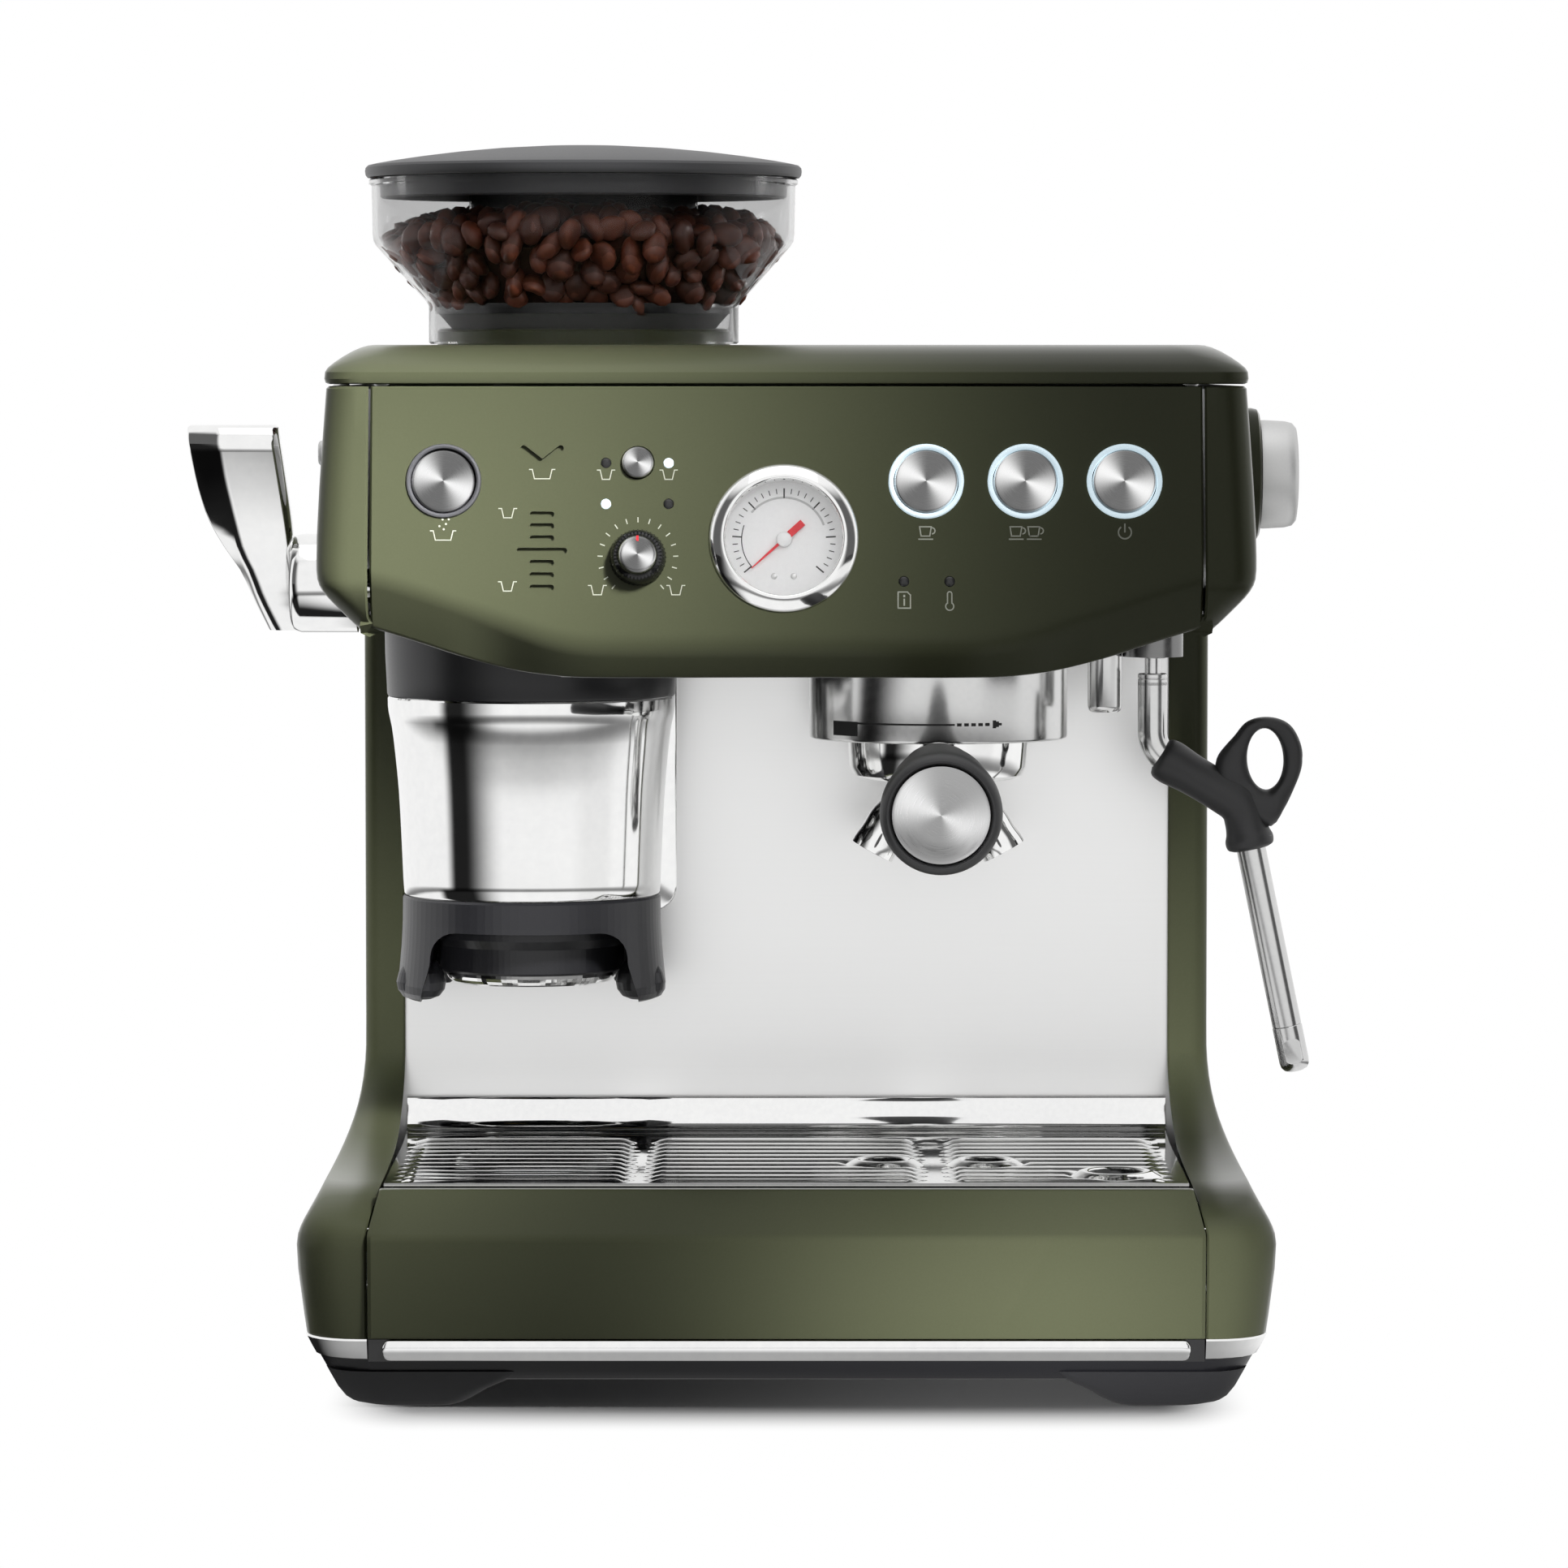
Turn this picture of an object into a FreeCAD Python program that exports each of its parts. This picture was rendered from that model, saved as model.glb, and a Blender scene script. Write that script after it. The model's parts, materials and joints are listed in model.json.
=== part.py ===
import FreeCAD, Part
import math
import os
import Sketcher

# Espresso machine with a built-in grinder and a lever tamper.
# Millimetres. X to the right, Y to the back, Z up; the front faces -Y and the floor is Z = 0.
# Sizes are taken from the body's middle plane, X = 0, and each finished piece is then moved
# so that the middle of the footprint is the origin.

Vector = FreeCAD.Vector
Placement = FreeCAD.Placement
Rotation = FreeCAD.Rotation
X_AXIS = Vector(1, 0, 0)
Y_AXIS = Vector(0, 1, 0)
Z_AXIS = Vector(0, 0, 1)
QUARTER_TURN = 90

# Driving dimensions, in millimetres and degrees.
DIMENSIONS = {
    # Middle of the footprint, seen from the body's middle plane and hopper line
    "footprint_x": -12.9,
    "footprint_y": -51.0,
    # Clearances
    "running_gap": 0.05,
    "moving_gap": 0.3,
    "seat_gap": 0.1,
    "side_gap": 0.4,
    "open_end": 1.0,
    # Walls
    "shell_wall": 3.0,
    "cover_wall": 2.5,
    "plastic_wall": 2.0,
    "sheet_wall": 1.5,
    # Base, from the floor up
    "foot_height": 6.0,
    "foot_length": 44.0,
    "foot_depth": 30.0,
    "foot_inset": 10.0,
    "pan_height": 10.6,
    "pan_inset": 4.0,
    "pan_setback": 5.5,
    "trim_height": 7.4,
    "trim_width": 9.0,
    "base_flare": 14.0,
    "base_taper": 3.0,
    "base_front": 146.5,
    "base_corner": 18.0,
    "back_depth": 138.0,
    # Drip tray
    "tray_proud": 3.5,
    "tray_inset": 10.2,
    "tray_face_height": 35.6,
    "tray_bevel_height": 12.1,
    "tray_bevel_depth": 15.0,
    "tray_lip": 4.5,
    "tray_box_inset": 6.8,
    "tray_box_back": 8.0,
    "strip_setback": 1.0,
    "grille_edge": 9.0,
    "grille_rise": 2.4,
    "upstand_height": 12.0,
    "rib_count": 9,
    "rib_slot": 6.0,
    # Columns and head
    "column_half_width": 146.0,
    "column_width": 14.0,
    "column_front": 10.0,
    "swoop_height": 44.0,
    "swoop_bend": 33.0,
    "swoop_reach": 114.0,
    "flare_height": 23.4,
    "column_corner": 6.0,
    "bay_height": 166.4,
    "lip_height": 10.5,
    "fascia_height": 84.4,
    "fascia_inset": 10.6,
    "fascia_tilt": 10.0,
    "crease_setback": 6.5,
    "lip_flat_half_width": 73.0,
    "lip_rise_angle": 17.3,
    "head_overhang": 6.8,
    "head_taper": 2.7,
    "head_chamfer": 4.2,
    "head_low_drop": 14.0,
    "head_corner": 10.0,
    "head_low_corner": 2.5,
    "cover_height": 13.0,
    "cover_slope": 9.1,
    "cover_top_front": 96.0,
    "cup_tray_left": 12.0,
    "cup_tray_right": 132.0,
    "cup_tray_front": 86.0,
    "cup_tray_back": 66.0,
    # Panels inside
    "splash_top_rise": 22.0,
    "bulkhead_front": 72.0,
    "bulkhead_wall": 2.0,
    # Water tank
    "tank_front": 75.5,
    "tank_wall": 2.5,
    # Hopper
    "hopper_offset": 16.9,
    "hopper_y": -4.0,
    "neck_radius": 53.0,
    "neck_height": 14.2,
    "cone_height": 20.8,
    "bowl_radius": 72.0,
    "bowl_height": 21.8,
    "hopper_outlet": 14.0,
    "collar_radius": 50.0,
    "collar_height": 5.5,
    "collar_bore": 36.0,
    "lid_radius": 74.5,
    "lid_rim_height": 4.3,
    "lid_dome_height": 7.0,
    "lid_shoulder_radius": 59.6,
    "lid_shoulder_height": 4.2,
    "lid_crown_radius": 29.8,
    "lid_plug_depth": 3.0,
    "bean_rise": 12.0,
    "bean_heap": 9.0,
    "bar_length": 78.0,
    "bar_width": 12.0,
    "bar_height": 8.0,
    "bar_stem": 4.0,
    "bar_lift": 1.0,
    # Grinder
    "chamber_radius": 31.0,
    "chamber_height": 44.0,
    "chamber_flange": 49.0,
    "burr_radius": 24.0,
    "burr_height": 22.0,
    "burr_taper": 8.0,
    "burr_shaft": 5.0,
    "gear_module": 2.0,
    "burr_teeth": 29,
    "motor_teeth": 18,
    "gear_width": 8.0,
    "tooth_backlash": 0.35,
    "pressure_angle": 20.0,
    "root_share": 1.25,
    "motor_radius": 26.0,
    "motor_height": 110.0,
    "motor_shaft": 4.0,
    "motor_pad_width": 40.0,
    "chute_offset": 34.2,
    "chute_y": -40.0,
    "chute_width": 12.0,
    # Cradle and tamper
    "cradle_side": 45.8,
    "cradle_y": -40.0,
    "cradle_collar_radius": 46.5,
    "cradle_collar_bore": 42.0,
    "cradle_collar_top_rise": 20.0,
    "shield_top_radius": 48.6,
    "shield_bottom_radius": 44.0,
    "shield_top_drop": 9.7,
    "shield_height": 67.4,
    "fork_ring_height": 11.0,
    "fork_bore": 33.5,
    "fork_leg_height": 24.4,
    "fork_leg_width": 15.0,
    "fork_leg_depth": 22.0,
    "fork_arm_width": 30.0,
    "back_plate_half_width": 48.6,
    "back_plate_drop": 88.0,
    "lever_pivot_y": -19.0,
    "lever_pivot_rise": 16.6,
    "lever_hub_radius": 17.0,
    "hub_standoff": 1.0,
    "hub_length": 21.0,
    "lever_root_reach": 8.0,
    "lever_root_lap": 5.5,
    "lever_outer_flare": 27.5,
    "lever_inner_flare": 9.0,
    "lever_root_drop": 6.0,
    "lever_rise": 53.0,
    "lever_lean": 15.0,
    "lever_thickness": 15.0,
    "lever_corner": 5.0,
    "recess_wall": 3.0,
    "tamp_shaft_radius": 5.0,
    "tamp_module": 1.5,
    "tamp_teeth": 20,
    "tamp_gear_width": 12.0,
    "rack_teeth": 8,
    "rack_teeth_below": 3,
    "rack_depth": 11.0,
    "rack_width": 10.0,
    "tamper_radius": 27.0,
    "tamper_height": 10.0,
    "tamper_top_drop": 43.0,
    "bearing_width": 4.0,
    "bearing_half_depth": 11.0,
    "bearing_over": 10.0,
    "bearing_lift": 6.0,
    # Group head and portafilter
    "group_x": 51.2,
    "group_y": -45.0,
    "group_radius": 43.4,
    "group_drop": 23.1,
    "group_rise": 20.0,
    "group_bore": 37.0,
    "group_bore_depth": 16.0,
    "screen_height": 2.0,
    "screen_radius": 28.0,
    "basin_radius": 30.4,
    "basin_drop": 15.7,
    "basin_wall": 3.0,
    "basket_wall": 1.0,
    "basket_lift": 4.0,
    "flange_height": 8.0,
    "neck_rod_radius": 7.0,
    "neck_rod_length": 32.0,
    "handle_root": 31.0,
    "handle_fall": 2.2,
    "handle_start": 28.0,
    "handle_length": 164.4,
    "handle_thin_radius": 11.5,
    "handle_thick_radius": 18.3,
    "handle_flare": 38.0,
    "cap_radius": 15.6,
    "cap_thickness": 3.0,
    "handle_root_rise": 7.6,
    "spout_radius": 8.0,
    "spout_angle": 42.0,
    "spout_drop": 25.5,
    "spout_block": 13.0,
    "spout_block_height": 9.0,
    # Steam wand and hot water
    "wand_side": 9.3,
    "wand_y": -60.0,
    "ball_radius": 7.5,
    "ball_rise": 6.3,
    "socket_radius": 10.2,
    "socket_lip": 2.4,
    "socket_height": 17.0,
    "wand_radius": 4.7,
    "wand_bend": 12.0,
    "grip_drop": 38.1,
    "grip_offset": 1.5,
    "elbow_out": 30.1,
    "elbow_drop": 54.5,
    "tip_out": 49.6,
    "tip_drop": 142.0,
    "tip_radius": 5.6,
    "tip_length": 11.0,
    "grip_radius": 8.0,
    "loop_out": 37.1,
    "loop_drop": 36.8,
    "loop_half_width": 10.5,
    "loop_half_height": 15.5,
    "loop_bore_half_width": 5.5,
    "loop_thickness": 9.0,
    "water_offset": 16.0,
    "water_radius": 5.7,
    "water_drop": 15.0,
    "water_rise": 20.0,
    # Controls on the fascia; heights are above the crease
    "button_row": 53.3,
    "dose_inset": 24.2,
    "button_pitch": 32.15,
    "power_inset": 25.8,
    "button_radius": 10.4,
    "ring_radius": 12.1,
    "button_depth": 9.0,
    "button_proud": 0.6,
    "filter_x": -48.2,
    "filter_row": 59.3,
    "filter_radius": 5.2,
    "dial_x": -48.1,
    "dial_row": 28.6,
    "dial_radius": 9.0,
    "dial_face_radius": 6.0,
    "dial_skirt_height": 5.0,
    "dial_height": 9.0,
    "dial_shaft": 3.0,
    "dial_shaft_depth": 8.0,
    "gauge_x": -0.8,
    "gauge_row": 35.0,
    "gauge_radius": 23.4,
    "gauge_face_radius": 19.2,
    "gauge_body_radius": 21.5,
    "gauge_body_depth": 14.0,
    "gauge_proud": 3.4,
    "gauge_face_depth": 4.0,
    "needle_length": 14.5,
    "needle_tail": 8.0,
    "needle_width": 1.2,
    "needle_thickness": 0.8,
    "needle_hub": 2.6,
    "needle_hub_height": 1.6,
    "needle_rest_angle": 222.0,
    "light_radius": 1.6,
    "light_depth": 4.0,
    "upper_light_row": 59.2,
    "lower_light_row": 46.0,
    "left_light_x": -58.5,
    "right_light_x": -38.2,
    "alert_light_row": 21.0,
    "info_light_x": 38.0,
    "heat_light_x": 52.8,
    # Dials on the sides
    "grind_dial_y": -40.0,
    "grind_dial_rise": 61.4,
    "grind_dial_radius": 23.0,
    "grind_dial_thickness": 3.0,
    "grind_fin_width": 8.0,
    "grind_fin_height": 5.0,
    "grind_fin_half_length": 20.0,
    "side_shaft": 5.0,
    "side_shaft_clear": 0.6,
    "steam_dial_y": -40.0,
    "steam_dial_rise": 54.0,
    "steam_boss_radius": 22.0,
    "boss_root": 7.1,
    "boss_proud": 6.4,
    "steam_dial_radius": 18.0,
    "steam_dial_height": 12.6,
    # Inside
    "heater_radius": 26.0,
    "heater_height": 66.0,
    "pump_x": 40.0,
    "pump_y": 44.0,
    "pump_radius": 22.0,
    "pump_length": 110.0,
    "pump_block_width": 36.0,
    "board_inset": 50.0,
    "board_width": 52.0,
    "board_height": 90.0,
    "board_thickness": 1.6,
    "board_standoff": 5.0,
    "board_rise": 120.0,
    "standoff_radius": 3.0,
    "gland_radius": 4.4,
    "gland_bore": 2.5,
    "gland_length": 14.0,
    "gland_x": 60.0,
}

doc = FreeCAD.newDocument("espresso_machine")
sheet = doc.addObject("Spreadsheet::Sheet", "Sizes")
for row, (alias, number) in enumerate(DIMENSIONS.items(), start=1):
    sheet.set(f"A{row}", alias)
    sheet.set(f"B{row}", str(number))
    sheet.setAlias(f"B{row}", alias)
doc.recompute()


class Size:
    """A number, with the sheet expression that it comes from."""

    def __init__(self, value, text):
        self.value = value
        self.text = text

    def __add__(self, other):
        other = as_size(other)
        return Size(self.value + other.value, f"({self.text} + {other.text})")

    def __sub__(self, other):
        other = as_size(other)
        return Size(self.value - other.value, f"({self.text} - {other.text})")

    def __mul__(self, other):
        other = as_size(other)
        return Size(self.value * other.value, f"({self.text} * {other.text})")

    def __truediv__(self, other):
        other = as_size(other)
        return Size(self.value / other.value, f"({self.text} / {other.text})")

    def __neg__(self):
        return Size(-self.value, f"(-{self.text})")

    def __float__(self):
        return self.value


def as_size(number):
    """A plain number as a Size; a Size as it is."""
    if isinstance(number, Size):
        return number
    return Size(float(number), f"({float(number)})")


class SheetSizes:
    """Reads each driving dimension by its name."""

    def __getattr__(self, alias):
        return Size(float(DIMENSIONS[alias]), f"Sizes.{alias}")


d = SheetSizes()


def whole(count):
    """A count as a whole number."""
    return Size(float(round(count.value)), f"round({count.text})")


def cosine(angle):
    return Size(math.cos(math.radians(angle.value)), f"cos({angle.text} * 1 deg)")


def sine(angle):
    return Size(math.sin(math.radians(angle.value)), f"sin({angle.text} * 1 deg)")


def tangent(angle):
    return Size(math.tan(math.radians(angle.value)), f"tan({angle.text} * 1 deg)")


# Widths and depths that follow the columns and the base.
base_half_width = d.column_half_width + d.base_flare
base_foot_half_width = base_half_width - d.base_taper
pan_half_width = base_foot_half_width - d.pan_inset
tray_half_width = d.column_half_width - d.tray_inset
tray_box_half_width = tray_half_width - d.tray_box_inset
column_inner = d.column_half_width - d.column_width
grille_half_width = column_inner - d.side_gap
tank_half_width = column_inner - d.side_gap
fascia_half_width = d.column_half_width - d.fascia_inset
head_half_width = d.column_half_width + d.head_overhang
head_top_half_width = head_half_width - d.head_taper
head_low_half_width = fascia_half_width + d.head_chamfer
cover_top_half_width = head_top_half_width - d.cover_slope
lever_hub_inner = d.column_half_width + d.hub_standoff
lever_hub_outer = lever_hub_inner + d.hub_length
lever_root_outer = lever_hub_outer + d.lever_root_reach
lever_root_inner = lever_hub_outer - d.lever_root_lap
steam_boss_inner = head_top_half_width - d.boss_root
steam_boss_outer = head_half_width + d.boss_proud
side_shaft_reach = fascia_half_width + d.side_shaft_clear
pan_front = d.base_front - d.pan_setback
tray_front_depth = d.base_front + d.tray_proud
trim_front_depth = tray_front_depth - d.strip_setback
crease_depth = d.base_front - d.crease_setback
cradle_x = d.cradle_side - column_inner
hopper_x = cradle_x + d.hopper_offset
chute_x = cradle_x + d.chute_offset
wand_x = column_inner - d.wand_side
water_x = wand_x - d.water_offset
board_x = column_inner - d.board_inset
dose_button_x = d.dose_inset - fascia_half_width
power_x = fascia_half_width - d.power_inset
two_cup_x = power_x - d.button_pitch
one_cup_x = two_cup_x - d.button_pitch

# Levels, stacked from the floor up.
pan_top = d.foot_height + d.pan_height
trim_top = pan_top + d.trim_height
front_crease = trim_top + d.tray_face_height
tray_top = front_crease + d.tray_bevel_height
head_base = tray_top + d.bay_height
fascia_crease = head_base + d.lip_height
head_top = fascia_crease + d.fascia_height
cover_top = head_top + d.cover_height
neck_top = cover_top + d.neck_height
cone_top = neck_top + d.cone_height
bowl_top = cone_top + d.bowl_height
lever_pivot = fascia_crease + d.lever_pivot_rise
group_bottom = head_base - d.group_drop
group_ceiling = group_bottom + d.group_bore_depth
basin_bottom = group_bottom - d.basin_drop
shield_top = head_base - d.shield_top_drop
shield_bottom = shield_top - d.shield_height
fork_bottom = shield_bottom - d.fork_ring_height
ball_height = head_base + d.ball_rise
chamber_top = cover_top - d.cover_wall
chamber_bottom = chamber_top - d.chamber_height
gear_top = chamber_bottom - d.plastic_wall
gear_bottom = gear_top - d.gear_width
burr_teeth = whole(d.burr_teeth)
motor_teeth = whole(d.motor_teeth)
tamp_teeth = whole(d.tamp_teeth)
burr_pitch = d.gear_module * burr_teeth / 2
motor_pitch = d.gear_module * motor_teeth / 2
motor_y = d.hopper_y + burr_pitch + motor_pitch
tamp_pitch = d.tamp_module * tamp_teeth / 2
rack_pitch_y = d.lever_pivot_y - tamp_pitch
splash_front = d.column_front + d.shell_wall
inner_half_width = d.column_half_width - d.column_corner
lip_rise = tangent(d.lip_rise_angle) * (fascia_half_width - d.lip_flat_half_width)
basin_bore = d.basin_radius - d.basin_wall

PIECES = []


def piece(label, *solids):
    """Name a finished sub-part and move it to the footprint; the label names its file."""
    seated = doc.addObject("Part::Compound", f"{label}_seated")
    seated.Links = list(solids)
    place(seated, -d.footprint_x, -d.footprint_y, 0)
    seated.Label = label
    PIECES.append(seated)


def bind(target, field, size):
    """Tie a property to the sheet."""
    target.setExpression(field, as_size(size).text)


def place(solid, x, y, z, axis=Z_AXIS, angle=None):
    """Put a solid at a point, turned about an axis."""
    if angle is not None:
        solid.Placement = Placement(Vector(), Rotation(axis, float(angle)))
        if isinstance(angle, Size):
            bind(solid, "Placement.Rotation.Angle", angle)
    for letter, size in zip("xyz", (x, y, z)):
        bind(solid, f"Placement.Base.{letter}", size)
    return solid


def box(name, x, y, z):
    """A block between two X, two Y and two Z values."""
    solid = doc.addObject("Part::Box", name)
    for field, span in zip(("Length", "Width", "Height"), (x, y, z)):
        bind(solid, field, as_size(span[1]) - span[0])
    return place(solid, x[0], y[0], z[0])


def stand(solid, axis, centre, start):
    """Turn a solid of revolution from Z to an axis and put it on its centre line."""
    if axis == "X":
        return place(solid, start, centre[0], centre[1], Y_AXIS, QUARTER_TURN)
    if axis == "Y":
        return place(solid, centre[0], start, centre[1], X_AXIS, -QUARTER_TURN)
    return place(solid, centre[0], centre[1], start)


def rod(name, axis, centre, span, radius):
    """A cylinder along an axis between two values."""
    solid = doc.addObject("Part::Cylinder", name)
    bind(solid, "Radius", radius)
    bind(solid, "Height", as_size(span[1]) - span[0])
    return stand(solid, axis, centre, span[0])


def cone(name, axis, centre, span, first_radius, last_radius):
    """A cone along an axis between two values."""
    solid = doc.addObject("Part::Cone", name)
    bind(solid, "Radius1", first_radius)
    bind(solid, "Radius2", last_radius)
    bind(solid, "Height", as_size(span[1]) - span[0])
    return stand(solid, axis, centre, span[0])


def ball(name, centre, radius):
    """A full sphere."""
    solid = doc.addObject("Part::Sphere", name)
    bind(solid, "Radius", radius)
    return place(solid, *centre)


def cut(name, base, *tools):
    """A solid less one or more tools."""
    whole = doc.addObject("Part::Cut", name)
    whole.Base = base
    whole.Tool = tools[0] if len(tools) == 1 else join(f"{name}_tools", *tools)
    return whole


def join(name, *solids):
    """Solids fused to one."""
    whole = doc.addObject("Part::MultiFuse", name)
    whole.Shapes = list(solids)
    return whole


def sketch_in(body, name, plane, offset=0):
    """An empty sketch on one of the body's own origin planes."""
    sketch = body.newObject("Sketcher::SketchObject", name)
    support = [feature for feature in body.Origin.OriginFeatures if feature.Role == plane][0]
    sketch.AttachmentSupport = [(support, "")]
    sketch.MapMode = "FlatFace"
    bind(sketch, "AttachmentOffset.Base.z", offset)
    return sketch


def outline(sketch, corners):
    """A closed polygon whose corners are tied to the sheet."""
    sizes = [(as_size(x), as_size(y)) for x, y in corners]
    points = [Vector(x.value, y.value, 0) for x, y in sizes]
    count = len(points)
    for index in range(count):
        sketch.addGeometry(Part.LineSegment(points[index], points[(index + 1) % count]))
    for index in range(count):
        sketch.addConstraint(Sketcher.Constraint("Coincident", index, 2, (index + 1) % count, 1))
    for index, (x, y) in enumerate(sizes):
        for kind, size in (("DistanceX", x), ("DistanceY", y)):
            constraint = Sketcher.Constraint(kind, -1, 1, index, 1, size.value)
            number = sketch.addConstraint(constraint)
            sketch.renameConstraint(number, f"{kind}{index}")
            bind(sketch, f"Constraints.{kind}{index}", size)


def turned(name, profile):
    """A body turned about its own Z axis from (radius, height) corners."""
    body = doc.addObject("PartDesign::Body", name)
    sketch = sketch_in(body, f"{name}_profile", "XZ_Plane")
    outline(sketch, profile)
    turning = body.newObject("PartDesign::Revolution", f"{name}_turning")
    turning.Profile = sketch
    turning.ReferenceAxis = (sketch, ["V_Axis"])
    turning.Angle = 360
    return body


def padded(name, plane, corners, span):
    """A body padded from an outline on an origin plane, between two values across it."""
    body = doc.addObject("PartDesign::Body", name)
    low = as_size(span[0])
    high = as_size(span[1])
    offset = -high if plane == "XZ_Plane" else low
    sketch = sketch_in(body, f"{name}_outline", plane, offset)
    outline(sketch, corners)
    pad = body.newObject("PartDesign::Pad", f"{name}_pad")
    pad.Profile = sketch
    bind(pad, "Length", high - low)
    return body


def lofted(name, sections):
    """A ruled loft through outlines at heights above the body's XY plane."""
    body = doc.addObject("PartDesign::Body", name)
    sketches = []
    for index, (height, corners) in enumerate(sections):
        sketch = sketch_in(body, f"{name}_section{index}", "XY_Plane", height)
        outline(sketch, corners)
        sketches.append(sketch)
    loft = body.newObject("PartDesign::AdditiveLoft", f"{name}_loft")
    loft.Profile = sketches[0]
    loft.Sections = sketches[1:]
    loft.Ruled = True
    return body


def shaped(name, shape):
    """A solid whose shape is made by curves and lofts of its own."""
    solid = doc.addObject("Part::Feature", name)
    solid.Shape = shape
    return solid


def on_face(solid, x, row, lift=0):
    """Seat a solid on the fascia: its Z points out of the face, its Y up the face."""
    row = as_size(row)
    lift = as_size(lift)
    y = row * tangent(d.fascia_tilt) - crease_depth - lift * cosine(d.fascia_tilt)
    z = fascia_crease + row + lift * sine(d.fascia_tilt)
    return place(solid, x, y, z, X_AXIS, Size(90.0, "90") - d.fascia_tilt)


def face_rod(name, x, row, span, radius):
    """A cylinder square to the fascia between two distances out of it."""
    solid = doc.addObject("Part::Cylinder", name)
    bind(solid, "Radius", radius)
    bind(solid, "Height", as_size(span[1]) - span[0])
    return on_face(solid, x, row, span[0])


def rectangle(half_width, low, high):
    """Corners of a rectangle that is even about the middle plane."""
    return [(-half_width, low), (half_width, low), (half_width, high), (-half_width, high)]


# Gears


def involute(angle):
    return math.tan(angle) - angle


def gear_shape(teeth, module, width):
    """A spur gear on the Z axis, from Z = 0 up, with one tooth centred on +X."""
    teeth = int(float(teeth))
    module = float(module)
    width = float(width)
    pressure = math.radians(float(d.pressure_angle))
    pitch = module * teeth / 2
    base = pitch * math.cos(pressure)
    tip = pitch + module
    root = pitch - float(d.root_share) * module
    start = max(base, root)
    half_tooth = (math.pi * module / 2 - float(d.tooth_backlash)) / (2 * pitch)
    flank = [(root, start)]
    for step in range(4):
        radius = start + (tip - start) * step / 3
        flank.append((radius, radius))
    points = []
    for tooth in range(teeth):
        centre = 2 * math.pi * tooth / teeth
        side = []
        for radius, reading in flank:
            turn = half_tooth + involute(pressure) - involute(math.acos(base / reading))
            side.append((radius, turn))
        turns = [(radius, centre - turn) for radius, turn in side]
        turns += [(radius, centre + turn) for radius, turn in reversed(side)]
        points += [Vector(r * math.cos(a), r * math.sin(a), 0) for r, a in turns]
    face = Part.Face(Part.makePolygon(points + points[:1]))
    return face.extrude(Vector(0, 0, width))


def spun(shape, degrees):
    """A shape turned about the Z axis."""
    return shape.rotated(Vector(), Z_AXIS, degrees)


# Base


def rubber_feet():
    feet = []
    rear = d.back_depth - d.foot_inset - d.foot_depth
    ends = {"front": d.foot_inset - pan_front, "rear": rear}
    for side in (-1, 1):
        outer = (pan_half_width - d.foot_inset) * side
        inner = outer - d.foot_length * side
        span = (outer, inner) if side < 0 else (inner, outer)
        for end, y in ends.items():
            feet.append(box(f"{end}_foot", span, (y, y + d.foot_depth), (0, d.foot_height)))
    piece("rubber_feet", *feet)


def base_pan():
    y = (-pan_front, d.back_depth)
    block = padded("pan_block", "XY_Plane", rectangle(pan_half_width, *y), (d.foot_height, pan_top))
    half_hollow = pan_half_width - d.foot_inset * 2 - d.foot_length
    hollow = box(
        "pan_hollow",
        (-half_hollow, half_hollow),
        (y[0] + d.shell_wall, y[1] - d.shell_wall),
        (d.foot_height - d.open_end, pan_top - d.shell_wall),
    )
    centre = (d.gland_x, d.foot_height + d.pan_height / 2)
    sleeve = rod("gland_sleeve", "Y", centre, (y[1] - d.gland_length, y[1] + d.open_end), d.gland_radius)
    bore_span = (y[1] - d.gland_length - d.open_end, y[1] + d.open_end * 2)
    bore = rod("gland_bore", "Y", centre, bore_span, d.gland_bore)
    body = join("pan_with_gland", cut("pan", block, hollow), sleeve)
    piece("base_pan", cut("pan_bored", body, bore))


def base_trim():
    outer = base_foot_half_width
    inner = outer - d.trim_width
    front = -d.base_front
    seam = tray_half_width + d.moving_gap
    back = d.back_depth
    corner = d.base_corner
    corners = [
        (seam, front),
        (outer - corner, front),
        (outer, front + corner),
        (outer, back),
        (-outer, back),
        (-outer, front + corner),
        (corner - outer, front),
        (-seam, front),
        (-seam, front + d.trim_width),
        (-inner + corner / 2, front + d.trim_width),
        (-inner, front + d.trim_width + corner / 2),
        (-inner, back - d.trim_width),
        (inner, back - d.trim_width),
        (inner, front + d.trim_width + corner / 2),
        (inner - corner / 2, front + d.trim_width),
        (seam, front + d.trim_width),
    ]
    piece("base_trim", padded("trim", "XY_Plane", corners, (pan_top, trim_top)))


# Side panels: shells lofted through level sections, open towards the machine


def section(height, inner, outer, front, corner, back):
    """A level outline with rounded outer corners, for the right-hand side."""
    bevel = corner * (1 - math.sqrt(0.5))
    points = [Vector(inner, front, height), Vector(outer - corner, front, height)]
    front_arc = Vector(outer - bevel, front + bevel, height)
    front_end = Vector(outer, front + corner, height)
    back_start = Vector(outer, back - corner, height)
    back_arc = Vector(outer - bevel, back - bevel, height)
    back_end = Vector(outer - corner, back, height)
    inner_end = Vector(inner, back, height)
    edges = [
        Part.LineSegment(points[0], points[1]),
        Part.Arc(points[1], front_arc, front_end),
        Part.LineSegment(front_end, back_start),
        Part.Arc(back_start, back_arc, back_end),
        Part.LineSegment(back_end, inner_end),
        Part.LineSegment(inner_end, points[0]),
    ]
    return Part.Wire([edge.toShape() for edge in edges])


SHELF_TURNS = (90, 60, 30)
BEND_TURNS = (90, 65, 40, 20, 0)


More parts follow.
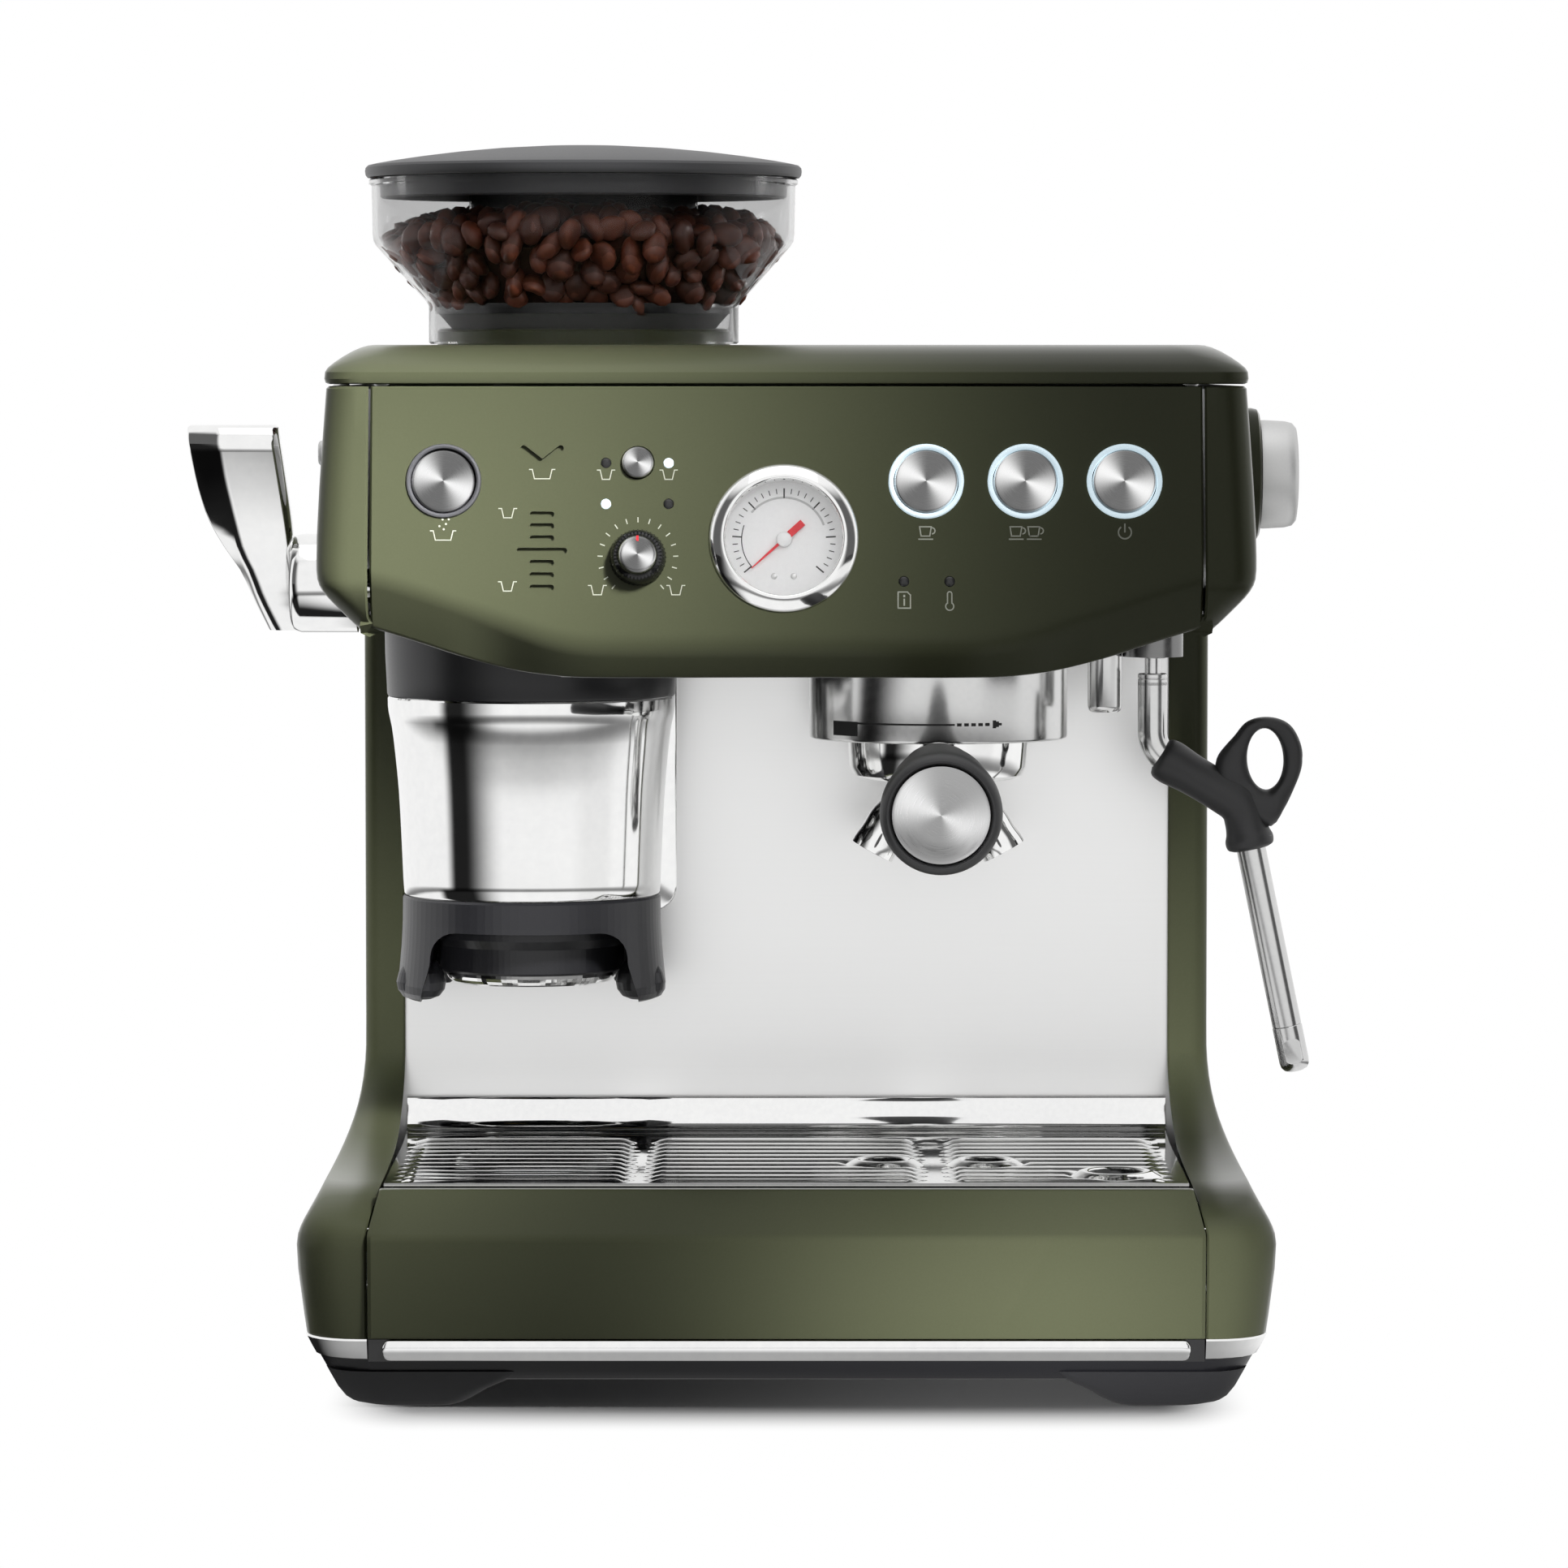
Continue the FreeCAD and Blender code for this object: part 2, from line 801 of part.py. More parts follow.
def swoop_rows():
    """Rows (height, outer, front, corner) of the base cheek, its swoop and the column."""
    low = float(front_crease)
    top = low + float(d.swoop_height)
    column = float(d.column_half_width)
    flare = float(base_half_width) - column
    corner = float(d.column_corner)
    corner_flare = float(d.base_corner) - corner
    rows = [(float(trim_top), float(base_foot_half_width), -float(d.base_front), float(d.base_corner))]
    shelf_front = float(d.column_front) - float(d.swoop_reach)
    shelf_height = top - float(d.swoop_bend)
    path = []
    for turn in SHELF_TURNS:
        angle = math.radians(turn)
        front = shelf_front - (float(d.base_front) + shelf_front) * math.sin(angle)
        path.append((low + (shelf_height - low) * math.cos(angle), front))
    for turn in BEND_TURNS:
        angle = math.radians(turn)
        front = float(d.column_front) - float(d.swoop_reach) * (1 - math.cos(angle))
        path.append((top - float(d.swoop_bend) * math.sin(angle), front))
    for height, front in path:
        share = min(1.0, max(0.0, 1 - (height - low) / float(d.flare_height)))
        rows.append((height, column + flare * share, front, corner + corner_flare * share))
    rows.append((float(head_base) + float(d.splash_top_rise), column, float(d.column_front), corner))
    return rows


def head_rows():
    """Rows (height, outer, front, corner) of the side of the head."""
    tilt = float(tangent(d.fascia_tilt))
    crease = float(fascia_crease + lip_rise)
    front = -float(crease_depth) + float(lip_rise) * tilt
    drop = float(d.head_low_drop)
    top_front = -float(crease_depth) + float(d.fascia_height) * tilt
    corner = float(d.head_corner)
    return [
        (crease - drop, float(head_low_half_width), front + drop, float(d.head_low_corner)),
        (crease, float(head_half_width), front, corner),
        (float(head_top), float(head_top_half_width), top_front, corner),
    ]


def loft(rows, inner_at, inset, low_shift, high_shift):
    """A ruled solid through rows, all faces moved in by an inset."""
    wires = []
    for index, (height, outer, front, corner) in enumerate(rows):
        if index == 0:
            height += low_shift
        if index == len(rows) - 1:
            height += high_shift
        inner = inner_at(height) - 2 * inset
        radius = max(corner - inset, float(d.open_end) / 2)
        back = float(d.back_depth) - inset
        wires.append(section(height, inner, outer - inset, front + inset, radius, back))
    return Part.makeLoft(wires, True, True)


def side_shell():
    """The right-hand side panel before its holes."""
    seam = float(tray_half_width + d.moving_gap * 2)
    head_seam = float(fascia_half_width + d.moving_gap)
    wall = float(d.shell_wall)
    past = float(d.open_end)

    def cheek_inner(height):
        return seam if height <= float(tray_top) else float(column_inner)

    def head_inner(height):
        return head_seam

    outside = loft(swoop_rows(), cheek_inner, 0, 0, 0).fuse(loft(head_rows(), head_inner, 0, 0, 0))
    inside = loft(swoop_rows(), cheek_inner, wall, -past, past)
    inside = inside.fuse(loft(head_rows(), head_inner, wall, wall, past))
    return outside, outside.cut(inside)


def side_rod(x, y, z, radius):
    """A cylinder along X between two X values."""
    return Part.makeCylinder(radius, x[1] - x[0], Vector(x[0], y, z), X_AXIS)


def side_panels():
    outside, shell = side_shell()
    far = 2 * float(base_half_width)
    y = float(d.steam_dial_y)
    z = float(fascia_crease + d.steam_dial_rise)
    boss = side_rod((float(steam_boss_inner), float(steam_boss_outer)), y, z, float(d.steam_boss_radius))
    bore = side_rod((0, far), y, z, float(d.side_shaft + d.running_gap))
    piece("right_side_panel", shaped("right_panel", shell.fuse(boss).cut(bore)))

    y = float(d.lever_pivot_y)
    z = float(lever_pivot)
    recess = float(d.lever_hub_radius + d.moving_gap * 2)
    floor = float(lever_hub_inner - d.moving_gap * 2)
    cup = side_rod((floor - float(d.recess_wall), far), y, z, recess + float(d.recess_wall)).common(outside)
    left = shell.fuse(cup)
    left = left.cut(side_rod((floor, far), y, z, recess))
    left = left.cut(side_rod((0, far), y, z, float(d.tamp_shaft_radius + d.running_gap)))
    y = float(d.grind_dial_y)
    z = float(fascia_crease + d.grind_dial_rise)
    left = left.cut(side_rod((0, far), y, z, float(d.side_shaft + d.running_gap)))
    piece("left_side_panel", shaped("left_panel", left.mirror(Vector(), X_AXIS)))


# Head


BUTTONS = (
    ("dose_button", dose_button_x),
    ("one_cup_button", one_cup_x),
    ("two_cup_button", two_cup_x),
    ("power_button", power_x),
)
LIGHTS = (
    (d.left_light_x, d.upper_light_row),
    (d.right_light_x, d.upper_light_row),
    (d.left_light_x, d.lower_light_row),
    (d.right_light_x, d.lower_light_row),
    (d.info_light_x, d.alert_light_row),
    (d.heat_light_x, d.alert_light_row),
)


def fascia_outline(inset, drop):
    """Outline of the fascia, with its lower edge rising to both sides."""
    half = fascia_half_width - inset
    top = d.fascia_height / cosine(d.fascia_tilt) - inset
    side = lip_rise / cosine(d.fascia_tilt) + inset - drop
    low = as_size(inset) - drop
    flat = d.lip_flat_half_width
    return [(-flat, low), (flat, low), (half, side), (half, top), (-half, top), (-half, side)]


def front_fascia():
    lean = d.fascia_tilt
    depth = d.lip_height * (cosine(lean) + sine(lean))
    drop = d.lip_height * (cosine(lean) - sine(lean))
    wall = d.cover_wall
    plate = lofted("fascia_plate", [(-depth, fascia_outline(0, drop)), (0, fascia_outline(0, 0))])
    hollow = lofted(
        "fascia_hollow",
        [(-depth - d.open_end, fascia_outline(wall, drop)), (-wall, fascia_outline(wall, 0))],
    )
    on_face(plate, 0, 0)
    on_face(hollow, 0, 0)
    through = (-depth, d.open_end)
    tools = [hollow]
    for name, x in BUTTONS:
        tools.append(face_rod(f"{name}_hole", x, d.button_row, through, d.ring_radius + d.seat_gap))
    filter_hole = d.filter_radius + d.running_gap
    tools.append(face_rod("filter_hole", d.filter_x, d.filter_row, through, filter_hole))
    tools.append(face_rod("dial_hole", d.dial_x, d.dial_row, through, d.dial_shaft + d.running_gap))
    tools.append(face_rod("gauge_hole", d.gauge_x, d.gauge_row, through, d.gauge_body_radius + d.seat_gap))
    for number, (x, row) in enumerate(LIGHTS):
        tools.append(face_rod(f"light_hole{number}", x, row, through, d.light_radius + d.seat_gap))
    piece("front_fascia", cut("fascia", plate, *tools))


def cover_outline(half, front, back, corner):
    """A rectangle with its two front corners cut."""
    return [
        (corner - half, front),
        (half - corner, front),
        (half, front + corner),
        (half, back),
        (-half, back),
        (-half, front + corner),
    ]


def top_cover():
    low_front = d.fascia_height * tangent(d.fascia_tilt) - crease_depth
    back = d.bulkhead_front + d.bulkhead_wall
    open_back = back + d.open_end
    wall = d.cover_wall
    corner = d.head_corner
    low_half = head_top_half_width
    top_half = cover_top_half_width
    shell = lofted(
        "cover_shell",
        [
            (head_top, cover_outline(low_half, low_front, back, corner)),
            (cover_top, cover_outline(top_half, -d.cover_top_front, back, corner)),
        ],
    )
    hollow = lofted(
        "cover_hollow",
        [
            (head_top - d.open_end, cover_outline(low_half - wall, low_front + wall, open_back, corner)),
            (cover_top - wall, cover_outline(top_half - wall, wall - d.cover_top_front, open_back, corner)),
        ],
    )
    centre = (hopper_x, d.hopper_y)
    hole = rod("collar_hole", "Z", centre, (head_top, cover_top + d.open_end), d.collar_radius + d.seat_gap)
    piece("top_cover", cut("cover", shell, hollow, hole))
    plate = box(
        "cup_plate",
        (d.cup_tray_left, d.cup_tray_right),
        (-d.cup_tray_front, d.cup_tray_back),
        (cover_top, cover_top + d.sheet_wall),
    )
    piece("cup_tray", plate)


def head_underside():
    half = fascia_half_width + d.moving_gap - d.seat_gap
    flat = d.lip_flat_half_width
    side = head_base + tangent(d.lip_rise_angle) * (half - flat)
    wall = d.plastic_wall
    corners = [
        (-half, side),
        (-flat, head_base),
        (flat, head_base),
        (half, side),
        (half, side + wall),
        (flat, head_base + wall),
        (-flat, head_base + wall),
        (-half, side + wall),
    ]
    front = d.lip_height + lip_rise * tangent(d.fascia_tilt) + d.moving_gap - crease_depth
    plate = padded("underside_plate", "XZ_Plane", corners, (front, d.column_front - d.seat_gap))
    reach = (head_base - d.open_end, fascia_crease + d.fascia_height / 2)
    group_hole = rod("group_hole", "Z", (d.group_x, d.group_y), reach, d.group_radius + d.seat_gap)
    cradle_bore = d.cradle_collar_radius + d.seat_gap
    cradle_hole = rod("cradle_hole", "Z", (cradle_x, d.cradle_y), reach, cradle_bore)
    water_hole = rod("water_hole", "Z", (water_x, d.wand_y), reach, d.water_radius + d.seat_gap)
    low = ball_height - d.socket_lip
    socket = rod("socket_block", "Z", (wand_x, d.wand_y), (low, low + d.socket_height), d.socket_radius)
    hollow = ball("socket_hollow", (wand_x, d.wand_y, ball_height), d.ball_radius + d.moving_gap)
    body = join("underside_with_socket", plate, socket)
    piece("head_underside", cut("underside", body, group_hole, cradle_hole, water_hole, hollow))


def inner_panels():
    half = inner_half_width
    splash = box(
        "splash_sheet",
        (-half, half),
        (splash_front, splash_front + d.sheet_wall),
        (pan_top, head_base + d.splash_top_rise),
    )
    piece("splash_panel", splash)
    bulkhead = box(
        "bulkhead_sheet",
        (-half, half),
        (d.bulkhead_front, d.bulkhead_front + d.bulkhead_wall),
        (pan_top, head_top),
    )
    piece("rear_bulkhead", bulkhead)


# Drip tray


def drip_tray():
    rim = tray_top - d.sheet_wall
    front = d.tray_bevel_depth + d.tray_lip - tray_front_depth
    half = tray_box_half_width
    wall = d.plastic_wall
    low = pan_top + d.moving_gap
    block = box("tray_block", (-half, half), (front, d.tray_box_back), (low, rim))
    hollow = box(
        "tray_hollow",
        (wall - half, half - wall),
        (front + wall, d.tray_box_back - wall),
        (low + wall, rim + d.open_end),
    )
    piece("drip_tray", cut("tray", block, hollow))

    face = -tray_front_depth
    half = tray_half_width
    corners = [
        (face, trim_top),
        (face, front_crease),
        (face + d.tray_bevel_depth, tray_top),
        (front, tray_top),
        (front, trim_top),
    ]
    block = padded("tray_front_block", "YZ_Plane", corners, (-half, half))
    hollow = box(
        "tray_front_hollow",
        (d.shell_wall - half, half - d.shell_wall),
        (face + d.shell_wall, front + d.open_end),
        (trim_top + d.shell_wall, front_crease - d.shell_wall),
    )
    piece("tray_front", cut("tray_face", block, hollow))
    strip = box(
        "tray_strip",
        (-half, half),
        (-trim_front_depth, d.trim_width - trim_front_depth),
        (pan_top + d.moving_gap, trim_top),
    )
    piece("tray_trim", strip)


def drip_grille():
    half = grille_half_width
    front = d.tray_bevel_depth + d.tray_lip + d.moving_gap - tray_front_depth
    back = d.column_front - d.moving_gap
    low = tray_top - d.sheet_wall + d.moving_gap
    top = tray_top + d.grille_rise
    sheet_top = box("grille_sheet", (-half, half), (front, back), (low, top))
    edge = d.sheet_wall * 2
    hollow = box(
        "grille_hollow",
        (edge - half, half - edge),
        (front + edge, back - edge),
        (low - d.open_end, top - d.sheet_wall),
    )
    slots = []
    rib_count = whole(d.rib_count)
    pitch = (back - front - d.grille_edge * 2) / rib_count
    block_width = (half - d.grille_edge) * 2 / 3
    for column in range(3):
        left = d.grille_edge / 2 - half + (block_width + d.grille_edge / 2) * column
        for row in range(int(float(rib_count))):
            y = front + d.grille_edge + pitch * row
            span = (left, left + block_width)
            slots.append(box(f"slot{column}{row}", span, (y, y + d.rib_slot), (low, top + d.open_end)))
    upstand = box(
        "grille_upstand",
        (-half, half),
        (back - d.sheet_wall, back),
        (top - d.sheet_wall, top + d.upstand_height),
    )
    sheet_cut = cut("grille_cut", sheet_top, hollow, *slots)
    piece("drip_grille", join("grille", sheet_cut, upstand))


# Water tank


def water_tank():
    half = tank_half_width
    wall = d.tank_wall
    y = (d.tank_front, d.back_depth - d.seat_gap)
    low = trim_top + d.moving_gap
    block = box("tank_block", (-half, half), y, (low, head_top))
    hollow = box(
        "tank_hollow",
        (wall - half, half - wall),
        (y[0] + wall, y[1] - wall),
        (low + wall, head_top + d.open_end),
    )
    piece("water_tank", cut("tank", block, hollow))
    low_half = head_top_half_width
    top_half = cover_top_half_width
    front = d.bulkhead_front + d.bulkhead_wall + d.moving_gap
    lid = lofted(
        "tank_lid_block",
        [
            (head_top + d.moving_gap, rectangle(low_half, front, d.back_depth)),
            (cover_top, rectangle(top_half, front, d.back_depth)),
        ],
    )
    hollow = lofted(
        "tank_lid_hollow",
        [
            (head_top, rectangle(low_half - wall, front + wall, d.back_depth - wall)),
            (cover_top - wall, rectangle(top_half - wall, front + wall, d.back_depth - wall)),
        ],
    )
    piece("tank_lid", cut("tank_cover", lid, hollow))


# Hopper


def hopper():
    wall = d.plastic_wall
    foot = cover_top + d.moving_gap
    floor = cover_top + d.collar_height + d.moving_gap
    neck_bore = d.neck_radius - wall
    bowl_bore = d.bowl_radius - wall
    profile = [
        (d.hopper_outlet, floor),
        (d.collar_radius + d.moving_gap, floor),
        (d.collar_radius + d.moving_gap, foot),
        (d.neck_radius, foot),
        (d.neck_radius, neck_top),
        (d.bowl_radius, cone_top),
        (d.bowl_radius, bowl_top),
        (bowl_bore, bowl_top),
        (bowl_bore, cone_top),
        (neck_bore, neck_top),
        (neck_bore, floor + wall),
        (d.hopper_outlet, floor + wall),
    ]
    bowl = turned("hopper_bowl", profile)
    piece("bean_hopper", place(bowl, hopper_x, d.hopper_y, 0))

    gap = d.seat_gap
    stem = d.bar_stem + d.moving_gap
    low = floor + wall + gap
    profile = [
        (d.hopper_outlet, low),
        (neck_bore - gap, low),
        (neck_bore - gap, neck_top),
        (bowl_bore - gap, cone_top),
        (bowl_bore - gap, neck_top + d.bean_rise + d.bean_heap),
        (stem, neck_top + d.bean_rise + d.bean_heap * 2),
        (stem, low + d.hopper_outlet),
    ]
    beans = turned("bean_fill", profile)
    piece("coffee_beans", place(beans, hopper_x, d.hopper_y, 0))

    bar_low = neck_top + d.bean_rise + d.bean_heap * 2 + d.bar_lift
    centre = (hopper_x, d.hopper_y)
    stem_rod = rod("bar_stem_rod", "Z", centre, (floor, bar_low + d.bar_height / 2), d.bar_stem)
    hub = rod("bar_hub", "Z", centre, (floor, floor + wall), d.hopper_outlet - d.running_gap)
    bar = box(
        "bar_block",
        (hopper_x - d.bar_length / 2, hopper_x + d.bar_length / 2),
        (d.hopper_y - d.bar_width / 2, d.hopper_y + d.bar_width / 2),
        (bar_low, bar_low + d.bar_height),
    )
    piece("hopper_bar", join("bar", stem_rod, hub, bar))

    low = bowl_top + d.moving_gap
    rim_top = low + d.lid_rim_height
    plug = bowl_bore - d.moving_gap
    profile = [
        (0, rim_top),
        (plug - wall, rim_top),
        (plug - wall, low - d.lid_plug_depth),
        (plug, low - d.lid_plug_depth),
        (plug, low),
        (d.lid_radius, low),
        (d.lid_radius, rim_top),
        (d.lid_shoulder_radius, rim_top + d.lid_shoulder_height),
        (d.lid_crown_radius, rim_top + d.lid_dome_height),
        (0, rim_top + d.lid_dome_height),
    ]
    lid = turned("hopper_cover", profile)
    piece("hopper_lid", place(lid, hopper_x, d.hopper_y, 0))

    profile = [
        (d.collar_bore, chamber_top),
        (d.collar_radius, chamber_top),
        (d.collar_radius, cover_top + d.collar_height),
        (d.collar_bore, cover_top + d.collar_height),
    ]
    collar = turned("collar", profile)
    piece("hopper_collar", place(collar, hopper_x, d.hopper_y, 0))


# Grinder


def grinder():
    centre = (hopper_x, d.hopper_y)
    wall = d.plastic_wall
    bore = d.chamber_radius - wall
    shaft_hole = d.burr_shaft + d.running_gap
    flange_low = chamber_top - d.shell_wall
    profile = [
        (shaft_hole, chamber_bottom),
        (d.chamber_radius, chamber_bottom),
        (d.chamber_radius, flange_low),
        (d.chamber_flange, flange_low),
        (d.chamber_flange, chamber_top),
        (bore, chamber_top),
        (bore, chamber_bottom + wall),
        (shaft_hole, chamber_bottom + wall),
    ]
    chamber = place(turned("chamber", profile), *centre, 0)
    half = d.chute_width / 2
    z = (head_base, chamber_bottom + d.chute_width)
    x = (chute_x - half, chute_x + half)
    duct = box("duct", x, (d.chute_y - half, d.chute_y + half), z)
    mouth = box("mouth", x, (d.chute_y + half, d.hopper_y - bore + wall), (chamber_bottom, z[1]))
    inner_x = (x[0] + wall, x[1] - wall)
    inner_y = (d.chute_y - half + wall, d.chute_y + half - wall)
    duct_bore = box("duct_bore", inner_x, inner_y, (z[0] - d.open_end, z[1] - wall))
    passage_z = (chamber_bottom + wall, z[1] - wall)
    passage = box("passage", inner_x, (inner_y[0], d.hopper_y - bore / 2), passage_z)
    chamber_bore = rod("chamber_bore", "Z", centre, (chamber_bottom + wall, chamber_top), bore)
    body = join("grinder_body", chamber, duct, mouth)
    piece("grinder_housing", cut("grinder_case", body, duct_bore, passage, chamber_bore))

    burr_low = chamber_bottom + wall + d.moving_gap
    burr_top = burr_low + d.burr_height
    tip = d.burr_radius - d.burr_taper
    profile = [
        (d.burr_radius + d.moving_gap, burr_low),
        (bore - d.seat_gap, burr_low),
        (bore - d.seat_gap, burr_top),
        (tip + d.moving_gap, burr_top),
    ]
    piece("upper_burr", place(turned("ring_burr", profile), *centre, 0))
    profile = [
        (d.burr_shaft, burr_low),
        (d.burr_radius, burr_low),
        (tip, burr_top),
        (d.burr_shaft, burr_top),
    ]
    piece("lower_burr", place(turned("cone_burr", profile), *centre, 0))

    burr_wheel = spun(gear_shape(burr_teeth, d.gear_module, d.gear_width), QUARTER_TURN)
    burr_wheel.translate(Vector(0, 0, float(gear_bottom)))
    spindle = Part.makeCylinder(
        float(d.burr_shaft - d.running_gap), float(burr_top - gear_bottom), Vector(0, 0, float(gear_bottom))
    )
    wheel = shaped("burr_wheel", burr_wheel.fuse(spindle))
    piece("burr_gear", place(wheel, *centre, 0))

    half_pitch = 180 / float(motor_teeth)
    pinion = spun(gear_shape(motor_teeth, d.gear_module, d.gear_width), -QUARTER_TURN - half_pitch)
    bore_shape = Part.makeCylinder(float(d.motor_shaft + d.running_gap), float(d.gear_width))
    wheel = shaped("motor_wheel", pinion.cut(bore_shape))
    piece("motor_pinion", place(wheel, hopper_x, motor_y, gear_bottom))

    top = gear_bottom - d.moving_gap
    can = rod("motor_can", "Z", (hopper_x, motor_y), (top - d.motor_height, top), d.motor_radius)
    spindle = rod("motor_spindle", "Z", (hopper_x, motor_y), (top, gear_top), d.motor_shaft)
    pad = box(
        "motor_pad",
        (hopper_x - d.motor_pad_width / 2, hopper_x + d.motor_pad_width / 2),
        (motor_y, d.bulkhead_front),
        (top - d.motor_height, top),
    )
    piece("grinder_motor", join("motor", can, spindle, pad))


# Cradle and tamper


def cradle():
    centre = (cradle_x, d.cradle_y)
    collar_top = head_base + d.cradle_collar_top_rise
    profile = [
        (d.cradle_collar_bore, shield_top),
        (d.cradle_collar_radius, shield_top),
        (d.cradle_collar_radius, collar_top),
        (d.cradle_collar_bore, collar_top),
    ]
    ring = place(turned("cradle_ring", profile), *centre, 0)
    bearing_x = cradle_x + d.tamp_gear_width / 2 + d.moving_gap
    pivot = (d.lever_pivot_y, lever_pivot)
    bridge = box(
        "cradle_bridge",
        (bearing_x, bearing_x + d.bearing_width),
        (d.lever_pivot_y - d.bearing_half_depth, d.cradle_y + d.cradle_collar_radius),
        (head_base + d.bearing_lift, lever_pivot + d.bearing_over),
    )
    shaft_hole = rod(
        "cradle_shaft_hole",
        "X",
        pivot,
        (bearing_x - d.open_end, bearing_x + d.bearing_width + d.open_end),
        d.tamp_shaft_radius + d.running_gap,
    )
    whole = join("cradle_body", ring, bridge)
    piece("cradle_collar", cut("cradle_top", whole, shaft_hole))

    wall = d.sheet_wall
    z = (shield_bottom, shield_top)
    outside = cone("shield_outside", "Z", centre, z, d.shield_bottom_radius, d.shield_top_radius)
    inside = cone(
        "shield_inside", "Z", centre, z, d.shield_bottom_radius - wall, d.shield_top_radius - wall
    )
    rear = box(
        "shield_rear",
        (cradle_x - d.shield_top_radius * 2, cradle_x + d.shield_top_radius * 2),
        (d.cradle_y, d.cradle_y + d.shield_top_radius * 2),
        (shield_bottom - d.open_end, shield_top + d.open_end),
    )
    piece("cradle_shield", cut("shield", outside, inside, rear))

    plate_back = splash_front - d.seat_gap
    plate_front = plate_back - d.sheet_wall
    half = d.back_plate_half_width
    plate = box(
        "cradle_plate",
        (d.seat_gap - column_inner, cradle_x + half),
        (plate_front, plate_back),
        (head_base - d.back_plate_drop, head_base),
    )
    piece("cradle_back_plate", plate)

    ring = rod("fork_ring", "Z", centre, (fork_bottom, shield_bottom), d.shield_bottom_radius)
    bore = rod(
        "fork_bore_hole", "Z", centre, (fork_bottom - d.open_end, shield_bottom + d.open_end), d.fork_bore
    )
    arm = box(
        "fork_arm",
        (cradle_x - d.fork_arm_width / 2, cradle_x + d.fork_arm_width / 2),
        (d.cradle_y + d.fork_bore + d.plastic_wall, plate_front),
        (fork_bottom, shield_bottom),
    )
    legs = []
    for name, side in (("left", -1), ("right", 1)):
        outer = cradle_x + (d.shield_bottom_radius - d.plastic_wall) * side
        inner = outer - d.fork_leg_width * side
        span = (outer, inner) if side < 0 else (inner, outer)
        y = (d.cradle_y - d.fork_leg_depth / 2, d.cradle_y + d.fork_leg_depth / 2)
        legs.append(box(f"fork_{name}_leg", span, y, (fork_bottom - d.fork_leg_height, fork_bottom)))
    whole = join("fork", cut("fork_band", ring, bore), arm, *legs)
    piece("cradle_fork", whole)


def lever_arm():
    """The arm of the lever, a smooth loft that flares outward as it rises."""
    wires = []
    depth = float(d.lever_thickness)
    lean = float(tangent(d.lever_lean))
    corner = float(d.lever_corner)
    low = -float(d.lever_root_drop)
    rise = float(d.lever_rise) - low
    for step in range(5):
        share = math.sin(math.pi / 8 * step)
        z = low + rise * step / 4
        left = -float(lever_root_outer) - float(d.lever_outer_flare) * share
        right = -float(lever_root_inner) - float(d.lever_inner_flare) * share
        y = -z * lean
        sheet_face = Part.makePlane(right - left, depth, Vector(left, y - depth / 2, z))
        wires.append(sheet_face.OuterWire)
    arm = Part.makeLoft(wires, True, False)
    uprights = [edge for edge in arm.Edges if edge.BoundBox.ZLength > rise / 2]
    return arm.makeFillet(corner, uprights)


def tamper():
    pivot = (d.lever_pivot_y, lever_pivot)
    hub = Part.makeCylinder(
        float(d.lever_hub_radius),
        float(lever_hub_outer - lever_hub_inner),
        Vector(-float(lever_hub_outer), 0, 0),
        X_AXIS,
    )
    socket_depth = float(lever_hub_outer + lever_hub_inner) / 2
    socket = Part.makeCylinder(
        float(d.tamp_shaft_radius + d.seat_gap), socket_depth, Vector(-socket_depth, 0, 0), X_AXIS
    )
    lever = shaped("lever", hub.fuse(lever_arm()).cut(socket).removeSplitter())
    piece("tamp_lever", place(lever, 0, *pivot))

    gear_x = cradle_x - d.tamp_gear_width / 2
    pinion = spun(gear_shape(tamp_teeth, d.tamp_module, d.tamp_gear_width), -90)
    pinion = pinion.rotated(Vector(), Y_AXIS, QUARTER_TURN)
    pinion.translate(Vector(float(gear_x), 0, 0))
    end = float(gear_x + d.tamp_gear_width + d.moving_gap + d.bearing_width)
    shaft = Part.makeCylinder(
        float(d.tamp_shaft_radius), end + socket_depth, Vector(-socket_depth, 0, 0), X_AXIS
    )
    spindle = shaped("tamp_spindle", pinion.fuse(shaft))
    piece("tamp_shaft", place(spindle, 0, *pivot))

    module = float(d.tamp_module)
    pitch = math.pi * module
    slope = math.tan(math.radians(float(d.pressure_angle)))
    half_tooth = (pitch / 2 - float(d.tooth_backlash)) / 2
    face = float(rack_pitch_y)
    root = face - float(d.root_share) * module
    tip = face + module
    count = int(float(whole(d.rack_teeth)))
    low = float(shield_top - d.tamper_top_drop)
    below = int(float(whole(d.rack_teeth_below)))
    top = float(lever_pivot) + pitch * (count - below)
    back = root - float(d.rack_depth)
    points = [Vector(0, back, top), Vector(0, back, low), Vector(0, root, low)]
    for tooth in range(count):
        centre = float(lever_pivot) + pitch * (tooth + 0.5 - below)
        root_half = half_tooth + (face - root) * slope
        tip_half = half_tooth - (tip - face) * slope
        for y, z in ((root, -root_half), (tip, -tip_half), (tip, tip_half), (root, root_half)):
            points.append(Vector(0, y, centre + z))
    points.append(Vector(0, root, top))
    bar = Part.Face(Part.makePolygon(points + points[:1])).extrude(Vector(float(d.rack_width), 0, 0))
    bar.translate(Vector(float(cradle_x - d.rack_width / 2), 0, 0))
    head = Part.makeCylinder(
        float(d.tamper_radius),
        float(d.tamper_height),
        Vector(float(cradle_x), float(d.cradle_y), low - float(d.tamper_height)),
    )
    piece("tamp_plunger", shaped("plunger", bar.fuse(head)))


# Group head and portafilter


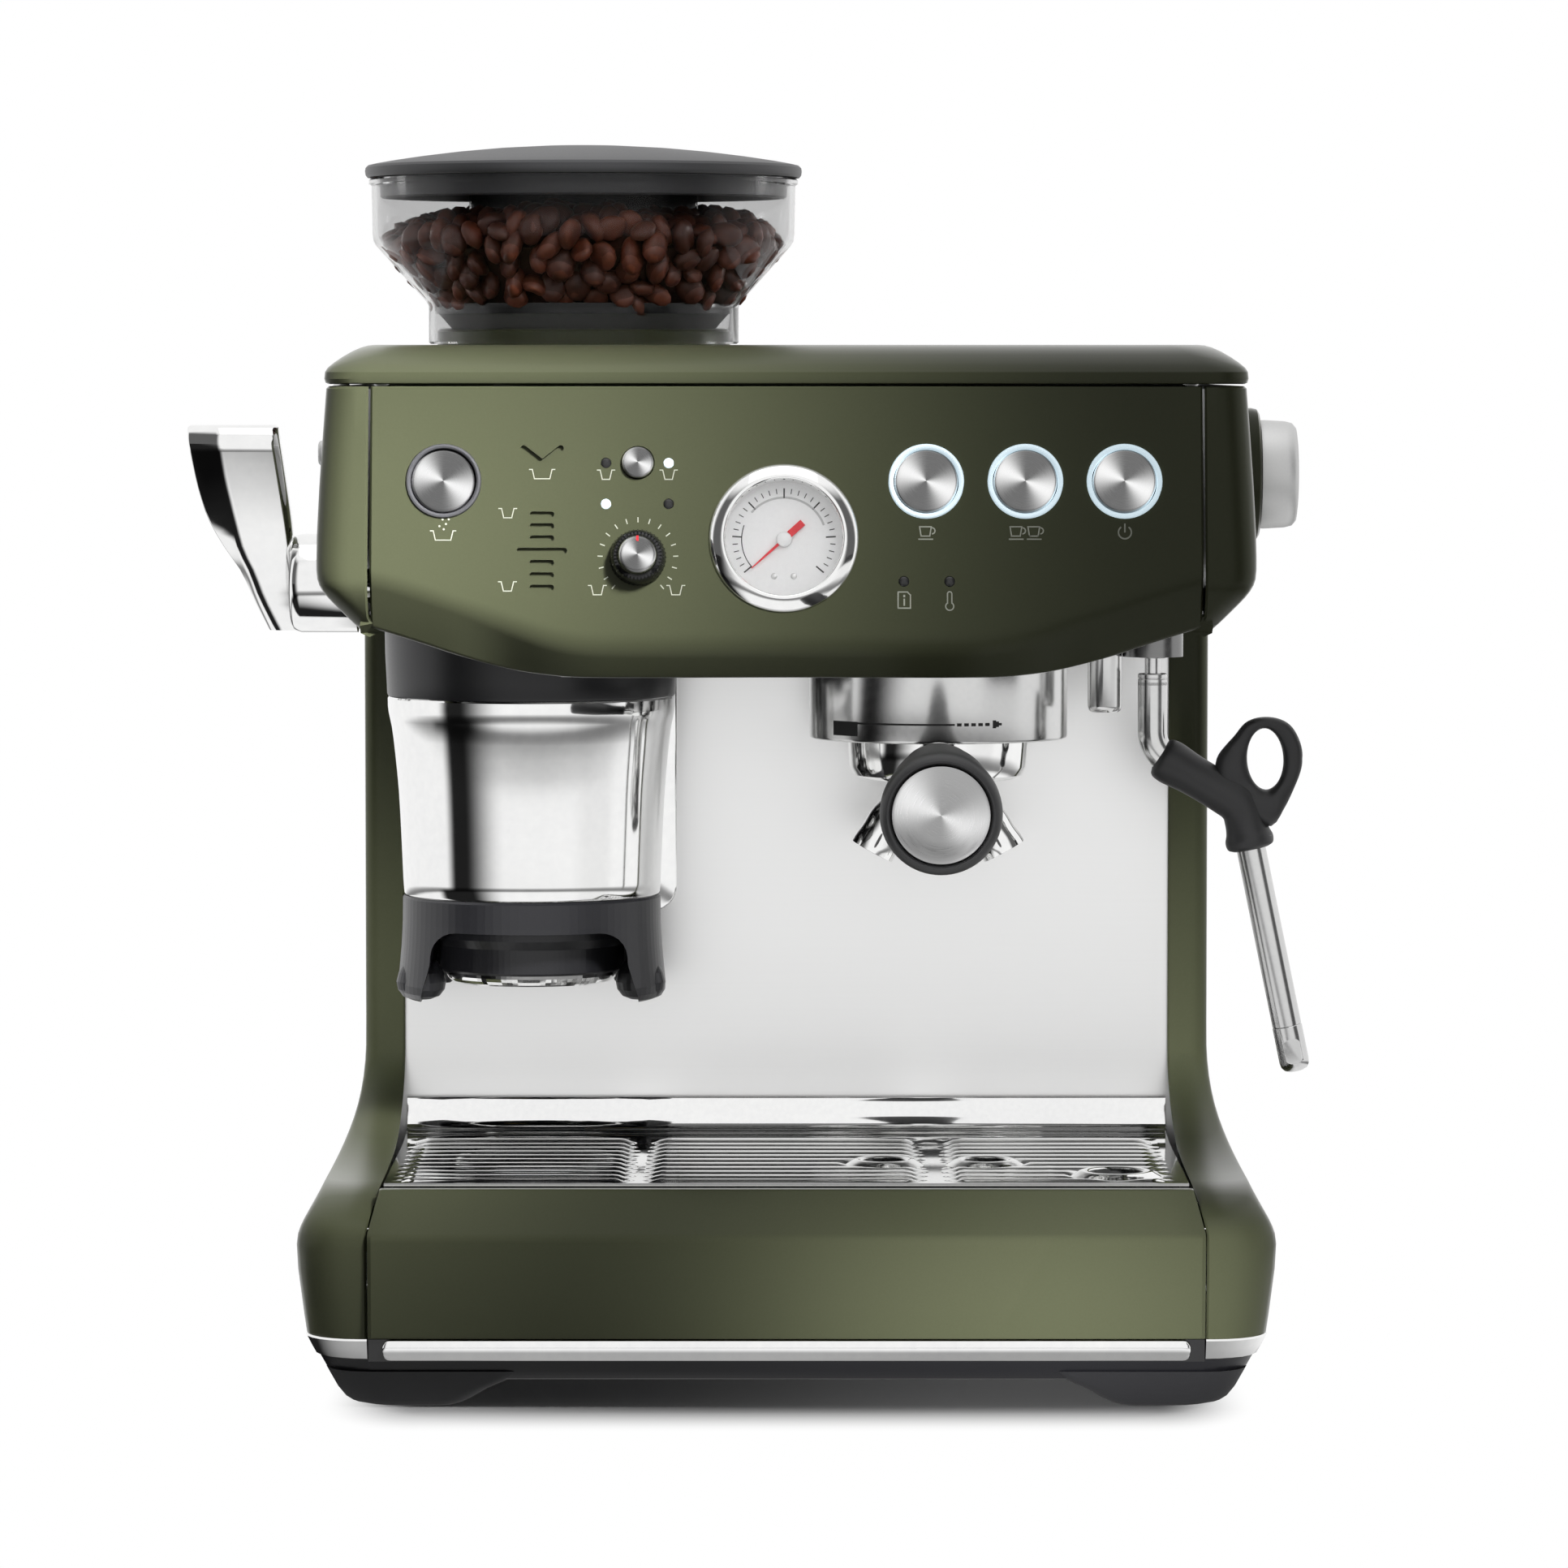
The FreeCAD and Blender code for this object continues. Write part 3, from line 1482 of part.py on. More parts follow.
def group_head():
    centre = (d.group_x, d.group_y)
    profile = [
        (0, group_ceiling),
        (d.group_bore, group_ceiling),
        (d.group_bore, group_bottom),
        (d.group_radius, group_bottom),
        (d.group_radius, head_base + d.group_rise),
        (0, head_base + d.group_rise),
    ]
    piece("group_head", place(turned("group_block", profile), *centre, 0))
    z = (group_ceiling - d.screen_height, group_ceiling)
    piece("shower_screen", rod("screen", "Z", centre, z, d.screen_radius))


def portafilter():
    centre = (d.group_x, d.group_y)
    top = group_ceiling - d.screen_height - d.moving_gap
    flange = d.group_bore - d.moving_gap
    wall = d.basin_wall
    profile = [
        (0, basin_bottom),
        (d.basin_radius, basin_bottom),
        (d.basin_radius, top - d.flange_height),
        (flange, top - d.flange_height),
        (flange, top),
        (basin_bore, top),
        (basin_bore, basin_bottom + wall),
        (0, basin_bottom + wall),
    ]
    basin = place(turned("basin", profile), *centre, 0)
    turn = d.handle_fall + QUARTER_TURN
    y = d.group_y - d.handle_root
    z = basin_bottom + d.handle_root_rise
    neck = doc.addObject("Part::Cylinder", "portafilter_neck")
    bind(neck, "Radius", d.neck_rod_radius)
    bind(neck, "Height", d.neck_rod_length)
    place(neck, d.group_x, y + wall * cosine(d.handle_fall), z + wall * sine(d.handle_fall), X_AXIS, turn)
    bore = rod("basin_bore_tool", "Z", centre, (basin_bottom + wall, top), basin_bore)
    piece("portafilter_body", cut("portafilter_shell", join("portafilter_fused", basin, neck), bore))

    start = d.neck_rod_length - wall
    socket = d.neck_rod_radius + d.seat_gap
    profile = [
        (0, start),
        (socket, start),
        (socket, d.handle_start),
        (d.handle_thin_radius, d.handle_start),
        (d.handle_thin_radius, d.handle_flare),
        (d.handle_thick_radius, d.handle_length - d.cap_thickness * 4),
        (d.handle_thick_radius, d.handle_length),
        (d.cap_radius + d.seat_gap, d.handle_length),
        (d.cap_radius + d.seat_gap, d.handle_length - d.cap_thickness),
        (0, d.handle_length - d.cap_thickness),
    ]
    grip = turned("handle_grip", profile)
    piece("portafilter_handle", place(grip, d.group_x, y, z, X_AXIS, turn))
    profile = [
        (0, d.handle_length - d.cap_thickness),
        (d.cap_radius, d.handle_length - d.cap_thickness),
        (d.cap_radius, d.handle_length),
        (0, d.handle_length),
    ]
    cap = turned("handle_end", profile)
    piece("handle_cap", place(cap, d.group_x, y, z, X_AXIS, turn))

    inner = basin_bore - d.seat_gap - d.basket_wall
    low = basin_bottom + wall + d.basket_lift
    profile = [
        (0, low),
        (basin_bore - d.seat_gap, low),
        (basin_bore - d.seat_gap, top),
        (inner, top),
        (inner, low + d.basket_wall),
        (0, low + d.basket_wall),
    ]
    piece("filter_basket", place(turned("basket", profile), *centre, 0))

    block_low = basin_bottom - d.spout_block_height
    half = d.spout_block / 2
    block = box(
        "spout_centre",
        (d.group_x - half, d.group_x + half),
        (d.group_y - half, d.group_y + half),
        (block_low, basin_bottom),
    )
    lips = []
    for name, side in (("left", -1), ("right", 1)):
        leg = doc.addObject("Part::Cylinder", f"spout_{name}_leg")
        bind(leg, "Radius", d.spout_radius)
        bind(leg, "Height", d.spout_drop * 2)
        lean = Size(180.0, "180") - d.spout_angle * side
        place(leg, d.group_x, d.group_y, block_low + half, Y_AXIS, lean)
        lips.append(leg)
    below = box(
        "spout_below",
        (d.group_x - d.group_radius * 2, d.group_x + d.group_radius * 2),
        (d.group_y - d.group_radius, d.group_y + d.group_radius),
        (basin_bottom - d.spout_drop * 4, basin_bottom - d.spout_drop),
    )
    above = box(
        "spout_above",
        (d.group_x - d.group_radius, d.group_x + d.group_radius),
        (d.group_y - d.group_radius, d.group_y + d.group_radius),
        (basin_bottom, basin_bottom + d.group_radius),
    )
    whole = join("spout_fused", block, *lips)
    piece("portafilter_spouts", cut("spouts", whole, below, above))


# Steam wand and hot water


def bent_path(corners, radius):
    """A wire of straight runs joined by tangent arcs."""
    edges = []
    start = corners[0]
    for before, corner, after in zip(corners, corners[1:], corners[2:]):
        inward = (before - corner).normalize()
        outward = (after - corner).normalize()
        half_turn = (math.pi - inward.getAngle(outward)) / 2
        reach = radius * math.tan(half_turn)
        first = corner + inward * reach
        last = corner + outward * reach
        middle_way = (inward + outward).normalize()
        middle = corner + middle_way * (radius / math.cos(half_turn) - radius)
        edges.append(Part.LineSegment(start, first).toShape())
        edges.append(Part.Arc(first, middle, last).toShape())
        start = last
    edges.append(Part.LineSegment(start, corners[-1]).toShape())
    return Part.Wire(edges)


def tube(path, radius):
    """A round bar along a wire."""
    edge = path.Edges[0]
    start = edge.valueAt(edge.FirstParameter)
    along = edge.tangentAt(edge.FirstParameter)
    ring = Part.Wire([Part.makeCircle(radius, start, along)])
    return path.makePipeShell([ring], True, False)


def wand_corners():
    """Centre line of the wand, from the ball down, with the ball at the origin."""
    grip = Vector(float(d.grip_offset), 0, -float(d.grip_drop))
    elbow = Vector(float(d.elbow_out), 0, -float(d.elbow_drop))
    tip = Vector(float(d.tip_out), 0, -float(d.tip_drop))
    return grip, elbow, tip


def steam_wand():
    centre = (wand_x, d.wand_y)
    piece("wand_ball", ball("wand_pivot", (*centre, ball_height), d.ball_radius))

    grip, elbow, tip = wand_corners()
    radius = float(d.wand_radius)
    top = Vector(0, 0, -float(d.ball_radius + d.moving_gap / 2))
    bend = float(d.wand_bend)
    pipe = tube(bent_path([top, grip, elbow, tip], bend), radius)
    along = (tip - elbow).normalize()
    length = float(d.tip_length)
    nozzle = Part.makeCylinder(float(d.tip_radius), length, tip - along * length, along)
    wand = shaped("wand", pipe.fuse(nozzle))
    piece("wand_tube", place(wand, *centre, ball_height))

    run = (elbow - grip).normalize()
    start = grip + run * bend
    sleeve = tube(bent_path([start, elbow, elbow + along * bend * 2], bend), float(d.grip_radius))
    half_width = float(d.loop_half_width)
    half_height = float(d.loop_half_height)
    thickness = float(d.loop_thickness)
    middle = Vector(float(d.loop_out), -thickness / 2, -float(d.loop_drop))
    loop = stadium(middle, half_width, half_height, thickness)
    rim = half_width - float(d.loop_bore_half_width)
    bore = stadium(middle, half_width - rim, half_height - rim, thickness)
    passage = tube(bent_path([top, grip, elbow, tip], bend), radius + float(d.seat_gap))
    handle = shaped("wand_handle", sleeve.fuse(loop).cut(bore).cut(passage))
    piece("wand_grip", place(handle, *centre, ball_height))

    high = head_base + d.water_rise
    spout = rod("water_pipe", "Z", (water_x, d.wand_y), (head_base - d.water_drop, high), d.water_radius)
    piece("hot_water_spout", spout)


def stadium(middle, half_width, half_height, thickness):
    """An upright slot-shaped block, extruded along Y."""
    straight = half_height - half_width
    left = -half_width
    right = half_width
    edges = [
        Part.LineSegment(Vector(left, 0, -straight), Vector(left, 0, straight)),
        Part.Arc(Vector(left, 0, straight), Vector(0, 0, half_height), Vector(right, 0, straight)),
        Part.LineSegment(Vector(right, 0, straight), Vector(right, 0, -straight)),
        Part.Arc(Vector(right, 0, -straight), Vector(0, 0, -half_height), Vector(left, 0, -straight)),
    ]
    wire = Part.Wire([edge.toShape() for edge in edges])
    wire.translate(middle)
    return Part.Face(wire).extrude(Vector(0, thickness, 0))


# Controls


def buttons():
    rings = []
    back = -d.button_depth
    for name, x in BUTTONS:
        cap = face_rod(f"{name}_cap", x, d.button_row, (back, d.button_proud), d.button_radius)
        piece(name, cap)
        rim = face_rod(f"{name}_rim", x, d.button_row, (-d.cover_wall, d.button_proud), d.ring_radius)
        bore = face_rod(
            f"{name}_bore",
            x,
            d.button_row,
            (back, d.button_proud + d.open_end),
            d.button_radius + d.running_gap,
        )
        rings.append(cut(f"{name}_ring", rim, bore))
    cap = face_rod("filter_cap", d.filter_x, d.filter_row, (back, d.button_proud * 2), d.filter_radius)
    piece("filter_button", cap)
    lamps = []
    for number, (x, row) in enumerate(LIGHTS):
        lamps.append(face_rod(f"lamp{number}", x, row, (-d.light_depth, d.seat_gap), d.light_radius))
    piece("light_pipes", *rings, *lamps)


def manual_dial():
    low = d.moving_gap
    profile = [
        (0, -d.dial_shaft_depth),
        (d.dial_shaft, -d.dial_shaft_depth),
        (d.dial_shaft, low),
        (d.dial_radius, low),
        (d.dial_radius, low + d.dial_skirt_height),
        (d.dial_face_radius, low + d.dial_height),
        (0, low + d.dial_height),
    ]
    piece("manual_dose_dial", on_face(turned("dose_dial", profile), d.dial_x, d.dial_row))


def gauge():
    face = -d.gauge_face_depth
    profile = [
        (0, -d.gauge_body_depth),
        (d.gauge_body_radius, -d.gauge_body_depth),
        (d.gauge_body_radius, 0),
        (d.gauge_radius, 0),
        (d.gauge_radius, d.gauge_proud / 2),
        (d.gauge_face_radius, d.gauge_proud),
        (d.gauge_face_radius, face),
        (0, face),
    ]
    piece("pressure_gauge", on_face(turned("gauge_case", profile), d.gauge_x, d.gauge_row))
    half = float(d.needle_width) / 2
    tail = float(d.needle_tail)
    length = float(d.needle_length) + tail
    blade = Part.makeBox(length, 2 * half, float(d.needle_thickness), Vector(-tail, -half, 0))
    blade = spun(blade, float(d.needle_rest_angle))
    hub = Part.makeCylinder(float(d.needle_hub), float(d.needle_hub_height))
    needle = shaped("needle", blade.fuse(hub))
    piece("gauge_needle", on_face(needle, d.gauge_x, d.gauge_row, d.moving_gap - d.gauge_face_depth))


def side_dials():
    centre = (d.grind_dial_y, fascia_crease + d.grind_dial_rise)
    inner = head_half_width + d.moving_gap
    plate_end = inner + d.grind_dial_thickness
    fin_end = plate_end + d.grind_fin_height
    plate = rod("grind_plate", "X", centre, (-plate_end, -inner), d.grind_dial_radius)
    shaft = rod("grind_shaft", "X", centre, (-inner, -side_shaft_reach), d.side_shaft)
    fin = box(
        "grind_fin",
        (-fin_end, -plate_end),
        (centre[0] - d.grind_fin_half_length, centre[0] + d.grind_fin_half_length),
        (centre[1] - d.grind_fin_width / 2, centre[1] + d.grind_fin_width / 2),
    )
    piece("grind_dial", join("grind_knob", plate, shaft, fin))

    centre = (d.steam_dial_y, fascia_crease + d.steam_dial_rise)
    low = steam_boss_outer + d.moving_gap
    knob = rod("steam_knob", "X", centre, (low, low + d.steam_dial_height), d.steam_dial_radius)
    shaft = rod("steam_shaft", "X", centre, (steam_boss_inner, low), d.side_shaft)
    piece("steam_dial", join("steam_control", knob, shaft))


# Inside


def inner_works():
    back = d.bulkhead_front - d.seat_gap
    y = back - d.heater_radius
    low = head_base + d.splash_top_rise
    heater = rod("heater_can", "Z", (d.group_x, y), (low, low + d.heater_height), d.heater_radius)
    pad = box(
        "heater_pad",
        (d.group_x - d.heater_radius / 2, d.group_x + d.heater_radius / 2),
        (y, back),
        (low, low + d.heater_height),
    )
    piece("heater", join("heater_unit", heater, pad))

    axis = (d.pump_y, pan_top + d.pump_radius + d.plastic_wall)
    span = (d.pump_x - d.pump_length / 2, d.pump_x + d.pump_length / 2)
    barrel = rod("pump_barrel", "X", axis, span, d.pump_radius)
    block = box(
        "pump_block",
        (d.pump_x - d.pump_block_width, d.pump_x + d.pump_block_width),
        (d.pump_y - d.pump_block_width / 2, d.pump_y + d.pump_block_width / 2),
        (pan_top, axis[1]),
    )
    piece("pump", join("pump_unit", barrel, block))

    x = (board_x, board_x + d.board_width)
    z = (pan_top + d.board_rise, pan_top + d.board_rise + d.board_height)
    front = d.bulkhead_front - d.board_standoff - d.board_thickness
    card = box("board_card", x, (front, front + d.board_thickness), z)
    posts = []
    for column in (0, 1):
        for row in (0, 1):
            post_x = x[column] + d.standoff_radius * (2 - 4 * column)
            post_z = z[row] + d.standoff_radius * (2 - 4 * row)
            name = f"board_post{column}{row}"
            span = (front + d.board_thickness, d.bulkhead_front)
            posts.append(rod(name, "Y", (post_x, post_z), span, d.standoff_radius))
    piece("control_board", join("board", card, *posts))


rubber_feet()
base_pan()
base_trim()
side_panels()
front_fascia()
top_cover()
head_underside()
inner_panels()
drip_tray()
drip_grille()
water_tank()
hopper()
grinder()
cradle()
tamper()
group_head()
portafilter()
steam_wand()
buttons()
manual_dial()
gauge()
side_dials()
inner_works()
doc.recompute()

for item in doc.Objects:
    if "Invalid" in item.State or "Error" in item.State:
        raise RuntimeError(f"{item.Name} failed: {item.State}")
for item in PIECES:
    if item.Shape.isNull() or not item.Shape.isValid():
        raise RuntimeError(f"{item.Label} has no valid shape")

os.makedirs("parts", exist_ok=True)
for item in PIECES:
    item.Shape.exportStep(f"parts/{item.Label}.step")
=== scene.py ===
import json
import math

import bmesh
import bpy
from mathutils import Matrix, Vector


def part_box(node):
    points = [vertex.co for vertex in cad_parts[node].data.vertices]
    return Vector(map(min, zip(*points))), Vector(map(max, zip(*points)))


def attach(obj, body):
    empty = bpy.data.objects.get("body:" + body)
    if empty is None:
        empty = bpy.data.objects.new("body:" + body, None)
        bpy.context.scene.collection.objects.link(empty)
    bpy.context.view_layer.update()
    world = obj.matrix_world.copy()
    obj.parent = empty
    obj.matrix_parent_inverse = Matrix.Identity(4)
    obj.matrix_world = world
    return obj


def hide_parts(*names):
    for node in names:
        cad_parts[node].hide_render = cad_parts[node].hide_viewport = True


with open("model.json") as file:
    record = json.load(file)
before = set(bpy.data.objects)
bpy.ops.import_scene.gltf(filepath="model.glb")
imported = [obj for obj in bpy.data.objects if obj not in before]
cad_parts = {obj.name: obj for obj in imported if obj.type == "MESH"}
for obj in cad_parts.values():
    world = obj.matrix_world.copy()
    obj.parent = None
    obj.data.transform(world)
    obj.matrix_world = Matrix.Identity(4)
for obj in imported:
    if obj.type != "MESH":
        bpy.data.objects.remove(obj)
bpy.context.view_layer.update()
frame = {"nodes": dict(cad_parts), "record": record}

# Sizes are millimetres in the machine's own axes: x to the right, y to the back, z up from
# the counter. SEAT takes them into the frame, in metres, where the middle of the footprint
# is the origin.
SHIFT = Vector((12.9, 51, 0))
SEAT = Matrix.Scale(0.001, 4) @ Matrix.Translation(SHIFT)
QUARTER = math.pi / 2

BACK = 138
HEAD_TOP = 333
FACE_CREASE = 248.6
FACE_FRONT = -140
FACE_LEAN = math.radians(10)
FACE_HALF = 135.4
FACE_GAP = 0.35
TRAY_HALF = 135.8
TANK_HALF = 131.4
TANK_FRONT = 75.8
LEVER_PIVOT = (-150, -19, 265.2)
STEAM_DIAL = (-40, 302.6)
HOPPER = (-69.3, -4)
CRADLE = (-86.2, -40)
GROUP = (51.2, -45)
BALL = Vector((122.7, -60, 244.4))


# Mesh helpers


def rounded(corners, steps=6, closed=True):
    """Points of an outline through corners (u, v, radius), each corner turned into an arc."""
    points = []
    count = len(corners)
    for index, (u, v, radius) in enumerate(corners):
        here = Vector((u, v))
        if radius <= 0 or (not closed and index in (0, count - 1)):
            points.append(here)
            continue
        before = (Vector(corners[index - 1][:2]) - here).normalized()
        after = (Vector(corners[(index + 1) % count][:2]) - here).normalized()
        half = before.angle(after) / 2
        centre = here + (before + after).normalized() * (radius / math.sin(half))
        start = here + before * (radius / math.tan(half)) - centre
        end = here + after * (radius / math.tan(half)) - centre
        first = math.atan2(start.y, start.x)
        sweep = (math.atan2(end.y, end.x) - first + math.pi) % (2 * math.pi) - math.pi
        for step in range(steps + 1):
            angle = first + sweep * step / steps
            points.append(centre + radius * Vector((math.cos(angle), math.sin(angle))))
    return points


def block(left, right, front, back, radii, steps=6):
    """A rectangle's outline from its front left corner on, with one radius or four."""
    corners = ((left, front), (right, front), (right, back), (left, back))
    if not isinstance(radii, tuple):
        radii = (radii,) * 4
    return rounded([(*corner, radius) for corner, radius in zip(corners, radii)], steps)


def band(inner, outer, low, high):
    """The section of a ring, or of a rod where inner is 0."""
    return [(inner, low), (outer, low), (outer, high), (inner, high)]


def level(outline, height):
    return [Vector((*p, height)) for p in outline]


def eased(table, value):
    """A smooth curve through the (place, size) pairs of a table."""
    value = min(max(value, table[0][0]), table[-1][0])

    def slope(index):
        before, after = table[max(index - 1, 0)], table[min(index + 1, len(table) - 1)]
        return (after[1] - before[1]) / (after[0] - before[0])

    for index, ((a, low), (b, high)) in enumerate(zip(table, table[1:])):
        if value <= b:
            span = b - a
            t = (value - a) / span
            return (
                low * (2 * t**3 - 3 * t**2 + 1)
                + slope(index) * span * (t**3 - 2 * t**2 + t)
                + high * (3 * t**2 - 2 * t**3)
                + slope(index + 1) * span * (t**3 - t**2)
            )


def eased_step(value):
    value = max(0, min(1, value))
    return value * value * (3 - 2 * value)


def even_steps(first, last, step):
    count = max(1, round((last - first) / step))
    return [first + (last - first) * k / count for k in range(count + 1)]


def loft(rings, closed=True, around=False, mesh=None):
    """Skin over rings of points that have the same count."""
    mesh = bmesh.new() if mesh is None else mesh
    rows = [[mesh.verts.new(point) for point in ring] for ring in rings]
    count = len(rows[0])
    pairs = list(zip(rows, rows[1:]))
    if around:
        pairs.append((rows[-1], rows[0]))
    for low, high in pairs:
        for k in range(count if closed else count - 1):
            n = (k + 1) % count
            mesh.faces.new((low[k], low[n], high[n], high[k]))
    if closed and not around:
        mesh.faces.new(rows[0][::-1])
        mesh.faces.new(rows[-1])
    return mesh


def lathe(profile, steps, place=None, start=0, sweep=360, closed=False, mesh=None):
    """A profile of (radius, height) turned about the z axis, then placed."""
    mesh = bmesh.new() if mesh is None else mesh
    place = place or Matrix()
    full = sweep == 360
    turns = steps if full else steps + 1
    rows = []
    for radius, height in profile:
        if radius < 1e-6:
            rows.append([mesh.verts.new(place @ Vector((0, 0, height)))] * turns)
            continue
        row = []
        for k in range(turns):
            angle = math.radians(start + sweep * k / steps)
            spot = Vector((radius * math.cos(angle), radius * math.sin(angle), height))
            row.append(mesh.verts.new(place @ spot))
        rows.append(row)
    pairs = list(zip(rows, rows[1:]))
    if closed:
        pairs.append((rows[-1], rows[0]))
    for low, high in pairs:
        for k in range(steps):
            n = (k + 1) % turns
            corners = list(dict.fromkeys((low[k], low[n], high[n], high[k])))
            if len(corners) > 2:
                mesh.faces.new(corners)
    if not full and closed:
        mesh.faces.new([row[0] for row in rows])
        mesh.faces.new([row[-1] for row in reversed(rows)])
    return mesh


def shrunk(outline, inset):
    """An outline (anticlockwise) moved inwards by an inset."""
    if inset == 0:
        return outline
    moved = []
    count = len(outline)
    for index in range(count):
        before, here, after = (outline[(index + k) % count] for k in (-1, 0, 1))
        one = (here - before).normalized()
        two = (after - here).normalized()
        normal = Vector((-one.y - two.y, one.x + two.x)).normalized()
        scale = max(normal.dot(Vector((-one.y, one.x))), 0.4)
        moved.append(here + normal * (inset / scale))
    return moved


def prism(outline, low, high, place=None, soft=0, mesh=None):
    """A flat outline drawn up from low to high, with its upper edge rounded by soft."""
    place = place or Matrix()
    levels = [(0, low)]
    for turn in even_steps(0, QUARTER, QUARTER / 3) if soft else [QUARTER]:
        levels.append((soft * (1 - math.cos(turn)), high - soft + soft * math.sin(turn)))
    rings = [level(shrunk(outline, inset), height) for inset, height in levels]
    return loft([[place @ point for point in ring] for ring in rings], mesh=mesh)


def brick(x, y, z):
    """A plain block between two corners, used inside larger shapes."""
    return prism(block(*x, *y, 0), *z)


def tube(path, radii, steps=40):
    """A round bar along a path; radii holds one radius for each point."""
    rings = []
    side = None
    for index, point in enumerate(path):
        ahead = path[min(index + 1, len(path) - 1)] - path[max(index - 1, 0)]
        ahead.normalize()
        if side is None:
            side = ahead.orthogonal().normalized()
            if abs(ahead.y) < 0.9:
                side = Vector((0, 1, 0)).cross(ahead).normalized()
        side = (side - ahead * side.dot(ahead)).normalized()
        over = ahead.cross(side)
        turns = [2 * math.pi * k / steps for k in range(steps)]
        rings.append(
            [point + radii[index] * (math.cos(a) * side + math.sin(a) * over) for a in turns]
        )
    return loft(rings)


def bent(corners, radius, steps=8):
    """Points of straight runs joined by arcs, through corners in space."""
    points = [corners[0].copy()]
    for before, here, after in zip(corners, corners[1:], corners[2:]):
        one = (before - here).normalized()
        two = (after - here).normalized()
        half = one.angle(two) / 2
        reach = radius / math.tan(half)
        centre = here + (one + two).normalized() * (radius / math.sin(half))
        first = here + one * reach - centre
        last = here + two * reach - centre
        turn = first.angle(last)
        for step in range(steps + 1):
            t = step / steps
            arm = first * math.sin((1 - t) * turn) + last * math.sin(t * turn)
            points.append(centre + arm / math.sin(turn))
    points.append(corners[-1].copy())
    return points


def finer(path, step):
    """A path with more points on its straight runs."""
    points = [path[0]]
    for before, here in zip(path, path[1:]):
        count = max(1, round((here - before).length / step))
        points += [before.lerp(here, k / count) for k in range(1, count + 1)]
    return points


def face_y(height):
    """Where the leaning fascia is at a height."""
    return FACE_FRONT + (height - FACE_CREASE) * math.tan(FACE_LEAN)


def face_at(x, row, lift=0):
    """Places a shape on the leaning fascia, its z axis outwards."""
    spot = upright(x, face_y(FACE_CREASE + row), FACE_CREASE + row)
    return spot @ Matrix.Rotation(QUARTER - FACE_LEAN, 4, "X") @ upright(0, 0, lift)


def side_at(x, y, z, outwards):
    """Places a shape on a side of the machine, its z axis outwards."""
    return upright(x, y, z) @ Matrix.Rotation(QUARTER * outwards, 4, "Y")


def upright(x, y, z=0):
    return Matrix.Translation((x, y, z))


def pointing(ahead):
    """Turns the z axis of a shape ahead."""
    return ahead.to_track_quat("Z", "Y").to_matrix().to_4x4()


AT_HOPPER, AT_CRADLE, AT_GROUP = upright(*HOPPER), upright(*CRADLE), upright(*GROUP)


# Objects and pieces


def placed(name, data):
    thing = bpy.data.objects.new(name, data)
    bpy.context.scene.collection.objects.link(thing)
    return thing


def data_of(name, mesh):
    data = bpy.data.meshes.new(name)
    mesh.to_mesh(data)
    mesh.free()
    return data


def mesh_of(data, matrix):
    mesh = bmesh.new()
    mesh.from_mesh(data)
    mesh.transform(matrix)
    return mesh


def mended(mesh):
    bmesh.ops.remove_doubles(mesh, verts=mesh.verts, dist=0.004)
    bmesh.ops.recalc_face_normals(mesh, faces=mesh.faces)
    return mesh


def shape_object(name, mesh):
    """An object from a mesh in machine millimetres."""
    mesh.transform(SEAT)
    return placed(name, data_of(name, mesh))


def settle(thing):
    """Turns what the modifiers of an object give into its plain mesh."""
    bpy.context.view_layer.update()
    shape = thing.evaluated_get(bpy.context.evaluated_depsgraph_get())
    mesh = bpy.data.meshes.new_from_object(shape)
    thing.modifiers.clear()
    thing.data = mesh


def modify(thing, kind, **settings):
    modifier = thing.modifiers.new(kind.lower(), kind)
    for name, value in settings.items():
        setattr(modifier, name, value)


def carve(thing, cutters):
    """Cuts closed meshes out of an object."""
    tool = shape_object("cutter", mended(cutters))
    modify(thing, "BOOLEAN", operation="DIFFERENCE", solver="EXACT", object=tool)
    settle(thing)
    bpy.data.objects.remove(tool)


def thicken(thing, wall):
    """Gives an open skin a wall on its inner side."""
    modify(thing, "SOLIDIFY", thickness=wall * 0.001, offset=-1)
    settle(thing)


def soften(thing, width, segments, angle):
    """Rounds the edges of an object that turn by more than an angle."""
    limit = {"limit_method": "ANGLE", "angle_limit": math.radians(angle)}
    modify(thing, "BEVEL", width=width * 0.001, segments=segments, **limit)
    modify(thing, "WEIGHTED_NORMAL", keep_sharp=True)
    settle(thing)


def joined(name, parts):
    """One object from (mesh, finish number) parts; each part keeps its own number."""
    whole = bmesh.new()
    for mesh, number in parts:
        for face in mended(mesh).faces:
            face.material_index = number
        data = data_of("part", mesh)
        whole.from_mesh(data)
        bpy.data.meshes.remove(data)
    return shape_object(name, whole)


def taken(thing):
    """The mesh of an object, back in machine millimetres; the object goes."""
    mesh = mesh_of(thing.data, SEAT.inverted())
    bpy.data.objects.remove(thing)
    return mesh


def dress(thing, finishes, body, nodes, slot, crisp=38):
    """Gives an object its finishes, seats it on its body and hides the solids it stands for."""
    data = thing.data
    for index, finish in enumerate(finishes):
        if index < len(data.materials):
            data.materials[index] = finish
        else:
            data.materials.append(finish)
    if not data.has_custom_normals:
        data.shade_smooth()
        data.set_sharp_from_angle(angle=math.radians(crisp))
    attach(thing, body)
    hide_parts(*nodes)


def show(name, shape, *look, **more):
    """Makes a piece of one mesh, or of (mesh, finish number) parts, and dresses it."""
    parts = shape if isinstance(shape, list) else [(shape, 0)]
    dress(joined(name, parts), *look, **more)


# Finishes


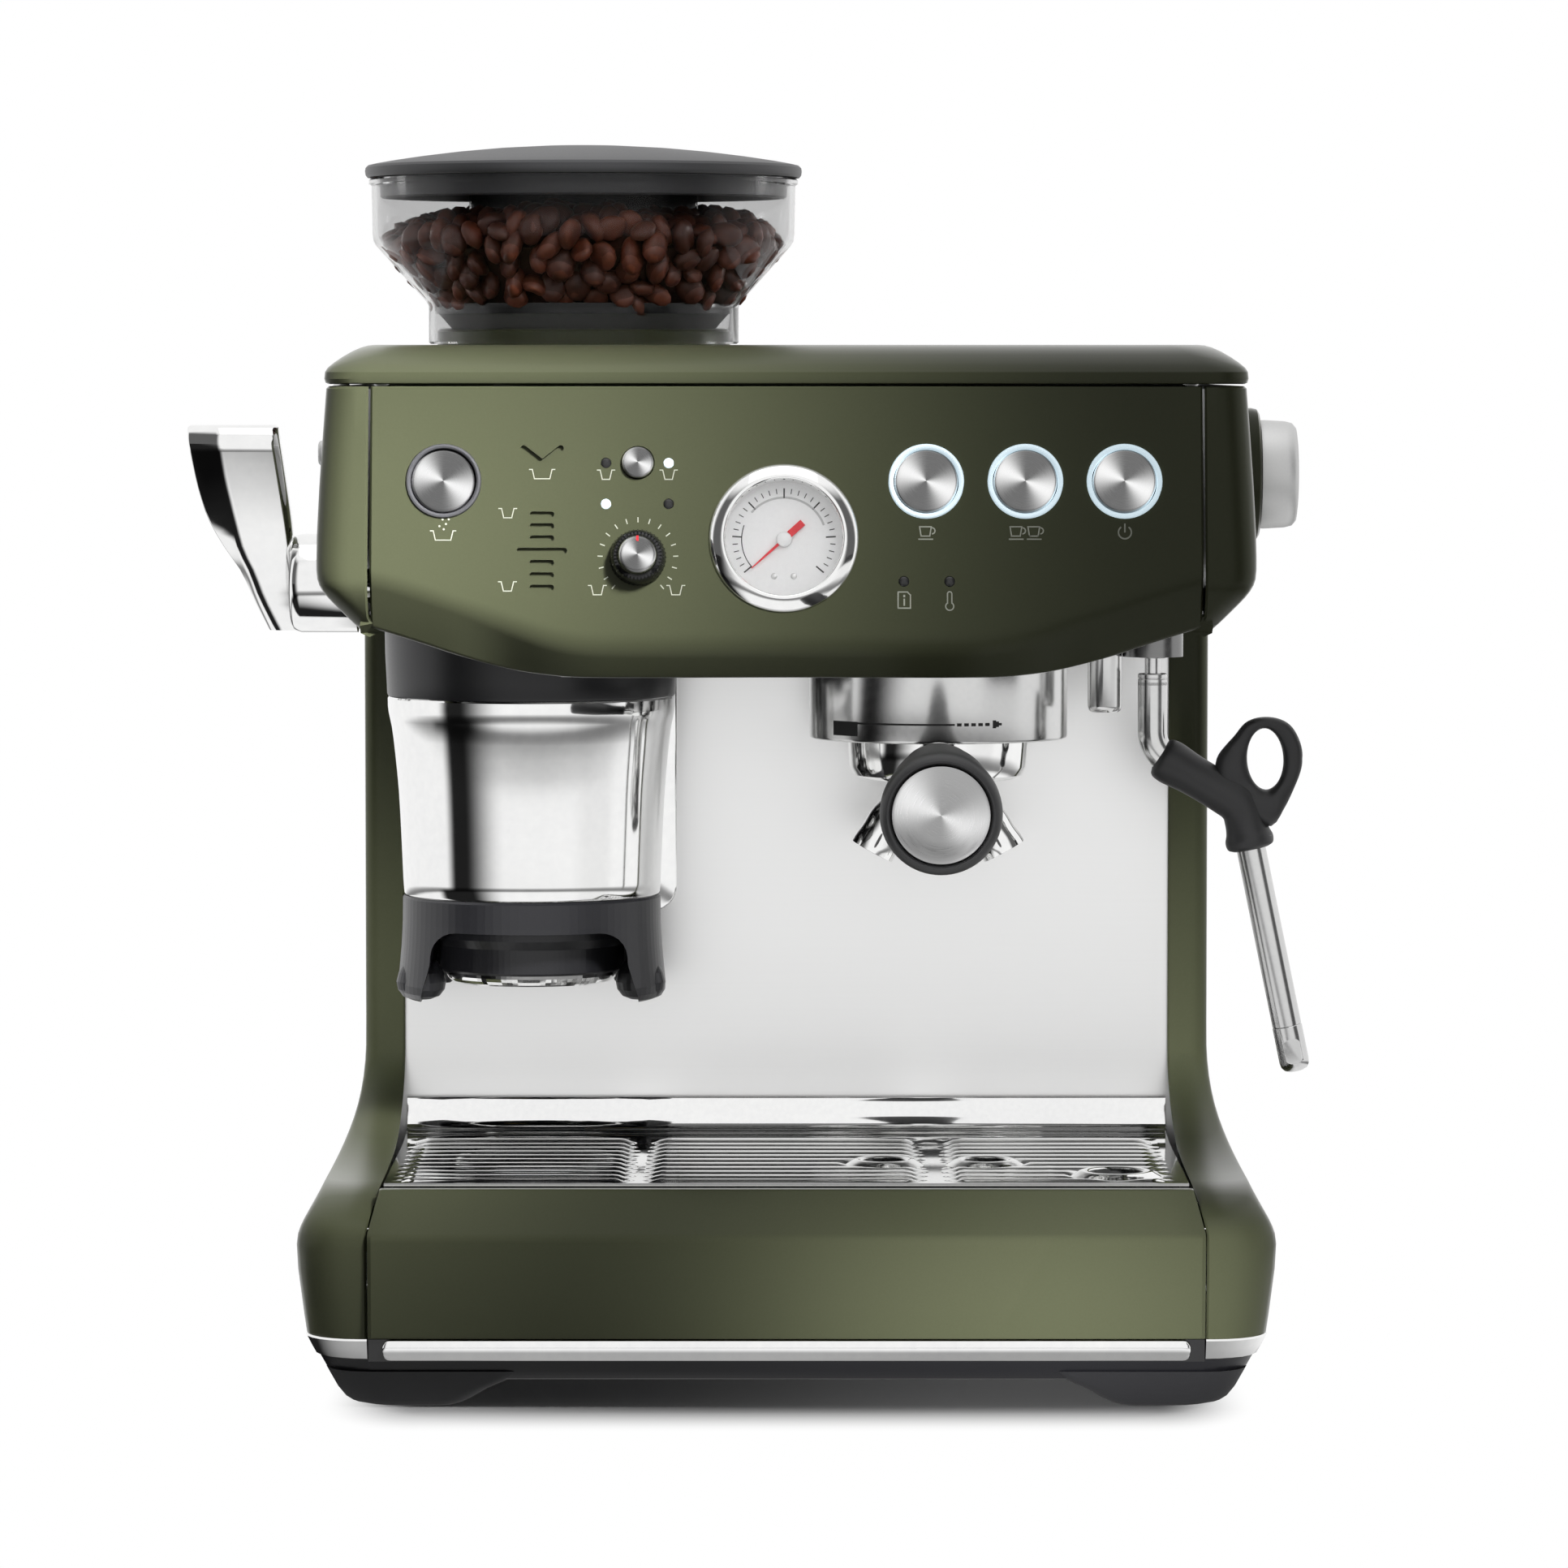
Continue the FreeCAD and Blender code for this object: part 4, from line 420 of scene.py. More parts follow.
class Wires:
    """Short ways to add nodes to a tree and to join them."""

    def __init__(self, tree):
        self.tree = tree

    def feed(self, target, value):
        if isinstance(value, bpy.types.NodeSocket):
            self.tree.links.new(value, target)
        else:
            target.default_value = value

    def add(self, kind, inputs=(), **settings):
        """A new node with its settings and inputs; gives its outputs."""
        node = self.tree.nodes.new(kind)
        for name, value in settings.items():
            setattr(node, name, value)
        for label, value in dict(inputs).items():
            self.feed(node.inputs[label], value)
        return node.outputs

    def maths(self, kind, *values):
        return self.add("ShaderNodeMath", enumerate(values), operation=kind)[0]

    def vector(self, kind, *values):
        outputs = self.add("ShaderNodeVectorMath", enumerate(values), operation=kind)
        return outputs["Value" if kind == "LENGTH" else "Vector"]

    def parts(self, value):
        return self.add("ShaderNodeSeparateXYZ", {0: value})

    def noise(self, vector, scale, detail=2):
        inputs = {"Vector": vector, "Scale": scale, "Detail": detail}
        return self.add("ShaderNodeTexNoise", inputs)["Fac"]

    def blend(self, factor, first, second):
        inputs = {"Factor": factor, 6: first, 7: second}
        return self.add("ShaderNodeMix", inputs, data_type="RGBA")[2]

    def ramp(self, value, start, end, low, high, kind="SMOOTHSTEP"):
        inputs = {"Value": value, "From Min": start, "From Max": end, "To Min": low, "To Max": high}
        return self.add("ShaderNodeMapRange", inputs, interpolation_type=kind)["Result"]

    def spread(self, value, low, high, start=0.3, end=0.7):
        return self.ramp(value, start, end, low, high, "LINEAR")

    def cloth(self, turn, turns, dark):
        """White, dark between the two middle turns, and white again."""
        start, full, fade, end = (math.radians(angle) for angle in turns)
        falling = self.ramp(turn, start, full, 1, dark)
        return self.maths("MAXIMUM", falling, self.ramp(turn, fade, end, dark, 1))

    def between(self, share, first, second):
        kept = self.maths("MULTIPLY", first, self.maths("SUBTRACT", 1, share))
        return self.maths("ADD", kept, self.maths("MULTIPLY", second, share))

    def studio(self, x, y, right_dark, near=None):
        """How light the studio is by the turn from straight ahead, with its dark cloths."""
        ahead = self.maths("MULTIPLY", y, -1)
        turn = self.maths("ARCTAN2", self.maths("ABSOLUTE", x), ahead)
        left = self.cloth(turn, LEFT_TURNS, CLOTH_DARK)
        if near:
            left = self.between(near, left, self.cloth(turn, NEAR_LEFT_TURNS, CLOTH_DARK))
        right = self.cloth(turn, RIGHT_TURNS, right_dark)
        return self.between(self.maths("GREATER_THAN", x, 0), left, right)


def new_group(name, kind, inputs, outputs):
    """A node group with named sockets: its wires, what it is given and what it gives."""
    tree = bpy.data.node_groups.new(name, kind)
    for way, sockets in (("INPUT", inputs), ("OUTPUT", outputs)):
        for label, sort in sockets:
            tree.interface.new_socket(name=label, in_out=way, socket_type="NodeSocket" + sort)
    wires = Wires(tree)
    return wires, wires.add("NodeGroupInput"), tree.nodes.new("NodeGroupOutput").inputs


def look_group(name, inputs):
    outputs = (("Colour", "Color"), ("Roughness", "Float"), ("Height", "Float"))
    tones = (("Light", "Color"), ("Dark", "Color"))
    return new_group(name, "ShaderNodeTree", (*inputs, *tones), outputs)


def give_look(wires, given, gives, share, rough, height):
    wires.feed(gives["Colour"], wires.blend(share, given["Dark"], given["Light"]))
    wires.feed(gives["Roughness"], rough)
    wires.feed(gives["Height"], height)
    return wires.tree


def surface_group(name, stretched):
    """Broad tone, fine grain or drawn lines, and gloss that changes with them."""
    labels = ("Tone size", "Grain size", "Least rough", "Most rough")
    inputs = [("Place", "Vector"), *((label, "Float") for label in labels)]
    if stretched:
        inputs.append(("Stretch", "Vector"))
    wires, given, gives = look_group(name, inputs)
    place = given["Place"]
    drawn = wires.vector("MULTIPLY", place, given["Stretch"]) if stretched else place
    broad = wires.noise(place, given["Tone size"])
    fine = wires.noise(drawn, given["Grain size"], 3)
    mixed = wires.maths("MULTIPLY_ADD", broad, 0.6, wires.maths("MULTIPLY", fine, 0.4))
    rough = wires.spread(mixed, given["Least rough"], given["Most rough"])
    return give_look(wires, given, gives, wires.spread(mixed, 0, 1), rough, fine)


def spun_group():
    """Turned metal: fine rings round the middle of the UV map, and soft bright wedges by angle that
    are a painted highlight, standing in for the sheen of turned metal.
    """
    wires, given, gives = look_group("spun_metal_painted_sheen", (("Map", "Vector"), ("Turn", "Float")))
    maths = wires.maths
    centre = wires.vector("SUBTRACT", given["Map"], (0.5, 0.5, 0))
    across = wires.parts(centre)
    angle = maths("ARCTAN2", across["Y"], across["X"])
    doubled = maths("ADD", maths("MULTIPLY", angle, 2), given["Turn"])
    # Painted highlight: bright and dark wedges by angle round the disc, in place of the sheen of
    # turned metal.
    painted_sheen_wedge = maths("POWER", maths("MULTIPLY_ADD", maths("COSINE", doubled), 0.5, 0.5), 2.2)
    along = {"X": wires.vector("LENGTH", centre), "Y": maths("MULTIPLY", angle, 0.02)}
    rings = wires.noise(wires.add("ShaderNodeCombineXYZ", along)[0], 90, 3)
    # The tone mixes the painted highlight wedges with the real rings of the turning.
    tone = maths("ADD", maths("MULTIPLY", painted_sheen_wedge, 0.9), maths("MULTIPLY", rings, 0.2))
    share = wires.spread(tone, 0, 1, 0.1, 1)
    return give_look(wires, given, gives, share, wires.spread(rings, 0.24, 0.4), rings)


GRAIN = surface_group("moulded_grain", False)
DRAWN = surface_group("drawn_lines", True)
SPUN = spun_group()


def colour_of(red, green, blue):
    """A colour as the photograph shows it, 0 to 255, in linear light."""
    parts = []
    for value in (red, green, blue):
        share = value / 255
        parts.append(share / 12.92 if share <= 0.04045 else ((share + 0.055) / 1.055) ** 2.4)
    return (*parts, 1)


def grey(value, shift=0):
    return colour_of(value, value, value + shift)


def even(value):
    return (value, value, value, 1)


def new_finish(name):
    finish = bpy.data.materials.new(name)
    finish.use_nodes = True
    return finish, Wires(finish.node_tree), finish.node_tree.nodes["Principled BSDF"]


def finish_by(group, name, values, bump, depth, shader):
    """A finish whose colour, gloss and relief come from a group."""
    finish, wires, bsdf = new_finish(name)
    if group is SPUN:
        values["Map"] = wires.add("ShaderNodeUVMap")["UV"]
    else:
        values["Place"] = wires.add("ShaderNodeTexCoord")["Object"]
    look = wires.add("ShaderNodeGroup", values, node_tree=group)
    shader = {"Base Color": look["Colour"], "Roughness": look["Roughness"], **shader}
    if bump:
        relief = {"Strength": bump, "Distance": depth, "Height": look["Height"]}
        shader["Normal"] = wires.add("ShaderNodeBump", relief)["Normal"]
    for label, value in shader.items():
        wires.feed(bsdf.inputs[label], value)
    return finish


def finish_of(
    name, light, dark, rough, grain=900, tone=12, bump=0.05, depth=0.0002, stretch=None, shader=None
):
    """A finish with broad tone, grain and gloss that change over the surface."""
    values = {"Light": light, "Dark": dark, "Tone size": tone, "Grain size": grain}
    values["Least rough"], values["Most rough"] = rough
    if stretch:
        values["Stretch"] = stretch
    return finish_by(DRAWN if stretch else GRAIN, name, values, bump, depth, shader or {})


def metal(name, shade, rough, grain, bump, **more):
    light = (shade, shade, shade * 0.99, 1)
    more["shader"] = {"Metallic": 1}
    return finish_of(name, light, even(shade * 0.9), rough, grain, bump=bump, **more)


def spun_finish(name, light, dark):
    # Turn sets where the painted highlight wedges fall; the span from light to dark is their
    # painted contrast.
    values = {"Light": even(light), "Dark": even(dark), "Turn": 0.9}
    return finish_by(SPUN, name, values, 0.08, 0.0001, {"Metallic": 1})


def clear(name, light, dark, rough, grain, bend):
    shader = {"IOR": bend, "Transmission Weight": 1}
    return finish_of(name, light, dark, rough, grain, bump=0, shader=shader)


def paint():
    """Satin paint that shines more where it turns away."""
    shader = {"Specular IOR Level": 0.12, "Coat Roughness": 0.3}
    tones = colour_of(76, 79, 60), colour_of(71, 74, 55)
    finish = finish_of("olive_paint", *tones, (0.31, 0.37), 1400, 6, 0.03, shader=shader)
    wires = Wires(finish.node_tree)
    turned_away = wires.add("ShaderNodeLayerWeight")["Facing"]
    coat = finish.node_tree.nodes["Principled BSDF"].inputs["Coat Weight"]
    wires.feed(coat, wires.spread(turned_away, 0, 1, 0.68, 0.93))
    return finish


def roasted():
    """Roasted beans, each with its own tone, and a core under them in the darkest tone as painted
    shade between the beans.
    """
    tones = colour_of(126, 66, 44), colour_of(90, 45, 31)
    finish = finish_of("roasted_bean", *tones, (0.34, 0.5), 500, 60, 0.2)
    wires = Wires(finish.node_tree)
    tone = wires.add("ShaderNodeAttribute", attribute_name="bean_tone")["Fac"]
    base = finish.node_tree.nodes["Principled BSDF"].inputs["Base Color"]
    # This dark colour is the darkest bean tone, which the core under the beans takes in full as
    # painted shade.
    wires.feed(base, wires.blend(tone, base.links[0].from_socket, colour_of(58, 30, 23)))
    return finish


ALONG_X = (0.06, 1, 4)
PAINT = paint()
BEAN = roasted()
CHROME = metal("bright_chrome", 0.93, (0.05, 0.09), 300, 0)
POLISHED = metal("polished_steel", 0.80, (0.12, 0.2), 400, 0.02)
BRUSHED = metal("brushed_steel", 0.78, (0.20, 0.30), 300, 0.04, depth=0.0001, stretch=ALONG_X)
SPLASH_STEEL = finish_of(
    "splash_steel", (0.97, 0.97, 0.965, 1), (0.945, 0.945, 0.94, 1), (0.30, 0.33), 300,
    bump=0.004, depth=0.0001, stretch=ALONG_X, shader={"Metallic": 1},
)
# Painted shade: steel for the underside of the head, far darker than steel, standing in for the
# shade under the head.
UNDERSIDE_SHADE_STEEL = metal("underside_steel_painted_shade", 0.22, (0.16, 0.26), 500, 0.02)
KNOB_ALLOY = metal("knob_alloy", 0.67, (0.46, 0.56), 1200, 0.05)
GRILLE_STEEL = metal("pressed_steel", 0.93, (0.04, 0.07), 500, 0)
TURNED = metal("turned_alloy", 0.68, (0.13, 0.19), 500, 0.02)
SATIN_ALLOY = metal("satin_alloy", 0.72, (0.3, 0.42), 900, 0.04)
IRON = metal("dark_iron", 0.35, (0.4, 0.55), 700, 0.08)
BRASS = finish_of(
    "gear_brass", (0.72, 0.52, 0.22, 1), (0.6, 0.42, 0.16, 1), (0.28, 0.4), shader={"Metallic": 1}
)
# Spun finishes: their bright wedges are painted highlight.
SPUN_STEEL = spun_finish("spun_steel", 1, 0.17)
SPUN_CAP = spun_finish("spun_cap_steel", 0.95, 0.40)
BLACK = finish_of("black_plastic", grey(46, 1), grey(38, 1), (0.38, 0.5), 1600, bump=0.10)
GLOSS_BLACK = finish_of("gloss_black", grey(26, 1), grey(20, 1), (0.12, 0.2), bump=0.02)
COLLAR_BLACK = finish_of("collar_black", grey(35, 3), grey(29, 3), (0.28, 0.38), 1600, bump=0.06)
PAN_BLACK = finish_of("pan_black", grey(26, 3), grey(20, 3), (0.3, 0.42), 1500, bump=0.08)
RUBBER = finish_of("foot_rubber", grey(40, 2), grey(30, 2), (0.55, 0.7), 1100, bump=0.12)
LID_GREY = finish_of("lid_grey", grey(66, 2), grey(58, 2), (0.40, 0.5), 1500, bump=0.06)
GREY_PLASTIC = finish_of("grey_plastic", grey(120), grey(104), (0.5, 0.62), 1200, bump=0.08)
BOARD = finish_of("board_green", colour_of(34, 92, 60), colour_of(26, 76, 48), (0.4, 0.5), 700)
DIAL_WHITE = finish_of("dial_white", grey(240), grey(232), (0.45, 0.55), bump=0.02)
DIAL_INK = finish_of("dial_ink", grey(70), grey(56), (0.5, 0.6), bump=0.02)
DIAL_BAND = finish_of("dial_band", grey(196), grey(184), (0.45, 0.55), bump=0.02)
NEEDLE_RED = finish_of(
    "needle_red", colour_of(214, 52, 60), colour_of(196, 40, 48), (0.4, 0.5), bump=0.02
)
PRINT = finish_of(
    "pale_print", colour_of(184, 186, 173), colour_of(172, 175, 162), (0.5, 0.6), bump=0.02
)
BLACK_PRINT = finish_of("black_print", grey(26), grey(18), (0.5, 0.6), bump=0.02)
LAMP_OFF = finish_of("lamp_off", grey(34), grey(26), (0.2, 0.3), bump=0.02)
RING_GREY = finish_of("ring_grey", grey(86, 3), grey(70, 3), (0.25, 0.35), bump=0.02)
LAMP_LIT = finish_of(
    "lamp_lit", (0.80, 0.88, 0.92, 1), (0.74, 0.84, 0.90, 1), (0.3, 0.4), bump=0.02,
    shader={"Emission Color": (0.72, 0.90, 1, 1), "Emission Strength": 0.62},
)
SMOKY = clear("smoky_clear", even(0.70), even(0.66), (0.02, 0.05), 200, 1.16)
TANK_CLEAR = clear(
    "tank_clear", (0.86, 0.88, 0.89, 1), (0.82, 0.84, 0.85, 1), (0.08, 0.14), 300, 1.47
)
LENS = clear("gauge_lens", even(0.98), even(0.96), (0.01, 0.03), 200, 1.1)


# Repeating shapes, by geometry nodes


def repeat_group(name, inputs):
    sockets = (("Geometry", "Geometry"), ("Item", "Object"), *inputs, ("Finish", "Material"))
    return new_group(name, "GeometryNodeTree", sockets, [("Geometry", "Geometry")])


def items_at(wires, given, points, **more):
    item = wires.add("GeometryNodeObjectInfo", {"Object": given["Item"]})["Geometry"]
    inputs = {"Points": points, "Instance": item, **more}
    return wires.add("GeometryNodeInstanceOnPoints", inputs)["Instances"]


def give_items(wires, given, gives, instances):
    real = wires.add("GeometryNodeRealizeInstances", {"Geometry": instances})["Geometry"]
    inputs = {"Geometry": real, "Material": given["Finish"]}
    wires.feed(gives["Geometry"], wires.add("GeometryNodeSetMaterial", inputs)["Geometry"])
    return wires.tree


def ring_tree():
    """An item repeated round a circle, turned to face outwards."""
    sizes = [(label, "Float") for label in ("Radius", "First angle", "Step angle")]
    wires, given, gives = repeat_group("repeat_in_ring", [("Count", "Int"), *sizes])
    number = wires.add("GeometryNodeInputIndex")[0]
    turn = wires.maths("MULTIPLY_ADD", number, given["Step angle"], given["First angle"])
    spot = {}
    for axis, kind in (("X", "COSINE"), ("Y", "SINE")):
        spot[axis] = wires.maths("MULTIPLY", wires.maths(kind, turn), given["Radius"])
    line = wires.add("GeometryNodeMeshLine", {"Count": given["Count"]})["Mesh"]
    moved = {"Geometry": line, "Position": wires.add("ShaderNodeCombineXYZ", spot)[0]}
    points = wires.add("GeometryNodeSetPosition", moved)["Geometry"]
    facing = wires.add("ShaderNodeCombineXYZ", {"Z": turn})[0]
    return give_items(wires, given, gives, items_at(wires, given, points, Rotation=facing))


def line_tree():
    """An item repeated along a line."""
    wires, given, gives = repeat_group("repeat_in_line", [("Count", "Int"), ("Step", "Vector")])
    inputs = {"Count": given["Count"], "Offset": given["Step"]}
    points = wires.add("GeometryNodeMeshLine", inputs, mode="OFFSET")["Mesh"]
    return give_items(wires, given, gives, items_at(wires, given, points))


def heap_tree():
    """Beans strewn over a heap's skin, each turned and toned by chance."""
    wires, given, gives = repeat_group("bean_heap", [("Spacing", "Float"), ("Seed", "Int")])
    chance = "FunctionNodeRandomValue"
    seed = given["Seed"]
    skin = {"Mesh": given["Geometry"], "Distance Min": given["Spacing"], "Seed": seed}
    skin["Density Max"] = 60000
    strewn = "GeometryNodeDistributePointsOnFaces"
    points = wires.add(strewn, skin, distribute_method="POISSON")["Points"]
    turns = {"Min": (-3.1, -3.1, -3.1), "Max": (3.1, 3.1, 3.1), "Seed": seed}
    turn = wires.add(chance, turns, data_type="FLOAT_VECTOR")[0]
    size = wires.add(chance, {2: 0.85, 3: 1.12, "Seed": seed})[1]
    heap = items_at(wires, given, points, Rotation=turn, Scale=size)
    tone = wires.add(chance, {2: 0, 3: 0.75, "Seed": 11})[1]
    inputs = {"Geometry": heap, "Name": "bean_tone", "Value": tone}
    kinds = {"data_type": "FLOAT", "domain": "INSTANCE"}
    toned = wires.add("GeometryNodeStoreNamedAttribute", inputs, **kinds)["Geometry"]
    return give_items(wires, given, gives, toned)


REPEAT_IN_RING = ring_tree()
REPEAT_IN_LINE = line_tree()
BEAN_HEAP = heap_tree()


def grown(tree, values, skin=None):
    """Runs a tree and gives its result as a plain mesh, in metres about the origin."""
    thing = placed("grown", skin or bpy.data.meshes.new("grown"))
    nodes = thing.modifiers.new("grow", "NODES")
    nodes.node_group = tree
    for item in tree.interface.items_tree:
        if item.in_out == "INPUT" and item.name in values:
            nodes[item.identifier] = values[item.name]
    settle(thing)
    result = thing.data
    bpy.data.objects.remove(thing)
    bpy.data.objects.remove(values["Item"])
    return result


def item_of(mesh):
    """A small shape in millimetres, as the item that a tree repeats."""
    bmesh.ops.recalc_face_normals(mesh, faces=mesh.faces)
    mesh.transform(Matrix.Scale(0.001, 4))
    return placed("item", data_of("item", mesh))


def ring_of(mesh, count, radius, first, step, finish):
    """Copies of a shape round a circle, as a mesh in millimetres."""
    values = {"Item": item_of(mesh), "Count": count, "Finish": finish, "Radius": radius * 0.001}
    values["First angle"], values["Step angle"] = math.radians(first), math.radians(step)
    return mesh_of(grown(REPEAT_IN_RING, values), Matrix.Scale(1000, 4))


def line_of(mesh, count, step, finish):
    """Copies of a shape along a line, as a mesh in millimetres."""
    values = {"Item": item_of(mesh), "Count": count, "Finish": finish}
    values["Step"] = [part * 0.001 for part in step]
    return mesh_of(grown(REPEAT_IN_LINE, values), Matrix.Scale(1000, 4))


def disc_map(mesh, radius):
    """A UV map that lies flat on a turned piece about its own axis."""
    layer = mesh.loops.layers.uv.verify()
    for face in mesh.faces:
        for corner in face.loops:
            spot = corner.vert.co
            corner[layer].uv = (0.5 + 0.5 * spot.x / radius, 0.5 + 0.5 * spot.y / radius)
    return mesh


# Base: pan, feet, bright trim

PAN_ROWS = ((9.5, 147, -136), (10, 148.5, -137.5), (13, 151, -139.6), (16.9, 153, -141))
FOOT_ROWS = (
    (12.5, 150.6, 84.5, 140, 92), (9.9, 149.3, 89, 139, 94), (5.9, 147.4, 97.5, 136.6, 97),
    (2.4, 145, 103, 134, 99.5), (0.7, 142.8, 106.2, 132.2, 101), (0, 140.2, 108, 130.5, 102.5),
)
TRIM_ROWS = (
    (16.7, 153.2, -142), (17.4, 154.2, -143.2), (20.5, 155.7, -144.9), (23.4, 157, -146.3),
    (24, 156.6, -145.9),
)


def plan(height, half, front, back, corner):
    return level(block(-half, half, front, back, (corner, corner, 12, 12)), height)


def frame_inlet():
    """Where the lead goes in, in machine millimetres."""
    for mount in frame["record"].get("mounts", []):
        if mount.get("name") == "cord_inlet":
            return Vector(mount["pos_m"]) * 1000 - SHIFT
    return Vector((100, BACK, 14))


def base():
    pan = loft([plan(*row, BACK - 3, 16) for row in PAN_ROWS])
    inlet = frame_inlet()
    place = upright(inlet.x, BACK, inlet.z) @ Matrix.Rotation(-QUARTER, 4, "X")
    gland = [(2.5, -13), (5.6, -13), (5.6, -1.6), (4.4, -0.4), (3.4, 0), (2.5, 0)]
    lathe(gland, 24, place, closed=True, mesh=pan)
    show("base_pan_shell", pan, [PAN_BLACK], "housing", ["base_pan"], "black")

    feet = bmesh.new()
    for side in (-1, 1):
        for front in (True, False):
            rings = []
            for height, outer, inner, ahead, behind in FOOT_ROWS:
                ends = (-ahead, -behind) if front else (behind - 2, ahead - 8)
                outline = block(inner, outer, *ends, (7, 14, 9, 7), 5)
                rings.append([Vector((p.x * side, p.y, height)) for p in outline])
            loft(rings, mesh=feet)
    show("foot_pads", feet, [RUBBER], "housing", ["rubber_feet"], "rubber")

    outer = [plan(*row, BACK - 0.2, 18) for row in TRIM_ROWS]
    inner = [plan(z, half - 7, front + 7, BACK - 7, 12) for z, half, front in TRIM_ROWS[::-1]]
    ring = shape_object("base_trim_band", mended(loft(outer + inner, around=True)))
    carve(ring, brick((-TRAY_HALF - 0.4, TRAY_HALF + 0.4), (-170, -100), (10, 30)))
    dress(ring, [CHROME], "housing", ["base_trim"], "chrome")


# Side panels

CHEEK_WIDTHS = (
    (24, 157), (37, 158.7), (50, 160), (56, 159.6), (60, 158.2), (63.5, 156.3), (66.6, 154.5),
    (70.8, 152.4), (76.2, 150.2), (83, 148.2), (90, 147), (98, 146.3), (107.8, 146), (262, 146),
)
CHEEK_INSIDES = ((24, 136.3), (55, 136.3), (59, 136.2), (71.7, 133.1), (76, 132.2), (262, 132.2))
CHEEK_CORNERS = ((24, 18), (56, 17), (64, 13), (75, 8.5), (100, 6), (262, 6))
HEAD_WIDTHS = (
    (253.6, 139), (255.5, 141), (260, 145.4), (264, 149.2), (267, 151.4), (270, 152.6),
    (275, 153), (290, 152.7), (310, 151.6), (332.6, 150.1),
)
HEAD_CORNERS = ((253.6, 5), (270, 11), (332.6, 11))
HEAD_LEVELS = (
    253.6, 255.5, 257.5, 260, 262, 264, 266, 268, 270, 273, 277, 284, 300, 316, 331.8, 332.6,
)
HEAD_INSIDE = FACE_HALF + FACE_GAP
SHELF_FRONT = -104
BASE_FRONT = -146.5
CHEEK_BEND = 56.6
SHELF_TOP = 70.6
SWOOP_TOP = 103.6
COLUMN_FRONT = 10
PANEL_WALL = 2.4


def swoop_fronts():
    """(height, front) of the cheek, its shelf, its swoop and the column."""
    starts = ((24, 2.6), (30, 1.8), (45, 0.4), (53, 0))
    path = [(height, BASE_FRONT + setback) for height, setback in starts]
    for angle in map(math.radians, range(90, 0, -10)):
        height = CHEEK_BEND + (SHELF_TOP - CHEEK_BEND) * math.cos(angle)
        path.append((height, SHELF_FRONT + (BASE_FRONT - SHELF_FRONT) * math.sin(angle)))
    reach = COLUMN_FRONT - SHELF_FRONT
    for angle in map(math.radians, (90, 82, 74, 66, 58, 50, 42, 34, 26, 18, 9, 0)):
        height = SWOOP_TOP - (SWOOP_TOP - SHELF_TOP) * math.sin(angle)
        path.append((height, COLUMN_FRONT - reach * (1 - math.cos(angle))))
    return path + [(height, COLUMN_FRONT) for height in (112, 170, 262)]


def side_outline(inner, outer, front, corner, height):
    back = BACK - 0.3
    corners = [(inner + 0.7, front, 0), (outer, front, corner), (outer, back, 6), (inner, back, 0)]
    return level([Vector((inner, front + 0.9))] + rounded(corners, 7, False), height)


def side_skin(side):
    rings = []
    for height, front in swoop_fronts():
        inner, outer = eased(CHEEK_INSIDES, height), eased(CHEEK_WIDTHS, height)
        rings.append(side_outline(inner, outer, front, eased(CHEEK_CORNERS, height), height))
    skin = loft(rings, closed=False)
    rings = []
    for height in HEAD_LEVELS:
        rim = 0.7 if height > 332 else 0
        outer = eased(HEAD_WIDTHS, height) - rim
        front = face_y(height) + max(0, 269 - height) ** 1.5 / 4.4 + rim
        corner = eased(HEAD_CORNERS, height)
        rings.append(side_outline(HEAD_INSIDE, outer, front, corner, height))
    rings.insert(0, [p + (Vector((HEAD_INSIDE, p.y, p.z)) - p) * 0.98 for p in rings[0]])
    loft(rings, closed=False, mesh=skin)
    if side < 0:
        skin.transform(Matrix.Scale(-1, 4, (1, 0, 0)))
        bmesh.ops.reverse_faces(skin, faces=skin.faces)
    return skin


def side_panels():
    left = shape_object("left_panel_skin", side_skin(-1))
    thicken(left, PANEL_WALL)
    carve(left, lathe(band(0, 17.6, -20, 20), 48, side_at(*LEVER_PIVOT, -1)))
    dress(left, [PAINT], "housing", ["left_side_panel"], "paint")

    right = shape_object("right_panel_skin", side_skin(1))
    thicken(right, PANEL_WALL)
    boss = [
        (0, -9), (22.4, -9), (22.4, 4.6), (22, 6.4), (20.8, 7.2), (19, 7.2), (18.6, 6.6), (0, 6.6),
    ]
    ring = shape_object("steam_boss", mended(lathe(boss, 64, side_at(152, *STEAM_DIAL, 1))))
    whole = bmesh.new()
    for thing in (right, ring):
        whole.from_mesh(thing.data)
    right.data = data_of("right_panel", whole)
    bpy.data.objects.remove(ring)
    dress(right, [PAINT], "housing", ["right_side_panel"], "paint")


# Head: fascia, cover, cup tray and the lid of the tank

CREASE_LINE = (
    (0, 248.6), (60, 248.6), (70.6, 249.6), (81, 252.2), (94, 257), (107, 262), (123, 267.4),
    (136, 271.2),
)
LIP_LINE = (
    (0, 237.9), (66, 237.9), (76, 238.5), (87, 239.9), (97, 242.2), (108, 245.3), (118, 248.6),
    (136, 254.2),
)
BUTTON_ROW = 53.3
BUTTONS = (("dose", -111.2), ("one_cup", 45.3), ("two_cup", 77.45), ("power", 109.6))
FILTER_SPOT = (-48.2, 59.3)
DOSE_SPOT = (-48.1, 28.6)
GAUGE_SPOT = (-0.8, 35)
LAMPS = (
    (-58.5, 59.2, 0), (-38.2, 59.2, 1), (-58.5, 46, 1), (-38.2, 46, 0), (38, 21, 0), (52.8, 21, 0),
)
SLOT_X = -79.2
